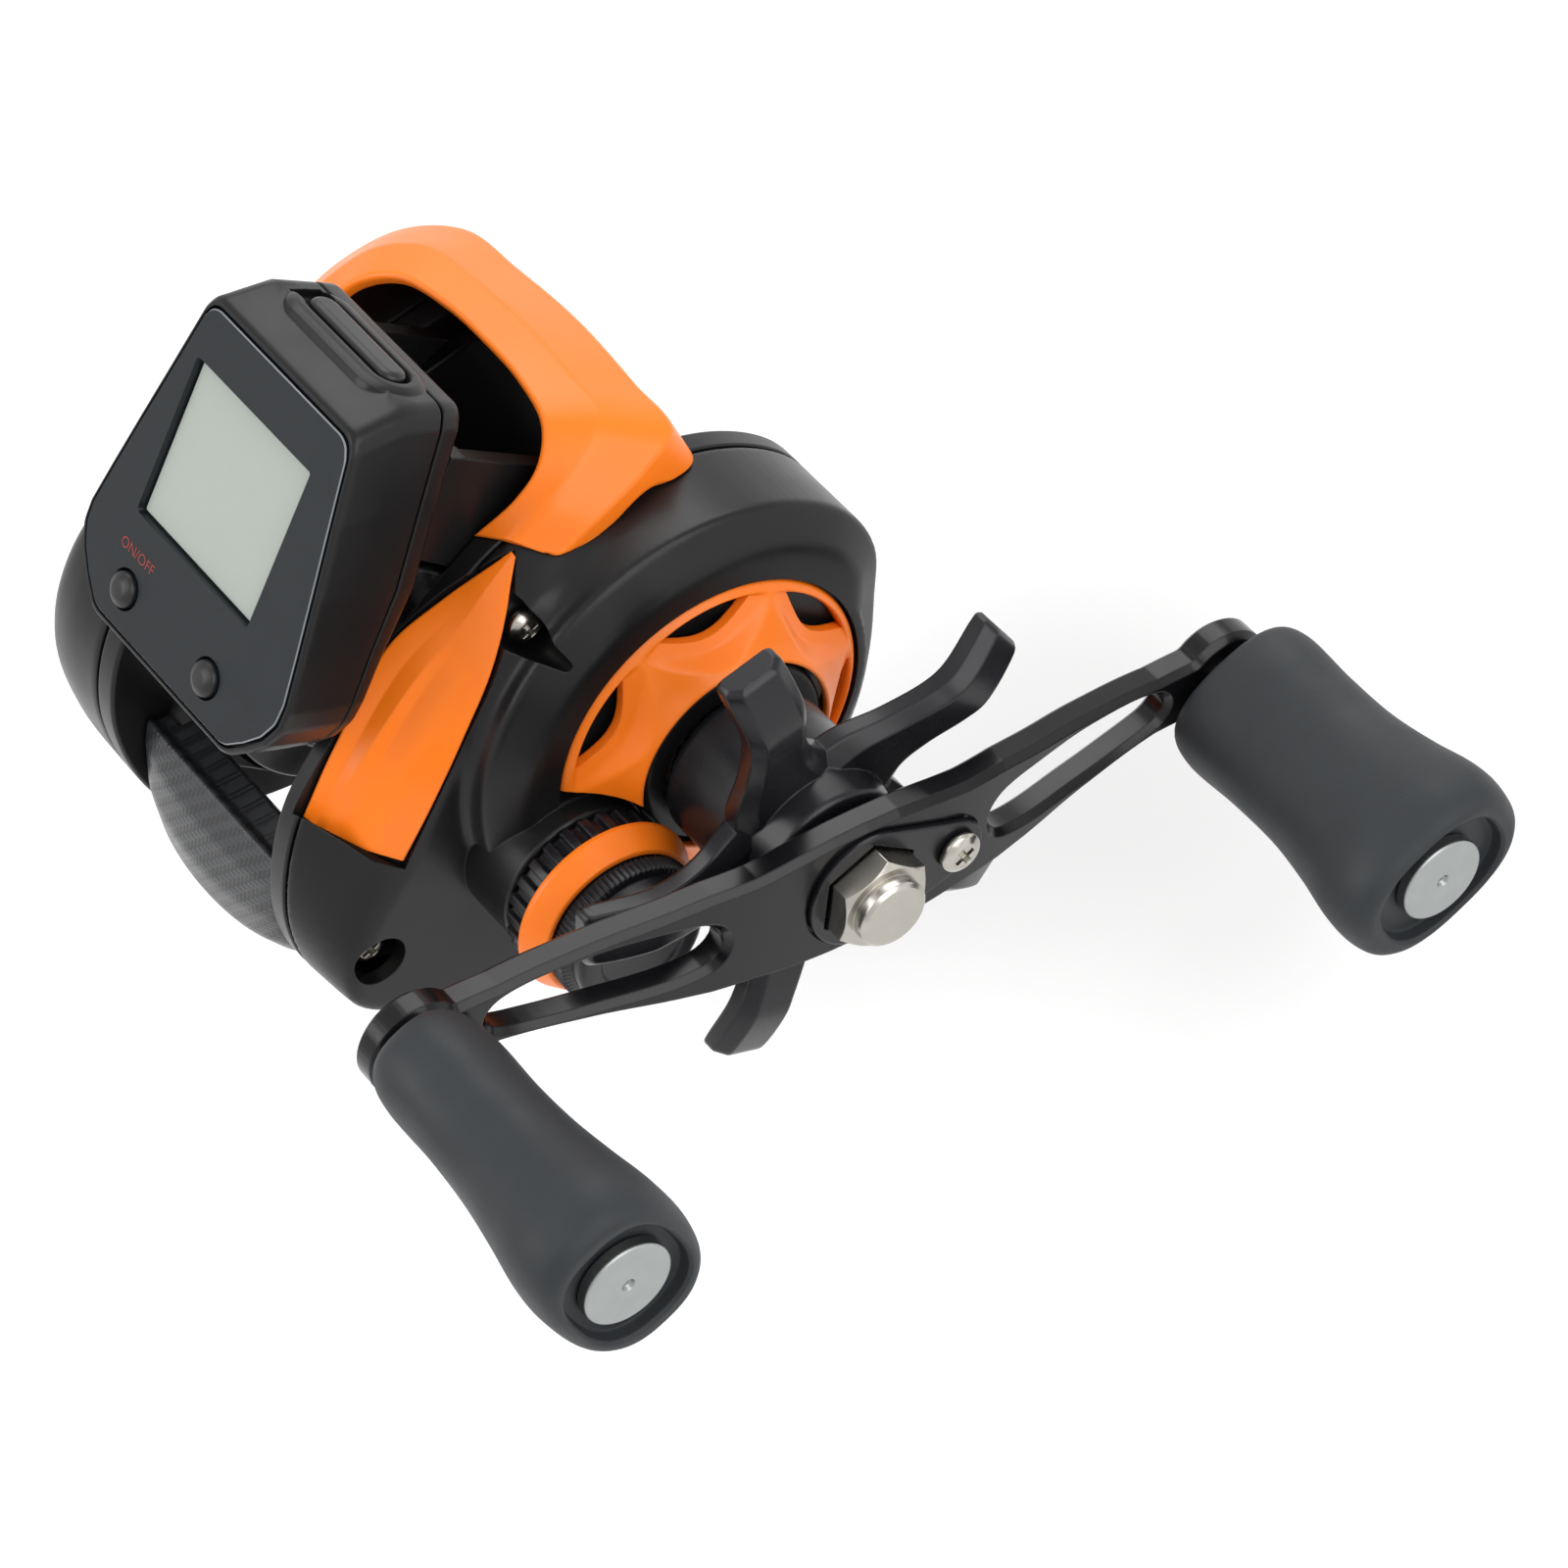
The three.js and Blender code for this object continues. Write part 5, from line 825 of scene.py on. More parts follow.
@dataclass(frozen=True)
class Sizes:
    """Sizes that neighbouring pieces share, in millimetres about the spool axis."""

    shaft_forward: float = 20.5
    wall_inner: float = 11.2
    wall_outer: float = 13.2
    spool_window: float = 17.4
    reach: float = 26.6
    rise: float = 30.0
    frame_front: float = 36.8
    frame_rear: float = 19.2
    frame_rise: float = 29.0
    floor_bottom: float = -19.2
    floor_top: float = -17.2
    floor_rear: float = -5.0
    case_inner: float = 16.5
    case_face: float = 24.0
    case_shoulder: float = 26.9
    case_end: float = 29.3
    dish_floor: float = 27.8
    case_radius: float = 26.6
    case_end_radius: float = 22.4
    case_least: float = 20.0
    case_blend: float = 0.38
    worm: Pair = (31.0, -4.0)
    worm_radius: float = 2.2
    steady_rod: Pair = (33.6, -10.5)
    steady_radius: float = 0.95
    hub_radius: float = 11.1
    hub_end: float = 33.4
    boss_radius: float = 9.2
    boss_end: float = 31.8
    neck_radius: float = 6.6
    neck_end: float = 36.0
    arm_inner: float = 43.6
    arm_outer: float = 56.4
    shaft_bore: float = 4.3


S = Sizes()

LEFT_PLATE = ((-1.01, 0.05), (-0.99, 0.3), (-0.9, 0.54), (-0.73, 0.74), (-0.49, 0.88), (-0.15, 0.94),
              (0.2, 0.96), (0.6, 0.97), (0.95, 0.93), (1.25, 0.84), (1.43, 0.62), (1.46, 0.2),
              (1.42, -0.25), (1.25, -0.52), (0.9, -0.64), (0.4, -0.66), (-0.1, -0.63), (-0.5, -0.5),
              (-0.81, -0.31), (-0.96, -0.13))
RIGHT_PLATE = ((-1, 0.06), (-0.94, 0.3), (-0.79, 0.52), (-0.6, 0.69), (-0.34, 0.81), (-0.1, 0.88),
               (0.12, 0.93), (0.38, 0.98), (0.65, 1.01), (0.9, 0.96), (1.15, 0.8), (1.3, 0.4), (1.3, -0.1),
               (1.2, -0.45), (0.9, -0.64), (0.4, -0.67), (-0.1, -0.63), (-0.5, -0.48), (-0.8, -0.28),
               (-0.96, -0.1))
RIGHT_FACE = ((-0.97, 0.03), (-0.86, 0.18), (-0.68, 0.29), (-0.46, 0.38), (-0.26, 0.49), (-0.05, 0.61),
              (0.14, 0.72), (0.38, 0.86), (0.6, 0.92), (0.85, 0.84), (1.1, 0.66), (1.2, 0.36), (1.2, -0.1),
              (1.1, -0.42), (0.85, -0.6), (0.4, -0.64), (-0.1, -0.6), (-0.48, -0.45), (-0.77, -0.26),
              (-0.93, -0.12))
CASE_RADII = ((0, 0.96), (18, 1), (40, 1), (65, 1), (90, 1), (115, 1), (140, 1), (165, 1), (190, 1),
              (215, 1), (240, 0.99), (262, 0.96), (284, 0.91), (306, 0.86), (326, 0.84), (344, 0.87))
FRAME_SIDE = ((-1, 0), (-0.93, 0.28), (-0.66, 0.5), (-0.3, 0.62), (0.1, 0.73), (0.55, 0.83), (1.1, 0.87),
              (1.6, 0.8), (1.9, 0.62))


def plate(shares: tuple, count: int = 160) -> Array:
    """A side plate's outline: a closed curve through shares of the casing's reach and rise."""
    return spline(np.array(shares) * (S.reach, S.rise), count, closed=True)


def case_outline(count: int = 160) -> Array:
    """The gear case's outline: its radius about the handle shaft changes with the angle.

    Args:
        count: How many points.

    Returns:
        The y, z outline.
    """
    angle, share = np.array(CASE_RADII, float).T
    angle = np.radians(angle)
    return spline(polar(S.case_radius * share, angle) + (S.shaft_forward, 0), count, closed=True)


def frame_side(grown: float = 0.0) -> Array:
    """The frame walls' outline, with its upper side raised by a clearance.

    Args:
        grown: The clearance.

    Returns:
        The y, z outline.
    """
    upper = np.array(FRAME_SIDE) * (S.frame_rear, S.frame_rise)
    front = [[S.frame_front, upper[-1, 1] - 3.6], [S.frame_front, S.floor_bottom]]
    lower = [[S.floor_rear, S.floor_bottom], [-S.frame_rear * 0.72, -S.frame_rear * 0.62]]
    outline = np.vstack([upper, front, lower])
    outline[:, 1] += np.where(outline[:, 1] > 0, grown, 0)
    return rounded(outline, 3.0, 3)


def banded(name: str, outline: Array, profile: Array) -> Piece:
    """Carries an outline along x while it moves in or out: one ring for each x and inset of the profile.

    Args:
        name: The piece's name.
        outline: The y, z outline.
        profile: Rows of x and how far inside the outline the ring lies.

    Returns:
        The piece.
    """
    return grid_piece(name, [at_x(offset(outline, -inset), x) for x, inset in profile])


def soft_plate(name: str, outline: Array, start: float, end: float, radius: float) -> Piece:
    """A plate across x whose two rims are rounded.

    Args:
        name: The piece's name.
        outline: The y, z outline.
        start: Where it starts.
        end: Where it ends.
        radius: The radius of its rims.

    Returns:
        The piece.
    """
    profile = rounded([[start, radius * 2], [start, 0], [end, 0], [end, radius * 2]], radius, 4,
                      closed=False)
    return banded(name, outline, profile[1:-1])


def cross_recess(x: float, depth: float, half: float, y: float, z: float) -> list[Piece]:
    """Two crossed slots that run in from a head that points along x, narrower towards the bottom.

    Args:
        x: Where the slots start.
        depth: How deep they are.
        half: Half of their length.
        y: Place of the screw.
        z: Place of the screw.

    Returns:
        The two cutters.
    """
    made = []
    for wide, high in ((half, half * 0.3), (half * 0.3, half)):
        low = box_outline(-wide * 0.7, wide * 0.7, -high * 0.7, high * 0.7) + (y, z)
        top = box_outline(-wide * 1.15, wide * 1.15, -high * 1.15, high * 1.15) + (y, z)
        made.append(grid_piece("recess", [at_x(low, x), at_x(top, x + depth * 1.5)]))
    return made


def pan_head(name: str, seat: float, radius: float, height: float, y: float, z: float,
             shank: Pair) -> Piece:
    """A pan-headed screw along x with a cross recess: a turned profile whose rim is an arc.

    Args:
        name: The piece's name.
        seat: Where the head starts.
        radius: The head's radius.
        height: The head's height.
        y: Place of the screw.
        z: Place of the screw.
        shank: Where the shank starts and its radius.

    Returns:
        The screw.
    """
    corners = np.array([[shank[0], HUB], [shank[0], shank[1]], [seat, shank[1]], [seat, radius],
                        [seat + height * 0.55, radius], [seat + height, radius * 0.62],
                        [seat + height * 1.02, HUB]])
    head = turned(name, corners, [0, 0.1, 0.1, 0.15, 0.7, 0.7, 0], 4, (y, z), 64)
    return carve(head, *cross_recess(seat + height * 0.35, height, radius * 0.56, y, z))


# Frame, foot and level wind

@dataclass
class Frame(Assembly):
    """The one-piece frame: two walls, a floor and bars across, all open round the spool."""

    bar_rear: float = 32.6
    bar_top: float = 22.62
    bar_height: float = 3.6
    foot_bottom: float = -22.5
    foot_thick: float = 2.7
    foot_end: float = 1.7
    foot_half: float = 6.3
    foot_middle: float = 8.0
    foot_length: float = 65.0
    pad_length: float = 34.0
    screw_spacing: float = 20.0
    screw_hole: float = 1.5
    head_hole: float = 2.5
    head_depth: float = 1.7

    def build(self) -> None:
        """Builds the frame, foot and screws."""
        self.main()
        self.foot()
        self.keep(STEEL, "foot_screw_rear", "foot_screw_front", bevel=0.15)

    def main(self) -> None:
        """Two walls along x, joined by the floor and two bars and opened for the spool and shafts."""
        side = frame_side()
        walls = [soft_plate("frame_main", side, -S.wall_outer, -S.wall_inner, 0.4),
                 soft_plate("wall", side, S.wall_inner, S.wall_outer, 0.4)]
        high = self.bar_top
        bar = rounded([[self.bar_rear, high - self.bar_height], [36.5, high - 6.8], [36.8, high - 4.3],
                       [self.bar_rear, high]], 0.8, 4)
        floor = rounded(box_outline(S.floor_rear, S.frame_front, S.floor_bottom, S.floor_top), 0.6, 3)
        front = rounded(box_outline(S.frame_front - 3, S.frame_front, S.floor_bottom, S.floor_bottom + 5),
                        0.7, 4)
        inner = S.wall_inner + 0.6
        bars = [prism("bar", outline, -inner, inner) for outline in (bar, floor, front)]
        body = joined(*walls, *bars)
        through = S.wall_outer + OVERRUN
        body = carve(body, rod("spool_window", -through, -S.wall_inner + 1, S.spool_window),
                     rod("spool_window", S.wall_inner - 1, through, S.spool_window),
                     rod("worm_hole", -through, through, S.worm_radius + GAP, *S.worm),
                     rod("rod_hole", -through, through, S.steady_radius + GAP, *S.steady_rod))
        for side_of in (-1, 1):
            hole = circle(self.screw_hole, 0, self.foot_middle + side_of * self.screw_spacing / 2, 32)
            carve(body, upright("screw_hole", hole, S.floor_bottom - OVERRUN, S.floor_top - 0.6))
        self.fit(body, SATIN_BLACK, "main_frame")

    def foot(self) -> None:
        """A side outline carried across and met by a plan with round ends; its top rises to the pad."""
        low, top = self.foot_bottom, self.foot_bottom + self.foot_thick
        ends = self.foot_middle + np.array([-1, 1]) * self.foot_length / 2
        pad = self.foot_middle + np.array([-1, 1]) * self.pad_length / 2
        thin = low + self.foot_end
        side = rounded([[ends[0], low], [ends[1], low], [ends[1], thin], [pad[1] + 3, thin], [pad[1], top],
                        [pad[0], top], [pad[0] - 3, thin], [ends[0], thin]],
                       [0.4, 0.4, 0.7, 3, 2, 2, 3, 0.7], 5)
        turn = np.linspace(0, math.pi, 25)
        half = self.foot_half
        front = polar(half, turn) + (0, ends[1] - half)
        rear = -polar(half, turn) + (0, ends[0] + half)
        body = carve(prism("foot_plate", side, -half - 1, half + 1),
                     upright("plan", np.vstack([front, rear]), low - OVERRUN, top + OVERRUN),
                     how="INTERSECT")
        for end in (-1, 1):
            y = self.foot_middle + end * self.screw_spacing / 2
            carve(body,
                  upright("head_seat", circle(self.head_hole, 0, y, 40), low - OVERRUN,
                          low + self.head_depth),
                  upright("screw_hole", circle(self.screw_hole, 0, y, 32), low, top + OVERRUN))
        self.fit(body, SATIN_BLACK, "reel_foot")


@dataclass
class LevelWind(Assembly):
    """The double-cut worm, its guide and the rod that keeps the guide upright."""

    worm_end: float = 18.2
    groove_half: float = 10.2
    groove_pitch: float = 4.4
    groove_depth: float = 0.55
    groove_half_width: float = 0.75
    half: float = 2.7
    collar: float = 4.0
    rod_bore: float = 1.25
    eye_rise: float = 3.4
    eye_half: Pair = (1.6, 3.6)
    eye_rear: float = 33.3
    eye_front: float = 35.9

    def build(self) -> None:
        """Builds the worm, guide, insert and rod."""
        self.worm()
        self.guide()
        guide_rod = soft_plate("steady_rod", circle(S.steady_radius, *S.steady_rod, 40),
                               -S.wall_outer, S.wall_outer, 0.25)
        self.fit(guide_rod, STEEL, "guide_rod")

    def worm(self) -> None:
        """A rod on a grid of x and angle; its radius dips where a left or a right helix passes."""
        x = np.linspace(-S.wall_outer, self.worm_end, 420)[:, None]
        angle = full_turn(72)[None]
        dips = []
        for way in (-1, 1):
            phase = (x / self.groove_pitch + way * angle / (2 * math.pi)) % 1
            from_middle = np.abs(phase - 0.5) * self.groove_pitch
            dips.append(np.clip(1 - (from_middle / self.groove_half_width) ** 4, 0, 1))
        ends = np.clip((self.groove_half - np.abs(x)) / 0.6, 0, 1)
        radius = S.worm_radius - self.groove_depth * np.maximum(*dips) * ends
        rings = ripple_rings(x, radius, angle, *S.worm)
        self.fit(grid_piece("worm_double_cut", rings), STEEL, "worm_shaft", body="worm", smooth=50)

    def guide(self) -> None:
        """A collar on the worm, a tower with a tall eye and a web down to the steady rod."""
        half = self.half
        low = S.steady_rod[1] - 2.4
        collar = soft_plate("line_carrier", circle(self.collar, *S.worm, 56), -half, half,
                            0.35)
        tower_side = rounded(box_outline(self.eye_rear, self.eye_front, low, 8.5), [0.5, 0.5, 0.9, 0.9], 4)
        tower = soft_plate("tower", tower_side, -half, half, 0.5)
        web_side = rounded(box_outline(S.worm[0], self.eye_rear + 0.4, low, S.worm[1] + 1.5),
                           0.3, 3)
        body = joined(collar, tower, prism("web", web_side, -half + 0.05, half - 0.05))
        hole = self.eye_ring("eye", (1.0, 1.0), (self.eye_rear - OVERRUN, self.eye_front + OVERRUN))
        through = half + OVERRUN
        carve(body, hole,
              rod("bore", -through, through, S.worm_radius + GAP, *S.worm),
              rod("bore", -through, through, self.rod_bore, *S.steady_rod))
        self.fit(body, BLACK_METAL, "line_guide", body="guide")
        self.fit(self.insert(), CERAMIC, "line_guide_insert", body="guide")

    def eye_ring(self, name: str, share: Pair, span: Pair) -> Piece:
        """The eye's oval carried along y.

        Args:
            name: The piece's name.
            share: The part of the eye's two half widths.
            span: Where it starts and ends along y.

        Returns:
            The piece.
        """
        angle = full_turn(48)
        wide, high = self.eye_half
        x, z = share[0] * wide * np.cos(angle), self.eye_rise + share[1] * high * np.sin(angle)
        return grid_piece(name, [np.stack([x, np.full(48, y), z], 1) for y in span])

    def insert(self) -> Piece:
        """A ring with a round lip: a circle of section carried round the eye's oval.

        Returns:
            The piece.
        """
        angle = full_turn(64)[:, None]
        turn = full_turn(24)[None]
        wide, high = self.eye_half
        middle, length = (self.eye_rear + self.eye_front) / 2, (self.eye_front - self.eye_rear) / 2
        inwards = 0.66 - 0.16 * np.cos(turn)
        up = 0.845 - 0.065 * np.cos(turn)
        y = np.broadcast_to(middle + length * np.sin(turn), (64, 24))
        rings = np.stack([inwards * wide * np.cos(angle), y,
                          self.eye_rise + up * high * np.sin(angle)], -1)
        return grid_piece("ceramic_eye", rings, Ends.JOINED)


# Side covers

@dataclass
class LeftSide(Assembly):
    """The palm side: a ring on the frame, a deep cover and the brake dial on its face."""

    ring: Pair = (-16.5, -13.5)
    cover: Pair = (-29.2, -16.8)
    wall: float = 1.8
    dial_radius: float = 9.6
    dial_height: float = 2.3
    flutes: int = 18
    boss: float = 6.7
    bore: float = 5.3
    stem: float = 3.0
    marks: int = 10
    mark_circle: float = 13.6
    mark_radius: float = 0.35

    def build(self) -> None:
        """Builds the ring, cover and dial; the bearing and magnets keep their shapes."""
        outline = plate(LEFT_PLATE)
        ring = soft_plate("palm_ring", outline, *self.ring, 0.45)
        carve(ring, rod("spool_window", self.ring[0] - OVERRUN, self.ring[1] + OVERRUN, S.spool_window))
        self.fit(ring, SATIN_BLACK, "left_side_ring")
        self.fit(self.shell(outline), SATIN_BLACK, "left_side_cover")
        self.fit(self.dial(), BLACK_METAL, "brake_dial", body="brake_control")
        self.keep(STEEL, "left_spool_bearing")
        self.keep(MAGNET, "brake_magnet_ring")

    def shell(self, outline: Array) -> Piece:
        """A hollow cover: the outline narrows along a curve towards the face, with a dish for the dial.

        Args:
            outline: The cover's outline.

        Returns:
            The cover.
        """
        outer, inner = self.cover
        turn = np.array([[inner, 0.0], [-24.0, 0.28], [-27.6, 1.33], [outer, 3.5]])
        curve = spline(turn, 26)
        curve = np.vstack([[inner, 0.45], [inner - 0.18, 0.14], curve[1:-1], [outer - 0.02, 3.7],
                           [outer, 4.4]])
        body = banded("palm_cover", outline, curve)
        deep = inner - outer - self.wall
        hollow = banded("hollow", outline,
                        [[inner + OVERRUN, self.wall], [inner - deep * 0.6, self.wall * 1.4],
                         [inner - deep, self.wall * 2.6]])
        boss = rod("boss", outer + self.wall / 2, inner - GAP, self.boss)
        bore = rod("bore", outer + self.wall, inner + OVERRUN, self.bore)
        dish = grid_piece("dish",
                          turned_rings([[outer - 1, 12.4], [outer, 12.0], [outer + 0.35, 11.2],
                                        [outer + 0.35, HUB]], count=120))
        body = carve(joined(carve(body, hollow), boss), bore, dish,
                     rod("stem_hole", outer - OVERRUN, outer + 4, self.stem + GAP))
        marks = []
        for number in range(self.marks):
            angle = math.radians(240 - 30 * number)
            y, z = self.mark_circle * math.cos(angle), self.mark_circle * math.sin(angle)
            marks.append(rod("mark", outer - 1, outer + 0.25, self.mark_radius + 0.03 * number, y, z))
        return carve(body, *marks)

    def dial(self) -> Piece:
        """A fluted disc: its radius dips at each flute and rolls in at the rim, with a pointer slot.

        Returns:
            The dial.
        """
        face = self.cover[0] - GAP
        outer = face - self.dial_height
        angle = full_turn(self.flutes * 12)[None]
        profile = rounded([[face, HUB], [face, self.dial_radius], [outer, self.dial_radius], [outer, 6.6],
                           [outer + 0.5, 6.0], [outer + 0.5, HUB]], [0, 0.3, 0.7, 0.3, 0.3, 0], 5,
                          closed=False)
        dip = 0.3 * (1 - np.cos(angle * self.flutes)) ** 1.4
        fluted = np.clip((profile[:, 1:] - 7.5) / 1.5, 0, 1)
        radius = profile[:, 1:] - np.minimum(dip, 0.6) * fluted
        disc = grid_piece("brake_disc", ripple_rings(profile[:, :1], radius, angle))
        stem = rod("stem", face - GAP, face + self.wall + OVERRUN, self.stem)
        mark, grip = box_outline(-0.35, 0.35, 6.9, 8.8), box_outline(-4.6, 4.6, -0.75, 0.75)
        return carve(joined(disc, stem),
                     prism("pointer", rounded(mark, 0.3, 3), outer - OVERRUN, outer + 0.5),
                     prism("finger_slot", rounded(grip, 0.7, 4), outer - 1, outer + 1.2))


@dataclass
class Panel:
    """The bright skin let into the shoulder of the gear case, creased along its length."""

    stations: tuple = (
        ((15.5, -15.9, 19.4), (17.2, -15.5, 16.9), (23.3, -11.6, 11.9)),
        ((15.6, -8.8, 24.2), (18.0, -8.6, 21.6), (23.8, -5.6, 16.0)),
        ((14.0, 2.3, 28.1), (17.8, 1.6, 25.4), (23.8, 1.0, 20.2)),
        ((15.2, 9.8, 28.9), (18.4, 9.0, 27.6), (23.4, 8.0, 24.6)),
        ((16.8, 14.2, 29.8), (18.6, 13.8, 29.4), (21.8, 13.0, 27.6)),
        ((18.2, 17.9, 30.5), (18.6, 17.9, 30.5), (19.1, 17.8, 30.3)))
    thick: float = 1.1
    outwards: Triple = (0.68, -0.25, 0.69)
    folds: Quad = (0.1, 0.6, 0.2, 1.0)
    fold_end: float = 38.0

    def form(self, name: str, grown: float = 0.0) -> Piece:
        """Three curves through the stations, joined by a folded and crowned section with a thickness.

        Args:
            name: The piece's name.
            grown: A clearance all round, for the pocket that the panel lies in.

        Returns:
            The panel or its pocket.
        """
        stations = np.array(self.stations)
        if grown > 0:
            for end, beside in ((0, 1), (-1, -2)):
                along = stations[end] - stations[beside]
                stations[end] += along / np.linalg.norm(along, axis=-1, keepdims=True) * grown * 2
        lines = np.stack([spline(stations[:, k], 0, fine=14, even=False) for k in range(3)], 1)
        deep = self.thick + grown
        above = 4.0 if grown > 0 else 0.0
        inwards = np.array([[-0.1, 0, -1], [-0.6, 0, -0.8], [-0.92, 0, -0.4]])
        sideways = np.array([[-1, 0, 0], [0, 0, 0], [0.75, 0, -0.65]]) * grown
        top, under = lines - inwards * above + sideways, lines + inwards * deep + sideways
        if grown > 0:
            return grid_piece(name, np.concatenate([top, under[:, ::-1]], axis=1))
        first, fold, last = top[:, 0], top[:, 1], top[:, 2]
        fade = np.clip((self.fold_end - np.arange(len(top))) / 14, 0, 1)[:, None]
        out = np.array(self.outwards) / np.linalg.norm(self.outwards) * fade
        low, ridge, foot, crown = self.folds
        skin = [first, first + (fold - first) * 0.6 - out * low, fold + out * ridge,
                fold + (last - fold) * 0.17 + out * foot, (fold + last) / 2 + out * crown, last]
        sections = np.concatenate([np.stack(skin, 1), under[:, ::-1]], axis=1)
        return grid_piece(name, rounded(sections, [0.3, 0.6, 0.4, 0.7, 7, 0.35, 0.1, 0.5, 0.1], 4))


@dataclass
class GearSide(Assembly):
    """The handle side: an inner plate, the gear case with its bosses, the panel and two screws."""

    wall: float = 1.8
    inner_plate: Pair = (13.5, 16.2)
    screw_upper: Triple = (20.7, 13.8, 24.0)
    screw_rear: Triple = (20.6, -20.7, 3.2)
    screw_radius: float = 2.1
    screw_head: float = 1.4
    groove_steps: tuple = ((0, 0, 2.7), (1.7, 0.1, 2.7), (3.5, 0.3, 2.3), (5.5, 0.1, 1.6), (7.2, -0.4, 0.9),
                           (8.4, -0.8, 0.35))
    groove_open: float = 4.0
    post_radius: float = 4.5
    hollow_end: float = 25.5
    hollow_radius: float = 19.4
    dish_radius: float = 18.8
    clear_radius: float = 9.9
    spool_bore: float = 5.35
    clutch_bore: float = 8.4
    clutch_floor: float = 23.5
    screw_hole: float = 1.4
    screw_pocket: float = 3.0
    bearing_hole: float = 5.1
    worm_hole: float = 2.5
    panel: Panel = field(default_factory=Panel)

    def build(self) -> None:
        """Builds the plates, panel and screws; the works inside keep their shapes."""
        self.fit(self.inner(), SATIN_BLACK, "gear_side_frame")
        self.fit(self.case(), SATIN_BLACK, "right_side_plate", smooth=38)
        self.fit(self.panel.form("accent_skin"), ORANGE, "side_accent_panel")
        for name, solid, (seat, y, z) in (("case_screw_upper", "upper_case_screw", self.screw_upper),
                                          ("case_screw_rear", "rear_case_screw", self.screw_rear)):
            head = pan_head(name, seat, self.screw_radius, self.screw_head, y, z, (16.8, 1.1))
            self.fit(head, NICKEL, solid)
        self.keep(STEEL, "drive_shaft_bearing", "right_spool_bearing", "one_way_bearing", "pressure_plate")
        self.keep(BRASS, "drive_gear", "level_drive_gear", "pinion_gear")
        self.keep(CERAMIC, "worm_gear")
        self.keep(WEAVE, "drag_washer")

    def inner(self) -> Piece:
        """The plate's outline and the case's outline, carried across and joined.

        Returns:
            The plate.
        """
        start, end = self.inner_plate
        body = joined(soft_plate("gear_plate", plate(RIGHT_PLATE), start, end, 0.3),
                      soft_plate("round", case_outline(), start, end, 0.3))
        low, high = start - OVERRUN, end + OVERRUN
        return carve(body, self.panel.form("pocket", GAP), rod("hub_hole", low, high, 4.0),
                     rod("bearing_hole", low, high, self.bearing_hole, S.shaft_forward, 0),
                     rod("worm_hole", low, high, self.worm_hole, *S.worm))

    def case(self) -> Piece:
        """The case as a field, hollowed and then given its bosses, dish, pockets and screw seats.

        Returns:
            The case.
        """
        body = self.case_form()
        rim, face = offset(plate(RIGHT_PLATE), -self.wall), offset(plate(RIGHT_FACE), -self.wall * 1.3)
        rings = [at_x(rim, S.case_inner - OVERRUN), at_x(rim, S.case_inner),
                 at_x(face, S.case_face - self.wall)]
        seat, y, z = self.screw_upper
        hollow = joined(grid_piece("hollow", rings),
                        rod("hollow_round", S.case_inner - OVERRUN, self.hollow_end, self.hollow_radius,
                            S.shaft_forward, 0))
        body = carve(body,
                     carve(hollow, rod("post", S.case_inner - 4, S.case_face, self.post_radius, y, z)))
        dish = carve(rod("dish", S.dish_floor, S.case_end + OVERRUN * 3, self.dish_radius, S.shaft_forward,
                         0), rod("core", S.dish_floor - 1, S.case_end + 9, S.boss_radius + 0.3))
        body = carve(body, dish)
        body = joined(body, self.post("spool_boss", S.case_face - 1, S.boss_end, S.boss_radius, 0.0, 0.5),
                      self.post("neck", S.boss_end - 1, S.neck_end, S.neck_radius, 0.0, 0.3),
                      self.post("hub_tube", S.dish_floor - 1, S.hub_end, S.hub_radius, S.shaft_forward,
                                0.6))
        ring_cut = carve(rod("clear", S.boss_end + 0.01, S.hub_end + OVERRUN, self.clear_radius),
                         rod("core", S.boss_end - 1, S.hub_end + 3, S.neck_radius))
        body = carve(body, ring_cut,
                     rod("spool_bore", S.case_face - 6, S.neck_end + OVERRUN, self.spool_bore),
                     rod("clutch_bore", self.clutch_floor, S.hub_end + OVERRUN, self.clutch_bore,
                         S.shaft_forward, 0), self.panel.form("pocket", GAP), self.groove(),
                     rod("screw_hole", S.case_inner - OVERRUN, seat, self.screw_hole, y, z))
        seat, y, z = self.screw_rear
        return carve(body, rod("screw_pocket", seat - GAP, S.case_face + OVERRUN, self.screw_pocket, y, z),
                     rod("screw_hole", S.case_inner - OVERRUN, seat, self.screw_hole, y, z))

    def post(self, name: str, start: float, end: float, radius: float, forward: float,
             soft: float) -> Piece:
        """A round boss along x with a rounded rim."""
        corners = [[start, radius], [end, radius], [end, radius - soft * 2.5]]
        return turned(name, corners, soft, 5, (forward, 0), 120)

    def groove(self) -> Piece:
        """The leaf over the upper screw: a trough, open outwards, that narrows and rises along x.

        Returns:
            The cutter.
        """
        seat, y, z = self.screw_upper
        away = np.array([y - S.shaft_forward, z])
        away /= np.linalg.norm(away)
        rings = []
        for along, out, radius in self.groove_steps:
            round_part = circle(radius, 0, 0, 48)
            open_side = np.where(round_part @ away > 0, self.groove_open, 0.0)[:, None]
            rings.append(at_x(round_part + away * (out + open_side) + (y, z), seat - GAP + along))
        return grid_piece("groove", rings)

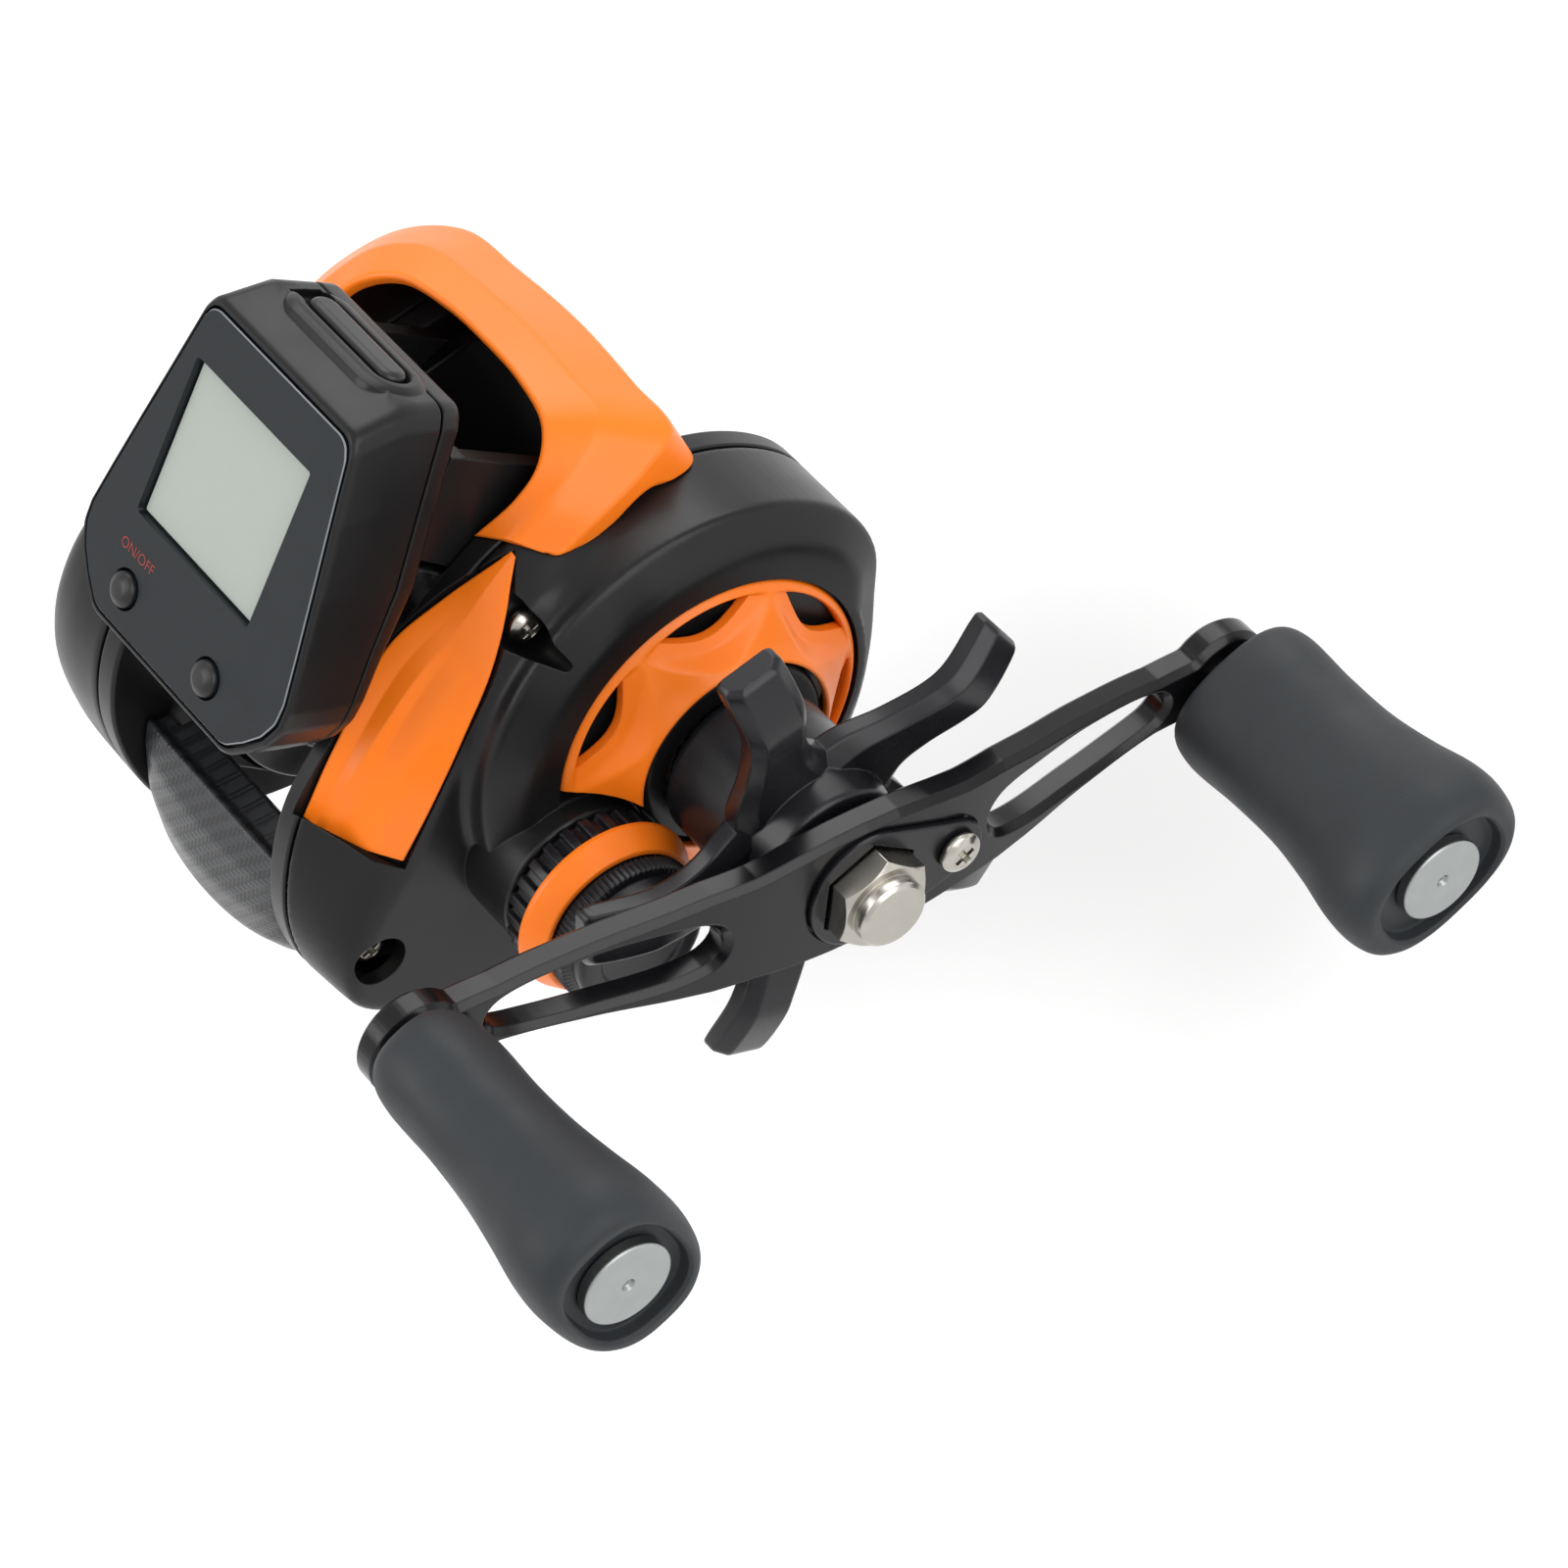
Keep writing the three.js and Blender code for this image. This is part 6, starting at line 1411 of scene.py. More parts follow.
    def case_form(self) -> Piece:
        """A plate whose outline changes from rim to face, blended with the round, chamfered gear case.

        Returns:
            The case, still solid.
        """
        block = Field(np.array([S.case_inner - 0.7, -29.0, -29.0]),
                      np.array([S.case_end + 0.9, 49.5, 33.0]), 0.36)
        outlines = (plate(RIGHT_PLATE, 120), plate(RIGHT_FACE, 120), case_outline(140))
        rim, face, ring = (block.within(outline) for outline in outlines)
        middle = (S.case_inner + S.case_face) / 2
        between = rim + (face - rim) * S.case_blend
        low = np.clip((block.x - S.case_inner) / (middle - S.case_inner), 0, 1)
        high = np.clip((block.x - middle) / (S.case_face - middle), 0, 1)
        rear = rim + (between - rim) * low ** 1.25 + (face - between) * high ** 1.1
        rear = smooth_max(rear * 0.93, block.x - S.case_face, 1.3)
        fall = (S.case_radius - S.case_end_radius) / (S.case_end - S.case_shoulder)
        slope = (ring + (block.x - S.case_shoulder) * fall) / math.hypot(1, fall)
        chamfer = smooth_max(ring, slope, 0.5)
        core = block.round(S.case_least, S.shaft_forward)
        drum = smooth_max(np.minimum(chamfer, core), block.x - S.case_end, 0.55)
        whole = smooth_min(rear, drum, 1.6)
        return block.surface("gear_case", smooth_max(whole, S.case_inner - block.x, 0.35))


@dataclass
class Dome(Assembly):
    """The bright cover round the handle shaft's hub, with six lens-shaped slots."""

    start: float = 28.1
    radius: float = 18.5
    hole: float = 11.5
    rise: float = 6.1
    skin: float = 1.1
    slots: int = 6
    slot_outer: float = 17.4
    slot_inner: float = 14.5
    slot_half: float = 19.5
    slot_first: float = -155.0
    slot_step: float = 55.0
    bite: float = 11.0
    scallop: float = 1.5
    petal: float = 4.2

    def build(self) -> None:
        """A turned skin, opened by the slots and by the cast control knob's circle."""
        shares = np.array([[0, 1], [0.14, 1], [0.3, 0.94], [0.52, 0.82], [0.76, 0.7],
                           [1, self.hole / self.radius]])
        outer = shares * (self.rise, self.radius) + (self.start, 0)
        inner = outer[::-1] - (self.skin, 0)
        inner[:, 1] = np.maximum(inner[:, 1], self.hole)
        inner[-1] = (self.start, self.radius - self.skin)
        inner = np.delete(inner, -2, 0)
        corners = np.vstack([outer, inner])
        radii = [0.15, 1.2, 5, 8, 8, 0.35] + [0.3] * len(inner)
        profile = divided(rounded(corners, radii, 5), 0.3)
        rings = turned_rings(profile, S.shaft_forward, 0, 300)
        shell = grid_piece("hub_dome", self.scalloped(rings), Ends.JOINED)
        cuts = [self.slot(self.slot_first + self.slot_step * k) for k in range(self.slots)]
        carve(shell, *cuts, rod("bite", self.start - 1, self.start + self.rise + 1, self.bite))
        self.fit(shell, ORANGE, "dome_cover", smooth=40)

    def scalloped(self, rings: Array) -> Array:
        """Sinks the skin below its rim: most at each slot's middle and nothing at the ridges.

        Args:
            rings: The turned skin's points.

        Returns:
            The points with the hollows.
        """
        y, z = rings[..., 1] - S.shaft_forward, rings[..., 2]
        turn = (np.degrees(np.arctan2(z, y)) - self.slot_first + self.slot_step / 2) % 360
        slotted = turn < self.slots * self.slot_step
        place = np.where(slotted, turn % self.slot_step, 0.0) / self.slot_step * 2 - 1
        radius = np.hypot(y, z)
        petal = self.hole + 0.8 + self.petal * place ** 2
        band = np.clip((radius - petal) / 1.1, 0, 1)
        band = band * np.clip((self.slot_outer + 0.25 - radius) / 0.4, 0, 1)
        sunk = rings.copy()
        sunk[..., 0] -= self.scallop * (1 - np.abs(place) ** 1.7) * band
        return sunk

    def slot(self, angle: float) -> Piece:
        """A lens: an arc about the shaft outside and a parabola inside, carried straight along x.

        Args:
            angle: Where its middle lies, in degrees.

        Returns:
            The cutter.
        """
        share = np.linspace(-1, 1, 25)
        outside = polar(self.slot_outer, np.radians(angle + self.slot_half * share))
        back = share[::-1][1:-1]
        radius = self.slot_inner + (self.slot_outer - self.slot_inner) * back ** 2
        inside = polar(radius, np.radians(angle + self.slot_half * back))
        outline = np.vstack([outside, inside]) + (S.shaft_forward, 0)
        return prism("slot", outline, self.start - OVERRUN, self.start + self.rise + OVERRUN)


# Controls on the handle side

@dataclass
class CastControl(Assembly):
    """The knob on the spool axis: coarse splines, a tapered bright ring, a fine knurl and a cap."""

    start: float = 32.2
    spline_end: float = 35.3
    spline_radius: float = 9.6
    spline_depth: float = 0.7
    splines: int = 26
    ring: Pair = (35.6, 38.8)
    ring_radii: Pair = (10.4, 9.1)
    core: float = 8.2
    knurl_end: float = 41.0
    knurl_radius: float = 8.7
    knurls: int = 84
    knurl_depth: float = 0.32
    cap_end: float = 43.2
    cap_radius: float = 7.6
    bore: float = 6.9

    def build(self) -> None:
        """Builds the knob in one and its ring."""
        self.fit(self.knob(), BLACK_METAL, "cast_control_knob", body="cast_control", smooth=30)
        first, last = self.ring
        rear, front = self.ring_radii
        corners = np.array([[first, self.core + GAP], [first, rear], [first + 0.7, rear], [last, front],
                            [last, self.core + GAP]])
        profile = rounded(corners, [0.1, 0.25, 0.6, 0.3, 0.1], 5)
        band = grid_piece("tension_ring", turned_rings(profile, 0, 0, 144), Ends.JOINED)
        self.fit(band, ORANGE, "cast_control_ring", body="cast_control")

    def knob(self) -> Piece:
        """A turned profile whose radius ripples with the angle in the splined and knurled bands.

        Returns:
            The knob.
        """
        inner = [[self.start, self.bore], [self.start, self.spline_radius],
                 [self.spline_end, self.spline_radius], [self.spline_end, self.core],
                 [self.ring[1] + GAP, self.core], [self.ring[1] + GAP, self.knurl_radius],
                 [self.knurl_end, self.knurl_radius], [self.knurl_end + 0.3, self.cap_radius],
                 [self.cap_end, self.cap_radius], [self.cap_end, 5.2], [self.cap_end - 0.35, 4.9],
                 [self.cap_end - 0.35, HUB]]
        profile = rounded(inner, [0.1, 0.35, 0.35, 0.1, 0.1, 0.2, 0.2, 0.1, 0.7, 0.15, 0.15, 0], 4,
                          closed=False)
        floor = S.neck_end + 0.9
        profile = np.vstack([[floor, HUB], [floor, self.bore], profile])
        x, radius = profile[:, :1], profile[:, 1:]
        angle = full_turn(self.knurls * 8)[None]
        coarse = np.clip((0.62 - np.abs((angle * self.splines / (2 * math.pi)) % 1 - 0.5) * 2) / 0.2, 0, 1)
        fine = np.abs((angle * self.knurls / (2 * math.pi)) % 1 - 0.5) * 2
        in_spline = (x <= self.spline_end + 0.01) & (radius > self.core + 0.1)
        in_spline = in_spline * (radius - self.core) / 1.4
        in_knurl = ((x >= self.ring[1] + 0.2) & (radius > self.cap_radius + 0.2)) * 1.0
        radius = radius - self.spline_depth * (1 - coarse) * np.clip(in_spline, 0, 1)
        radius = radius - self.knurl_depth * fine * in_knurl
        return grid_piece("tension_knob", ripple_rings(x, radius, angle))


@dataclass
class Star(Assembly):
    """The star drag: a round hub and five arms whose tips are bent outwards as finger pads."""

    start: float = 34.1
    barrel: float = 9.4
    thick: float = 3.0
    arms: int = 5
    first: float = 78.0
    tip: float = 28.1
    tip_half: float = 3.5
    root_half: float = 6.4
    bend: float = 19.0
    root_rise: float = 1.2
    bend_rise: float = 3.5
    tip_rise: float = 1.9
    lean: float = 9.0
    collar: float = 8.0
    collar_end: float = 51.6

    def build(self) -> None:
        """Joins the arms to the hub and bores it for the shaft."""
        outer = S.arm_inner + self.thick
        corners = np.array([[self.start, HUB], [self.start, self.barrel * 0.94],
                            [self.start + 0.9, self.barrel], [outer, self.barrel],
                            [outer + 0.9, self.barrel * 0.93], [self.collar_end, self.collar],
                            [self.collar_end, HUB]])
        hub = turned("drag_star", corners, [0, 0.3, 1, 0.6, 2.5, 0.9, 0], 5, (S.shaft_forward, 0), 144)
        body = joined(hub, *(self.arm(self.first + k * 360 / self.arms) for k in range(self.arms)))
        carve(body, rod("bore", self.start - 1, self.collar_end + 1, S.shaft_bore, S.shaft_forward, 0))
        self.fit(body, BLACK_METAL, "star_drag", body="star")

    def arm(self, angle: float) -> Piece:
        """A section with two chamfered edges on a line that rises, bends back and leans at its root.

        Args:
            angle: Where the arm points, in degrees.

        Returns:
            The arm.
        """
        low, high, end = self.root_rise, self.bend_rise, self.tip_rise
        middle = (self.barrel + self.bend) / 2
        stations = np.array([
            [self.barrel * 0.6, low * 0.6, self.lean, self.root_half * 1.15, 1.25],
            [self.barrel + 0.6, low, self.lean, self.root_half * 0.86, 1.2],
            [middle, (low + high) / 2, self.lean * 0.5, self.tip_half + 0.45, 1.1],
            [self.bend, high, self.lean * 0.1, self.tip_half, 1.1],
            [self.bend + 2.6, high + 0.1, 0, self.tip_half, 1.15],
            [self.tip - 1.4, end + 0.5, 0, self.tip_half, 1.1],
            [self.tip - 0.4, end + 0.3, 0, self.tip_half * 0.96, 1.0],
            [self.tip, end + 0.4, 0, self.tip_half * 0.82, 0.8]])
        line = spline(stations, 0, fine=7, even=False)
        radius, lift, lean, half, thick = (line[:, k, None] for k in range(5))
        across = np.array([[-1, 1, 1, 0.62, -0.62, -1]])
        share = np.array([[0, 0, 0.6, 1, 1, 0.6]])
        turn = np.radians(angle + lean)
        sections = np.stack([
            S.arm_inner + lift + self.thick * thick * share,
            S.shaft_forward + radius * np.cos(turn) - across * half * np.sin(turn),
            radius * np.sin(turn) + across * half * np.cos(turn)], -1)
        return grid_piece("arm", rounded(sections, [0.4, 0.4, 0.45, 0.55, 0.55, 0.45], 4))


@dataclass
class Handle(Assembly):
    """The cranked handle arm with its nut, retainer and two paddle knobs."""

    half: float = 50.0
    angle: float = -31.0
    thick: float = 3.5
    sweep: float = 4.4
    hub: float = 8.2
    inner_half: float = 6.9
    outer_half: float = 3.9
    boss: float = 5.7
    bevel: float = 0.75
    slot: Pair = (18.0, 41.0)
    slot_half: Pair = (2.6, 1.9)
    retainer: Triple = (7.0, 3.3, 1.0)
    retainer_sunk: float = 0.6
    screw_at: float = 11.0
    nut_corners: float = 11.4
    nut_turn: float = 27.0
    nut_height: float = 3.3
    cap_radius: float = 4.0
    cap_height: float = 1.7
    spindle: float = 2.5
    screw_hole: float = 1.5
    strip: float = 1.5

    def build(self) -> None:
        """Builds the arm, nut, retainer and knobs; the shaft and spindles keep their shapes."""
        self.fit(self.arm(), ENAMEL, "handle_arm", body="handle")
        self.fit(self.nut(), NICKEL, "handle_nut", body="handle")
        self.fit(self.lock_plate(), BLACK_METAL, "nut_retainer", body="handle")
        y, z = self.turned_in(np.array([[self.screw_at, 0.0]]))[0]
        seat = S.arm_outer + 1.6 - self.retainer_sunk
        self.fit(pan_head("lock_screw", seat, 2.4, 1.2, y, z, (S.arm_outer - 1.8, 1.2)), NICKEL,
                 "retainer_screw", body="handle")
        self.keep(STEEL, "drive_shaft", "front_knob_spindle", "rear_knob_spindle")
        for name, side, turn in (("front", 1, 0.0), ("rear", -1, 90.0)):
            y, z = self.turned_in(np.array([[self.half * side, 0.0]]))[0]
            Knob(self.nodes, self.axis, name, (y, z), turn).build()

    def turned_in(self, points: Array) -> Array:
        """Turns points along and across the arm into y and z.

        Args:
            points: Places along and across the arm.

        Returns:
            Places in y and z.
        """
        turn = math.radians(self.angle)
        spin = np.array([[math.cos(turn), math.sin(turn)], [-math.sin(turn), math.cos(turn)]])
        return points @ spin + (S.shaft_forward, 0)

    def plan(self) -> Array:
        """The arm's outline: it swells at the hub, tapers along the blades and ends in round bosses.

        Returns:
            The outline along and across the arm.
        """
        near, hub = self.inner_half, self.hub
        blade = np.array([[0, hub], [4, hub * 0.99], [8, (hub * 2 + near) / 3], [13, near * 1.03],
                          [self.slot[0], near], [sum(self.slot) / 2, (near + self.outer_half) / 2],
                          [self.slot[1], self.outer_half]])
        turn = np.linspace(math.pi - math.asin(self.outer_half / self.boss), 0, 22)
        boss = polar(self.boss, turn) + (self.half, 0)
        side = np.vstack([blade, boss])
        right = np.vstack([side, side[:-1][::-1] * (1, -1)])
        return rounded(np.vstack([right, -right[1:-1]]), 2.0, 3)

    def slot_outline(self, side: int) -> Array:
        """A long hole with round ends, wide at the hub and narrow at the knob.

        Args:
            side: Which of the two blades.

        Returns:
            The outline along and across the arm.
        """
        (start, end), (wide, narrow) = self.slot, self.slot_half
        corners = np.array([[start, wide], [start - wide * 0.6, 0], [start, -wide], [end, -narrow],
                            [end + narrow * 0.7, 0], [end, narrow]])
        return spline(corners * side, 90, closed=True)

    def arm(self) -> Piece:
        """A flat arm with bevelled outline and slots, cut into strips and then bent along its length.

        Returns:
            The arm.
        """
        bevel, thick = self.bevel, self.thick
        levels = np.array([[0, bevel * 0.6], [bevel * 0.6, 0], [thick - bevel, 0], [thick, bevel]])
        flat = banded("crank_arm", self.plan(), levels)
        through = np.array([[-1, -bevel - 1], [0, -bevel * 0.6], [bevel * 0.6, 0], [thick - bevel, 0],
                            [thick, -bevel], [thick + 1, -bevel - 1]])
        holes = [banded("slot", self.slot_outline(side), through) for side in (-1, 1)]
        hole = self.spindle + GAP
        holes += [rod("spindle_hole", -1, thick + 1, hole, side * self.half, 0) for side in (-1, 1)]
        holes += [rod("shaft_hole", -1, thick + 1, S.shaft_bore),
                  rod("screw_hole", thick - 2, thick + 1, self.screw_hole, self.screw_at, 0)]
        seat = offset(self.retainer_plan(), 0.2)
        carve(flat, *holes, prism("seat", seat, thick - self.retainer_sunk - 0.2, thick + 1))
        self.strips(flat.data)
        mesh = flat.data
        x, along, across = triples(mesh.vertices, "co").astype(float).T
        drop = spline([[0, 0], [0.22, 0.02], [0.42, 0.3], [0.62, 0.72], [0.84, 1], [1.2, 1.0]], 200)
        fall = self.sweep * np.interp(np.abs(along) / self.half, drop[:, 0], drop[:, 1])
        y, z = self.turned_in(np.stack([along, across], 1)).T
        move_points(mesh, np.stack([S.arm_outer - thick + x - fall, y, z], 1))
        mesh.update()
        return flat

    def strips(self, mesh: bpy.types.Mesh) -> None:
        """Cuts the flat arm across at even steps, so that it can bend.

        Args:
            mesh: The arm's mesh.
        """
        work = bmesh.new()
        work.from_mesh(mesh)
        for place in np.arange(-self.half - self.boss + 1, self.half + self.boss, self.strip):
            everything = [*work.verts, *work.edges, *work.faces]
            bmesh.ops.bisect_plane(work, geom=everything, dist=1e-5, plane_co=(0, place, 0),
                                   plane_no=(0, 1, 0))
        work.to_mesh(mesh)
        work.free()

    def hexagon(self, radius: float) -> Array:
        """Six corners about the shaft."""
        turn = np.radians(self.angle + self.nut_turn + np.arange(6) * 60)
        return polar(radius, turn) + (S.shaft_forward, 0)

    def nut(self) -> Piece:
        """A hexagon met by a turned form that rounds its corners, with a round closed cap.

        Returns:
            The nut.
        """
        start = S.arm_outer + GAP
        end = start + self.nut_height
        radius = self.nut_corners / 2
        corners = [[start - 0.3, HUB], [start - 0.3, radius * 0.97], [start + 0.3, radius * 1.05],
                   [end - 0.75, radius * 1.04], [end, radius * 0.86], [end, HUB]]
        round_off = grid_piece("round_off", turned_rings(corners, S.shaft_forward, 0, 120))
        body = carve(prism("lock_nut", self.hexagon(radius), start, end), round_off, how="INTERSECT")
        top = end + self.cap_height
        corners = [[end - 0.3, HUB], [end - 0.3, self.cap_radius], [top - 0.4, self.cap_radius],
                   [top, self.cap_radius - 0.45], [top, HUB]]
        cap = turned("cap", corners, [0, 0, 0.15, 0.15, 0], 4, (S.shaft_forward, 0), 120)
        return carve(joined(body, cap),
                     rod("thread_bore", start - 1, S.arm_outer + 4.3, 3.5, S.shaft_forward, 0))

    def retainer_plan(self) -> Array:
        """A teardrop along the arm: a large arc round the nut and a small one round the screw.

        Returns:
            The outline along and across the arm.
        """
        radius, end, _ = self.retainer
        first = np.radians(np.linspace(68, 292, 60))
        second = np.radians(np.linspace(-68, 68, 24))
        return np.vstack([polar(radius, first), polar(end, second) + (self.screw_at, 0)])

    def lock_plate(self) -> Piece:
        """The teardrop plate round the nut, with a hole of six sides.

        Returns:
            The plate.
        """
        start = S.arm_outer + GAP - self.retainer_sunk
        body = soft_plate("lock_plate", self.turned_in(self.retainer_plan()), start,
                          start + self.retainer[2], 0.18)
        y, z = self.turned_in(np.array([[self.screw_at, 0.0]]))[0]
        nut = prism("nut_hole", self.hexagon(self.nut_corners / 2 + 0.39), start - 1, start + 3)
        return carve(body, nut, rod("screw_hole", start - 1, start + 3, self.screw_hole, y, z))


@dataclass
class Knob(Assembly):
    """One paddle knob: an oval grip that swells to its end, with a metal cap in a recess."""

    which: str
    middle: Pair
    turn: float
    start: float = 53.0
    length: float = 34.6
    wide: float = 11.0
    narrow: float = 8.3
    square: float = 2.5
    recess: Triple = (7.7, 6.2, 1.7)
    cap: Pair = (4.95, 1.1)
    points: int = 96
    bore: float = 2.8
    bore_end: float = 86.4
    shares: tuple = ((0, 0.62, 0.55), (0.03, 0.77, 0.7), (0.09, 0.83, 0.75), (0.3, 0.81, 0.75),
                     (0.5, 0.82, 0.8), (0.68, 0.9, 0.9), (0.82, 0.99, 0.99), (0.9, 1, 1),
                     (0.965, 0.95, 0.94), (1, 0.84, 0.83))

    def rings(self, rows: Array) -> Array:
        """Ovals of a fixed power: each row gives x and the two half widths.

        Args:
            rows: Rows of x and two half widths.

        Returns:
            The rings, as one grid of points.
        """
        angle = full_turn(self.points)[None]
        power = 2 / self.square
        a = rows[:, 1:2] * np.sign(np.cos(angle)) * np.abs(np.cos(angle)) ** power
        b = rows[:, 2:3] * np.sign(np.sin(angle)) * np.abs(np.sin(angle)) ** power
        turn = math.radians(self.turn)
        y = self.middle[0] + a * math.cos(turn) - b * math.sin(turn)
        z = self.middle[1] + a * math.sin(turn) + b * math.cos(turn)
        return np.stack([np.broadcast_to(rows[:, :1], a.shape), y, z], -1)

    def build(self) -> None:
        """A loft of ovals, hollowed at its end, and the cap."""
        end = self.start + self.length
        rows = np.array(self.shares) * (self.length, self.wide, self.narrow) + (self.start, 0, 0)
        line = spline(rows, 90)
        line = np.vstack([line[0] - (0, 1.2, 1.2), line[0] + (0.12, -0.3, -0.3), line[1:-1],
                          line[-1] - (0, 0.3, 0.3)])
        grip = grid_piece(f"{self.which}_grip", self.rings(line))
        wide, narrow, deep = self.recess
        floor = end - deep
        bowl = np.array([[floor, wide - 0.5, narrow - 0.5], [floor + 0.15, wide - 0.12, narrow - 0.12],
                         [floor + 0.5, wide, narrow], [end - 0.35, wide + 0.1, narrow + 0.1],
                         [end + 0.1, wide + 0.5, narrow + 0.5], [end + 2, wide + 2.4, narrow + 2.4]])
        carve(grip, grid_piece("bowl", self.rings(bowl)),
              rod("bore", self.start - OVERRUN, self.bore_end, self.bore, *self.middle))
        self.fit(grip, RUBBER, f"{self.which}_knob", body=f"{self.which}_grip")
        radius, thick = self.cap
        low, top = floor + GAP, floor + GAP + thick + 0.3
        corners = [[low, HUB], [low, radius], [top, radius], [top, 0.75], [top - 0.5, 0.5],
                   [top - 0.5, HUB]]
        disc = turned(f"{self.which}_grip_cap", corners, [0, 0.1, 0.35, 0.12, 0.1, 0], 5, self.middle, 120)
        self.fit(disc, CAP_METAL, f"{self.which}_knob_cap", body=f"{self.which}_grip")


# Spool and thumb bar

@dataclass
class Spool(Assembly):
    """The turned spool with thin flanges and its shaft."""

    half: float = 10.8
    flange: float = 1.1
    radius: float = 16.8
    drum: float = 9.5
    drum_end: float = 11.6
    hub: float = 3.4
    hub_reach: float = 1.6
    bore: float = 1.8

    def build(self) -> None:
        """A turned profile with a hollow drum and rounded flange rims; its shaft keeps its shape."""
        half, flange, end = self.half, self.flange, self.half + self.hub_reach
        low, seat = self.drum_end - flange * 2.5, half - flange * 2.4
        right = [[seat, self.drum_end], [half - flange, self.radius], [half, self.radius],
                 [half - flange, low], [half - flange * 2, self.hub], [end, self.hub], [end, self.bore]]
        left = [[-x, r] for x, r in right[::-1]]
        corners = np.array(left + [[0, self.drum]] + right)
        soft = np.array([0.1, 0.2, 0.4, 0.5, 0.45, 0.45, 1.0])
        profile = rounded(corners, np.concatenate([soft, [20], soft[::-1]]), 6)
        body = grid_piece("line_spool", turned_rings(profile, 0, 0, 160), Ends.JOINED)
        self.fit(body, BLACK_METAL, "spool", body="spool_group")
        self.keep(STEEL, "spool_shaft")
        self.keep(MAGNET, "counter_magnet")


@dataclass
class ThumbBar(Assembly):
    """The clutch bar behind the spool: a curved shell with a fine weave on it."""

    half: float = 13.2
    top_edge: float = 21.4
    top: float = 12.6
    reach: float = 29.8
    end_reach: float = 25.6
    skin: float = 2.4
    lip: float = 3.6

    def build(self) -> None:
        """Sections along x whose depth follows half an ellipse, cut clear of the frame's walls."""
        share = np.sin(np.linspace(-math.pi / 2, math.pi / 2, 71))
        bow = np.sqrt(np.maximum(1 - share ** 2 * 0.999, 0))
        reach = self.end_reach + (self.reach - self.end_reach) * bow
        deep = reach - self.top_edge
        top, skin, edge = self.top, self.skin, -self.top_edge
        corners = [
            (edge, top), (edge - deep * 0.42, top * 0.8), (edge - deep * 0.8, top * 0.5),
            (-reach, top * 0.14), (-reach + deep * 0.1, -top * 0.14), (-reach + deep * 0.34, -top * 0.28),
            (-reach + deep * 0.4 + skin * 0.5, -top * 0.14), (-reach + skin * 1.1 + deep * 0.1, top * 0.12),
            (edge - deep * 0.42 + skin * 0.5, top * 0.5), (edge + skin * 0.4, top * 0.52),
            (edge + self.lip, top * 0.55), (edge + self.lip, top * 0.78), (edge + skin * 0.2, top * 0.9)]
        rows = [np.stack(np.broadcast_arrays(self.half * share, y, z), -1) for y, z in corners]
        radii = [0.7, 6, 6, 4, 2, 0.5, 0.5, 3, 3, 2, 0.6, 0.6, 1]
        body = grid_piece("clutch_bar", rounded(np.stack(rows, 1), radii, 5))
        for side in (-1, 1):
            inner, outer = sorted((side * (S.wall_inner - GAP), side * (self.half + OVERRUN)))
            room = box_outline(-S.frame_rear - GAP, 0, 0, top + OVERRUN)
            carve(body, prism("wall_slot", room, inner, outer))
        self.fit(body, WEAVE, "thumb_bar", body="thumb", smooth=45)


# Hood

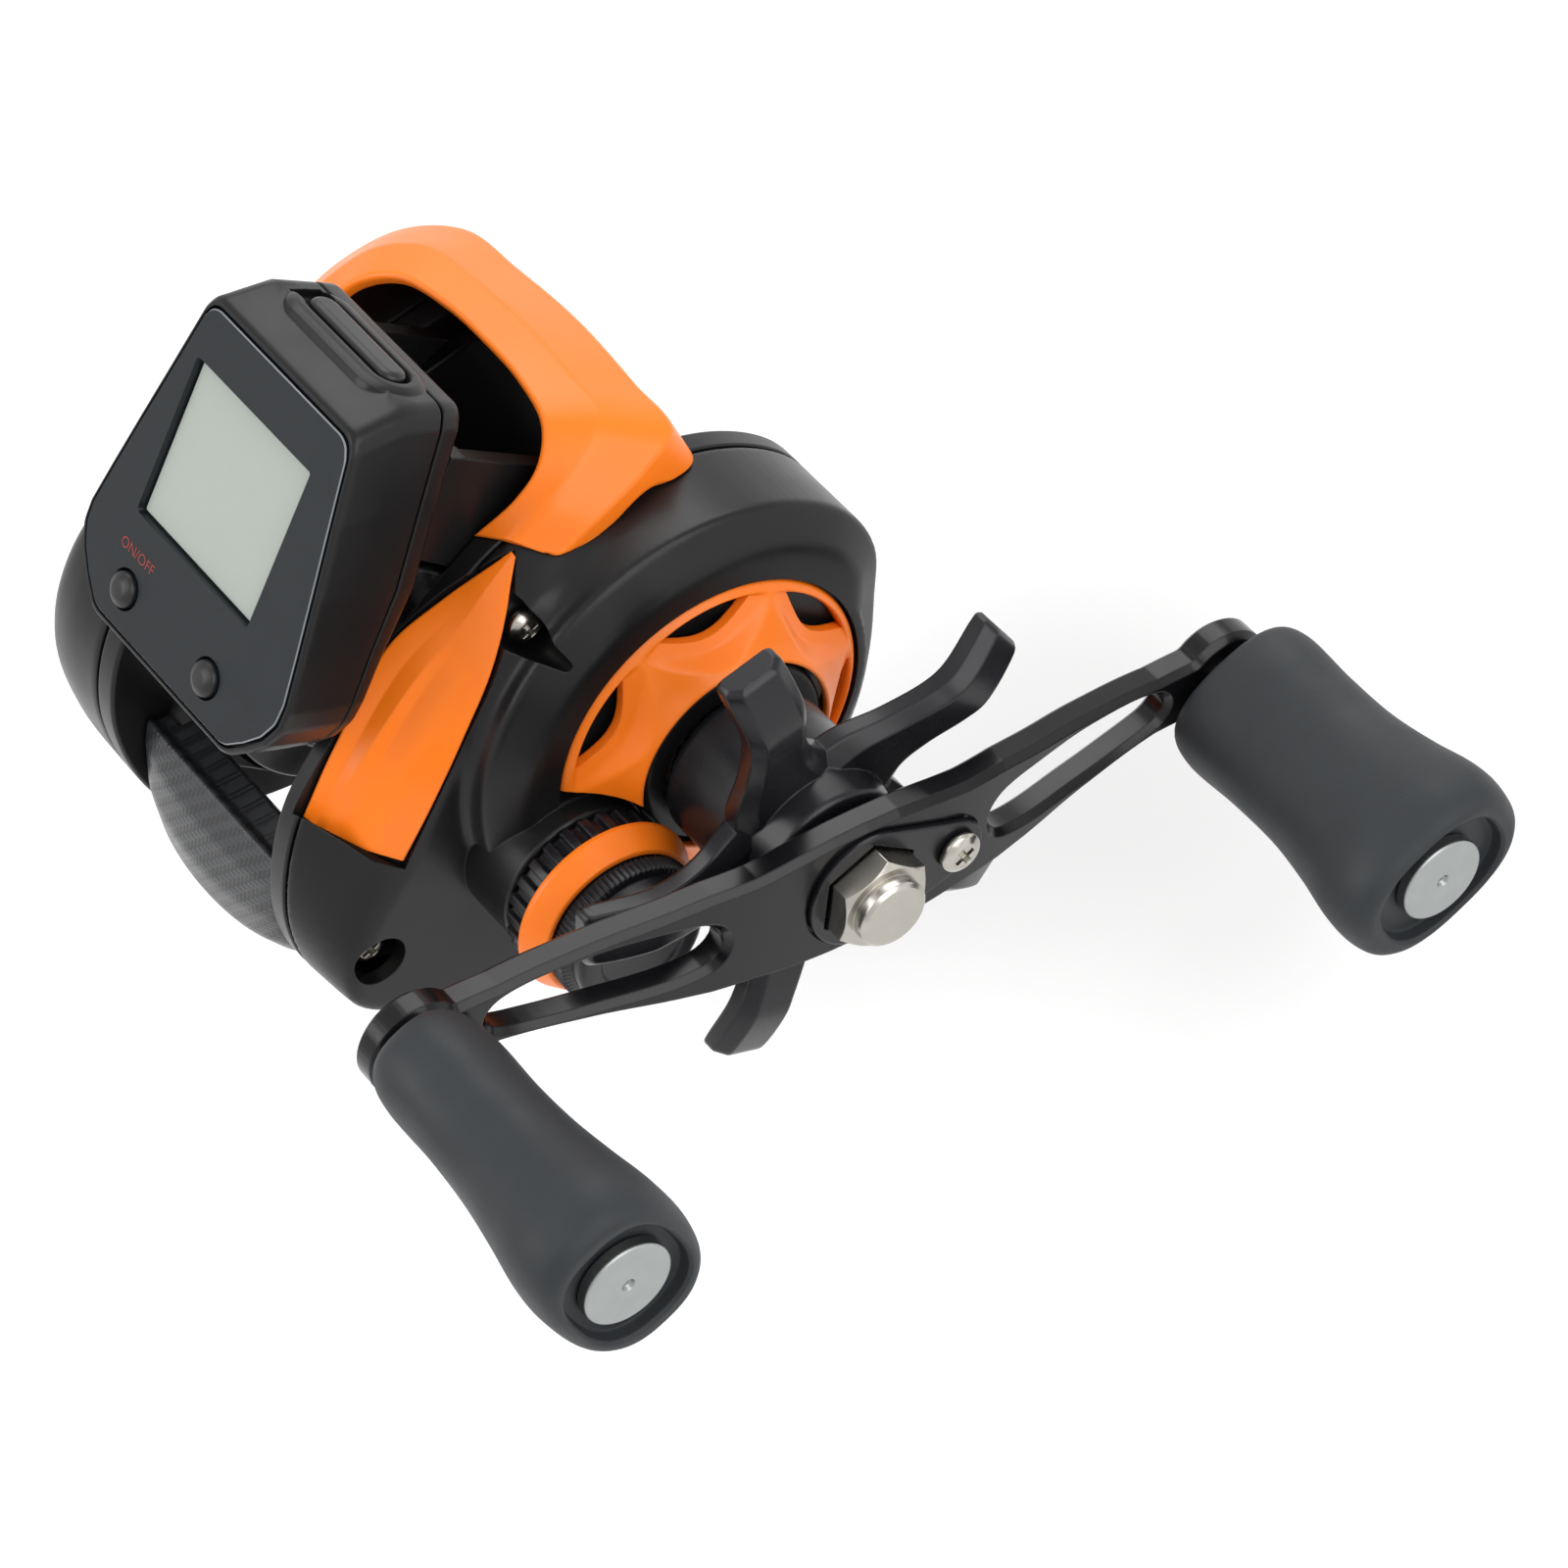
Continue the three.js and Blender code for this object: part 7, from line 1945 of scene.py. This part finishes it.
@dataclass
class Hood(Assembly):
    """The bright front hood: a band swept round the opening, from the right leg to the left edge."""

    inner: tuple = ((13.6, 16.3, 31.0), (15.3, 21.5, 33.0), (15.2, 25.4, 34.3), (12.6, 28.7, 35.4),
                    (7.0, 30.2, 36.0), (0.0, 30.6, 36.2), (-7.0, 30.4, 36.3), (-13.6, 29.0, 36.3),
                    (-17.2, 25.4, 36.0), (-18.0, 20.5, 35.0), (-17.8, 15.5, 33.5))
    outer: tuple = ((21.2, 20.8, 28.2), (21.2, 26.5, 28.2), (20.2, 33.0, 27.4), (18.2, 38.2, 26.8),
                    (11.0, 38.9, 27.4), (0.0, 39.5, 27.5), (-10.5, 39.0, 27.5), (-19.4, 38.1, 27.4),
                    (-24.2, 33.6, 28.6), (-26.2, 26.0, 29.6), (-26.2, 15.8, 29.2))
    lower: tuple = ((21.2, 20.8, 25.6), (21.2, 26.5, 25.6), (20.2, 33.0, 24.4), (18.0, 37.6, 16.0),
                    (11.0, 38.3, 11.6), (0.0, 38.9, 11.0), (-10.5, 38.4, 11.6), (-19.2, 37.5, 16.0),
                    (-24.0, 33.4, 22.0), (-26.2, 26.0, 25.8), (-26.2, 15.8, 26.0))
    thick: float = 1.9
    crown: float = 1.4

    def build(self) -> None:
        """Sections between three curves, crowned on top and turned down at the rim."""
        lines = (self.inner, self.outer, self.lower)
        p, outside, rim = (spline(line, 0, fine=14, even=False) for line in lines)
        across = (outside - p) * (1, 1, 0)
        across /= np.linalg.norm(across, axis=1, keepdims=True)
        middle = (p + outside) / 2 + (0, 0, self.crown)
        thick, up = self.thick, np.array([0, 0, 1.0])
        sections = np.stack([
            p, middle, outside, rim, rim - across * thick, outside - across * thick - up * thick * 1.1,
            middle - across * thick * 0.4 - up * thick, p - up * thick], 1)
        band = grid_piece("bright_hood", rounded(sections, [0.7, 3.0, 1.1, 0.7, 0.5, 1.0, 4, 0.5], 5))
        self.fit(carve(band, *self.rooms()), ORANGE, "front_hood", smooth=50)

    def rooms(self) -> list[Piece]:
        """The rooms of the gear case, the frame, the palm side and the inner gear plate, with the gap.

        Returns:
            The cutters.
        """
        rim, face, rear, wide = plate(RIGHT_PLATE), plate(RIGHT_FACE), S.case_inner - GAP, S.wall_outer
        rows = ((rim, rear), (rim + (face - rim) * S.case_blend, 20.25), (face, S.case_face + GAP))
        drum = [[rear, -GAP], [S.case_shoulder + GAP, -GAP], [S.case_end + GAP, 4.2 - GAP]]
        front, high = S.frame_front + GAP, S.frame_rise * 0.9
        return [joined(grid_piece("rear", [at_x(offset(o, GAP), x) for o, x in rows]),
                       banded("round", case_outline(), drum)),
                prism("frame_room", box_outline(0, front, S.floor_bottom, high), -wide - GAP, wide + GAP),
                prism("palm_room", offset(plate(LEFT_PLATE), GAP), -30.9, -wide),
                joined(prism("plate_room", offset(rim, GAP), wide, S.case_inner),
                       prism("round_room", offset(case_outline(), GAP), wide, S.case_inner))]


# Display housing, shaped in its own frame: x across, y up the face, z out of the face

@dataclass
class Display(Assembly):
    """The tilted housing of the line counter with its face plate, window, buttons and port plug."""

    place: Triple = (0.8, 1.1, 45.8)
    tilt: float = 34.7
    top: float = 15.0
    bottom: float = 21.4
    half: float = 18.3
    plate_thick: float = 1.2
    margin: float = 0.9
    depth: float = 10.9
    back: float = 14.0
    wall: float = 1.5
    draft: float = 1.3
    top_rise: float = 2.7
    rise_depth: float = 5.9
    window: Triple = (-1.2, 10.5, 9.2)
    glass_sunk: float = 0.8
    button_down: float = 17.2
    button_spread: float = 7.9
    button_radius: float = 1.95
    button_rise: float = 1.0
    plug: Quad = (7.6, 3.3, 0.9, 8.2)
    plug_sunk: float = 0.55
    hinge_up: float = 17.9
    tuck: tuple = ((1.0, 0.0), (10.0, 2.2), (22.0, 3.3))
    shares: tuple = ((0, 1), (0.62, 1), (0.68, 0.97), (0.72, 0.88), (0.8, 0.4), (0.88, -0.05),
                     (0.95, -0.35), (1, -0.58), (0.995, -0.69), (0.93, -0.8), (0.82, -0.9), (0.7, -0.985),
                     (0.64, -1), (0, -1))

    def tucked(self, piece: Piece) -> None:
        """Draws the back in below: it rises with how far down the face and how deep a point lies.

        Args:
            piece: A part of the housing, in the display's own frame.
        """
        mesh = piece.data
        points = triples(mesh.vertices, "co")
        down, lift = zip(*self.tuck)
        points[:, 2] += np.interp(-points[:, 1], down, lift) * np.clip((-points[:, 2] - 4.5) / 9.5, 0, 1)
        move_points(mesh, points)
        mesh.update()

    def settle(self, piece: Piece) -> Piece:
        """Turns a piece from the display's own frame into the reel's.

        Args:
            piece: A piece in the display's own frame.

        Returns:
            The same piece.
        """
        tilt = Matrix.Rotation(math.radians(self.tilt), 4, "X")
        piece.data.transform(Matrix.Translation(self.place) @ tilt)
        return piece

    def outline(self, grown: float, depth: float = 0.0) -> Array:
        """The face's outline, grown all round, drawn in and lifted at its top with the depth.

        Args:
            grown: How far outwards.
            depth: How deep the ring lies.

        Returns:
            The x, y outline.
        """
        drawn = self.draft * depth / self.depth
        lifted = self.top_rise * min(depth / self.rise_depth, 1)
        middle, half_height = (self.top - self.bottom) / 2, (self.top + self.bottom) / 2
        a, b = np.array(self.shares, float).T
        share = (np.where(b > 0, b * self.top, b * self.bottom) - middle) / half_height
        y = middle + share * (half_height + grown) + np.maximum(share, 0) * lifted
        right = np.stack([a * (self.half + grown - drawn), y], 1)
        left = right[1:-1][::-1] * (-1, 1)
        return rounded(np.vstack([right, left]), 2.6, 5)

    def stack(self, name: str, rows: list[Triple]) -> Piece:
        """Rings one over another: each row gives how far the outline is grown, its depth and its z."""
        return grid_piece(name, [at_z(self.outline(grown, depth), z) for grown, depth, z in rows])

    def pane(self, grown: float) -> Array:
        """The window's rectangle, grown all round."""
        x, wide, high = self.window
        return box_outline(x - wide - grown, x + wide + grown, -high - grown, high + grown)

    def opening(self, name: str, grown: float, low: float, high: float, corner: float = 0.35) -> Piece:
        """A cutter in the window's shape."""
        return upright(name, rounded(self.pane(grown), corner, 5), low, high)

    def button_holes(self, radius: float, low: float, high: float) -> list[Piece]:
        """Round cutters at the two buttons."""
        rings = [circle(radius, x, -self.button_down, 64) for x in self.button_places()]
        return [upright("button_hole", ring, low, high) for ring in rings]

    def button_places(self) -> list[float]:
        """Where the two buttons stand across the face."""
        return [self.window[0] - self.button_spread, self.window[0] + self.button_spread]

    def build(self) -> None:
        """Builds each piece; the board, cell and socket inside keep their shapes."""
        seat = -(self.plate_thick + GAP)
        self.face_plate()
        self.shell(seat)
        self.back_cover()
        self.panel(seat)
        self.buttons()
        self.port_plug()
        self.keep(BOARD, "circuit_board", "hall_sensor")
        self.keep(MAGNET, "battery")
        self.keep(STEEL, "charge_socket")
        self.keep(SATIN_BLACK, "display_bracket", bevel=0.4)

    def face_plate(self) -> None:
        """A dark plate whose rim is a fine chamfer in a bright silver finish, a painted highlight, opened
        for the window and buttons.
        """
        chamfer = 0.12
        plate_made = self.stack("dark_face",
                                [(0, 0, -self.plate_thick), (0, 0, -chamfer), (-chamfer, 0, 0)])
        steps = ((0, -5), (0, -0.25), (0.18, 0.2))
        rings = [at_z(rounded(self.pane(grown), 0.35, 5), z) for grown, z in steps]
        carve(plate_made, grid_piece("window", rings),
              *self.button_holes(self.button_radius + GAP, -5, OVERRUN))
        x, wide, high = self.window
        faces = plate_made.data.polygons
        # The outer chamfer faces take the bright silver finish: a painted highlight along the rim.
        slanted = np.abs(triples(faces, "normal")[:, 2] - 0.7) < 0.2
        away = np.abs(triples(faces, "center") - (x, 0, 0))
        outside = (away[:, 0] > wide + 1.5) | (away[:, 1] > high + 1.5)
        faces.foreach_set("material_index", (slanted & outside).astype(np.int32))
        self.fit(self.settle(plate_made), SMOKED, "display_face_plate", more=(PAINTED_EDGE_HIGHLIGHT,))
        self.label()

    def label(self) -> None:
        """The plain words beside the power button: text turned into a flat mesh."""
        curve = bpy.data.curves.new("power_label", "FONT")
        curve.body = "ON/OFF"
        curve.size = 1.7
        curve.align_x = "CENTER"
        curve.extrude = 0.012
        writer = linked("power_label_text", curve)
        bpy.context.view_layer.update()
        mesh = bpy.data.meshes.new_from_object(writer.evaluated_get(bpy.context.evaluated_depsgraph_get()))
        bpy.data.objects.remove(writer)
        mesh.transform(Matrix.Translation((self.button_places()[0], -self.button_down + 3.6, 0.02)))
        self.fit(self.settle(linked("power_label", mesh)), PRINT_RED)

    def shell(self, seat: float) -> None:
        """Rings with a rolled rim, hollow below and recessed for the face plate.

        Args:
            seat: How high the plate's recess lies.
        """
        m, low = self.margin, self.depth
        sides = [(m, depth, -depth) for depth in (8.4, self.rise_depth, 4.4, 2.9, 1.4, 0.75)]
        rows = [(m - 0.12, low, -low), (m, low, -low + 0.15), *sides, (m - 0.1, 0.45, -0.42),
                (m - 0.34, 0.3, -0.2)]
        body = self.stack("counter_housing", rows)
        front_wall = self.wall - seat
        hollow = self.stack("hollow", [(m - self.wall, low + OVERRUN, -low - OVERRUN),
                                       (m - self.wall, self.rise_depth, -self.rise_depth),
                                       (m - self.wall, front_wall, -front_wall)])
        recess = self.stack("recess", [(GAP, 0, seat), (GAP, 0, OVERRUN)])
        wide, high, deep = 4.4, 2.6, self.plug[3]
        slot = upright("socket_slot", box_outline(-wide, wide, self.top - 4, self.top + 6),
                       -deep - high / 2, -deep + high / 2)
        joined(body, self.plug_rim())
        carve(body, recess, hollow, self.opening("window", 1.3, -8, OVERRUN), slot, self.plug_cutter(),
              self.tail_room(), *self.button_holes(2.9, -8, OVERRUN))
        self.housing(body, "display_front_shell")

    def plug_ring(self, grown: float, y: float, size: float = 1.0) -> Array:
        """The port plug's oblong with round ends, at one height above the housing's top edge.

        Args:
            grown: How far outwards.
            y: Its place up the housing.
            size: Its width as a share.

        Returns:
            The ring's points.
        """
        half, wide, _, deep = self.plug
        radius = wide / 2 * size + grown
        straight = half - wide / 2
        turn = np.linspace(-math.pi / 2, math.pi / 2, 17)
        right = polar(radius, turn) + (straight, 0)
        outline = np.vstack([right, -right])
        return np.column_stack([outline[:, 0], np.full(len(outline), y), outline[:, 1] - deep])

    def plug_cutter(self) -> Piece:
        """A shallow pocket round the plug.

        Returns:
            The cutter.
        """
        surface = self.top + self.top_rise + self.margin
        steps = ((0.35, -0.3 - self.plug_sunk), (0.4, -0.2), (0.55, 0.3), (1.1, 0.8))
        return grid_piece("plug_pocket", [self.plug_ring(grown, surface + up) for grown, up in steps])

    def tail_room(self) -> Piece:
        """Room at the hinged end, where the plug's tail turns in when it opens.

        Returns:
            The cutter.
        """
        half, wide, _, deep = self.plug
        reach, low, side = 2.15, self.hinge_up - 0.5, wide / 2 + 0.4
        outline = rounded(box_outline(-half - reach, -half + 0.6, low, low + 4), 0.5, 4)
        return upright("tail_room", outline, -deep - side, -deep + side)

    def plug_rim(self) -> Piece:
        """A low soft rim round the plug's pocket.

        Returns:
            The rim.
        """
        surface = self.top + self.top_rise + self.margin
        steps = ((2.6, -1.0), (2.4, -0.1), (2.0, 0.18), (1.5, 0.4), (1.1, 0.45))
        return grid_piece("plug_rim", [self.plug_ring(grown, surface + up) for grown, up in steps])

    def port_plug(self) -> None:
        """A domed plug: its oblong closes in along an arc towards the top."""
        base = self.top + self.top_rise + self.margin - self.plug_sunk
        rise = self.plug[2] + self.plug_sunk
        turn = np.linspace(0, math.pi / 2, 9)[:-1]
        rings = [self.plug_ring(-0.1, base), self.plug_ring(0, base + 0.12),
                 self.plug_ring(0, base + rise * 0.5)]
        for angle in turn[1:]:
            up, size = 0.5 + 0.5 * math.sin(angle), 0.35 + 0.65 * math.cos(angle)
            rings.append(self.plug_ring(0, base + rise * up, size))
        plug = grid_piece("port_plug", rings)
        self.fit(self.settle(plug), PLUG_RUBBER, "port_cover", body="port_flap", smooth=60)

    def back_cover(self) -> None:
        """A shallow tray with a rolled edge that closes the housing."""
        m, start = self.margin, self.depth + GAP
        back = self.back
        rows = [(m - 1.6, back, -back), (m - 0.75, back, -back + 0.12), (m - 0.2, 13.6, -back + 0.55),
                (m, 13.1, -back + 1.1), (m, start, -start - 0.15), (m - 0.12, start, -start)]
        body = self.stack("counter_back", rows)
        hollow = self.stack("hollow", [(m - self.wall * 2, 12.5, -self.back + self.wall),
                                       (m - self.wall, start - OVERRUN, -start + OVERRUN)])
        carve(body, hollow)
        self.housing(body, "display_back_cover")

    def housing(self, body: Piece, solid: str) -> None:
        """Draws the back in, sets the body in place and cuts it clear of the plates and the frame.

        Args:
            body: The part of the housing.
            solid: The node that it stands for.
        """
        clear, spread, wide = 0.9, self.back * 2, S.wall_outer
        self.tucked(body)
        carve(self.settle(body), prism("left_clear", offset(plate(LEFT_PLATE), clear), -spread, -wide),
              prism("right_clear", offset(plate(RIGHT_PLATE), clear), wide, spread),
              prism("frame_clear", frame_side(clear), -wide - GAP, wide + GAP))
        self.fit(body, SATIN_BLACK, solid)

    def panel(self, seat: float) -> None:
        """The blank window: a clear lens that stands in the plate's opening on a wider glass.

        Args:
            seat: How high the plate's recess lies.
        """
        lens = self.opening("blank_lcd", -GAP, seat - GAP, -self.glass_sunk, 0.3)
        glass = upright("glass", self.pane(1), seat - 1.6, seat)
        self.fit(self.settle(joined(lens, glass)), LCD, "lcd_panel")

    def buttons(self) -> None:
        """Two domed buttons turned about upright axes, with flanges under the plate."""
        under = -self.plate_thick - GAP * 2
        radius, top = self.button_radius, self.button_rise
        corners = [[under - 0.6, HUB], [under - 0.6, 2.6], [under + 0.02, 2.6], [under + 0.02, radius],
                   [top - 0.5, radius], [top, radius * 0.55], [top + 0.1, HUB]]
        for name, solid, body, x in zip(("power_key", "set_key"), ("on_off_button", "set_button"),
                                        ("power_button", "setting_button"), self.button_places()):
            key = turned(name, corners, [0, 0.15, 0.1, 0.1, 0.6, 1.2, 0], 6, (0, 0), 72)
            upwards = Matrix.Rotation(-math.pi / 2, 4, "Y")
            key.data.transform(Matrix.Translation((x, -self.button_down, 0)) @ upwards)
            self.fit(self.settle(key), PLUG_RUBBER, solid, body=body)


# Stage

@dataclass
class Stage:
    """The pale floor, soft lamps and the camera of the studio."""

    floor_half: float = 6.0
    floor_level: float = 0.0
    eye: Triple = (0.38253, -0.00093, 0.51686)
    right: Triple = (0.57797, 0.72320, -0.37808)
    up: Triple = (-0.58528, 0.69020, 0.42552)
    look: Triple = (-0.56869, 0.02466, -0.82218)
    lens: float = 135.0
    sky_level: float = 0.5
    glow_reach: Pair = (0.4, 2.0)
    glow: Pair = (0.2, 0.6)

    def build(self) -> None:
        """Sets the floor, world, lamps, camera and colour view."""
        self.floor()
        self.world()
        self.lamp("key", (-0.35, -0.75, 1.1), (0.9, 0.9), 9.5)
        self.lamp("fill", (1.1, 0.5, 0.8), (1.2, 1.2), 12.5)
        self.lamp("rim", (-0.6, 0.9, 0.7), (0.8, 0.8), 6.5)
        data = bpy.data.cameras.new("studio_camera")
        data.lens, data.sensor_width, data.clip_start = self.lens, 36.0, 0.01
        camera = linked("studio_camera", data)
        columns = [Vector(self.right), Vector(self.up), -Vector(self.look)]
        turn = Matrix([[c[k] for c in columns] for k in range(3)]).to_4x4()
        camera.matrix_world = Matrix.Translation(self.eye) @ turn
        bpy.context.scene.camera = camera
        bpy.context.scene.view_settings.view_transform = "Standard"

    def floor(self) -> None:
        """A wide level sheet of pale paper."""
        half, z = self.floor_half, self.floor_level
        points = np.array([[-half, -half, z], [half, -half, z], [half, half, z], [-half, half, z]])
        mesh = bpy.data.meshes.new("studio_floor")
        mesh.from_pydata(points.tolist(), [], [(0, 1, 2, 3)])
        floor = linked("studio_floor", mesh)
        paper = bpy.data.materials.new("pale_paper")
        paper.use_nodes = True
        tree = paper.node_tree
        place = node(tree, "TexCoord", {}).outputs["Object"]
        away = node(tree, "VectorMath", {0: place}, operation="LENGTH").outputs["Value"]
        glow = calculated(tree, "MULTIPLY", self.seen(tree),
                          ranged(tree, away, *self.glow_reach, *self.glow))
        inputs = {"Base Color": (0.86, 0.86, 0.86, 1), "Roughness": 0.8, "Emission Color": (1, 1, 1, 1),
                  "Emission Strength": glow}
        fill(tree, tree.nodes["Principled BSDF"], inputs)
        mesh.materials.append(paper)

    def world(self) -> None:
        """An even pale sky that is plain white where it is seen."""
        world = bpy.data.worlds.new("studio_sky")
        bpy.context.scene.world = world
        world.use_nodes = True
        tree = world.node_tree
        level = ranged(tree, self.seen(tree), 0.0, 1.0, self.sky_level, 1.0)
        fill(tree, tree.nodes["Background"], {"Color": (1, 1, 1, 1), "Strength": level})

    def seen(self, tree: Tree) -> Socket:
        """One for what is seen straight, in a reflection or through glass, and nought for plain light.

        Args:
            tree: The nodes of a material or of the world.

        Returns:
            Nought or one.
        """
        rays = node(tree, "LightPath", {}).outputs
        mirrored = calculated(tree, "MAXIMUM", rays["Is Glossy Ray"], rays["Is Transmission Ray"])
        return calculated(tree, "MAXIMUM", rays["Is Camera Ray"], mirrored)

    def lamp(self, name: str, place: Triple, size: Pair, power: float) -> None:
        """A soft box that faces the reel.

        Args:
            name: The lamp's name.
            place: Where it stands.
            size: Its two sides.
            power: Its power in watts.
        """
        data = bpy.data.lights.new(name, "AREA")
        data.shape, data.size, data.size_y, data.energy = "RECTANGLE", size[0], size[1], power
        lamp = linked(name, data)
        lamp.location = place
        lamp.rotation_euler = (Vector((0, 0, 0.03)) - Vector(place)).to_track_quat("-Z", "Y").to_euler()


def lowest_sweep() -> float:
    """How low the knobs come as the handle turns: the shaft's height less their greatest radius.

    Returns:
        The height in metres.
    """
    middle = np.mean(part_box("handle_nut"), axis=0)
    corners = np.array([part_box(name) for name in ("front_knob", "rear_knob")]) - middle
    far = np.abs(corners).max(axis=1)
    return float(middle[2] - np.hypot(far[:, 1], far[:, 2]).max())


def main() -> None:
    """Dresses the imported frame, piece by piece."""
    logging.basicConfig(level=logging.INFO, format="%(message)s")
    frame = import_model()
    low, high = (Vector(corner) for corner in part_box("spool"))
    for part in (Frame, LevelWind, LeftSide, GearSide, Dome, CastControl, Star, Handle, Spool, ThumbBar,
                 Hood, Display):
        log.info("building %s", part.__name__)
        part(frame["nodes"], (low + high) / 2).build()
    Stage(floor_level=lowest_sweep() - GAP * MM).build()


if __name__ == "__main__":
    main()
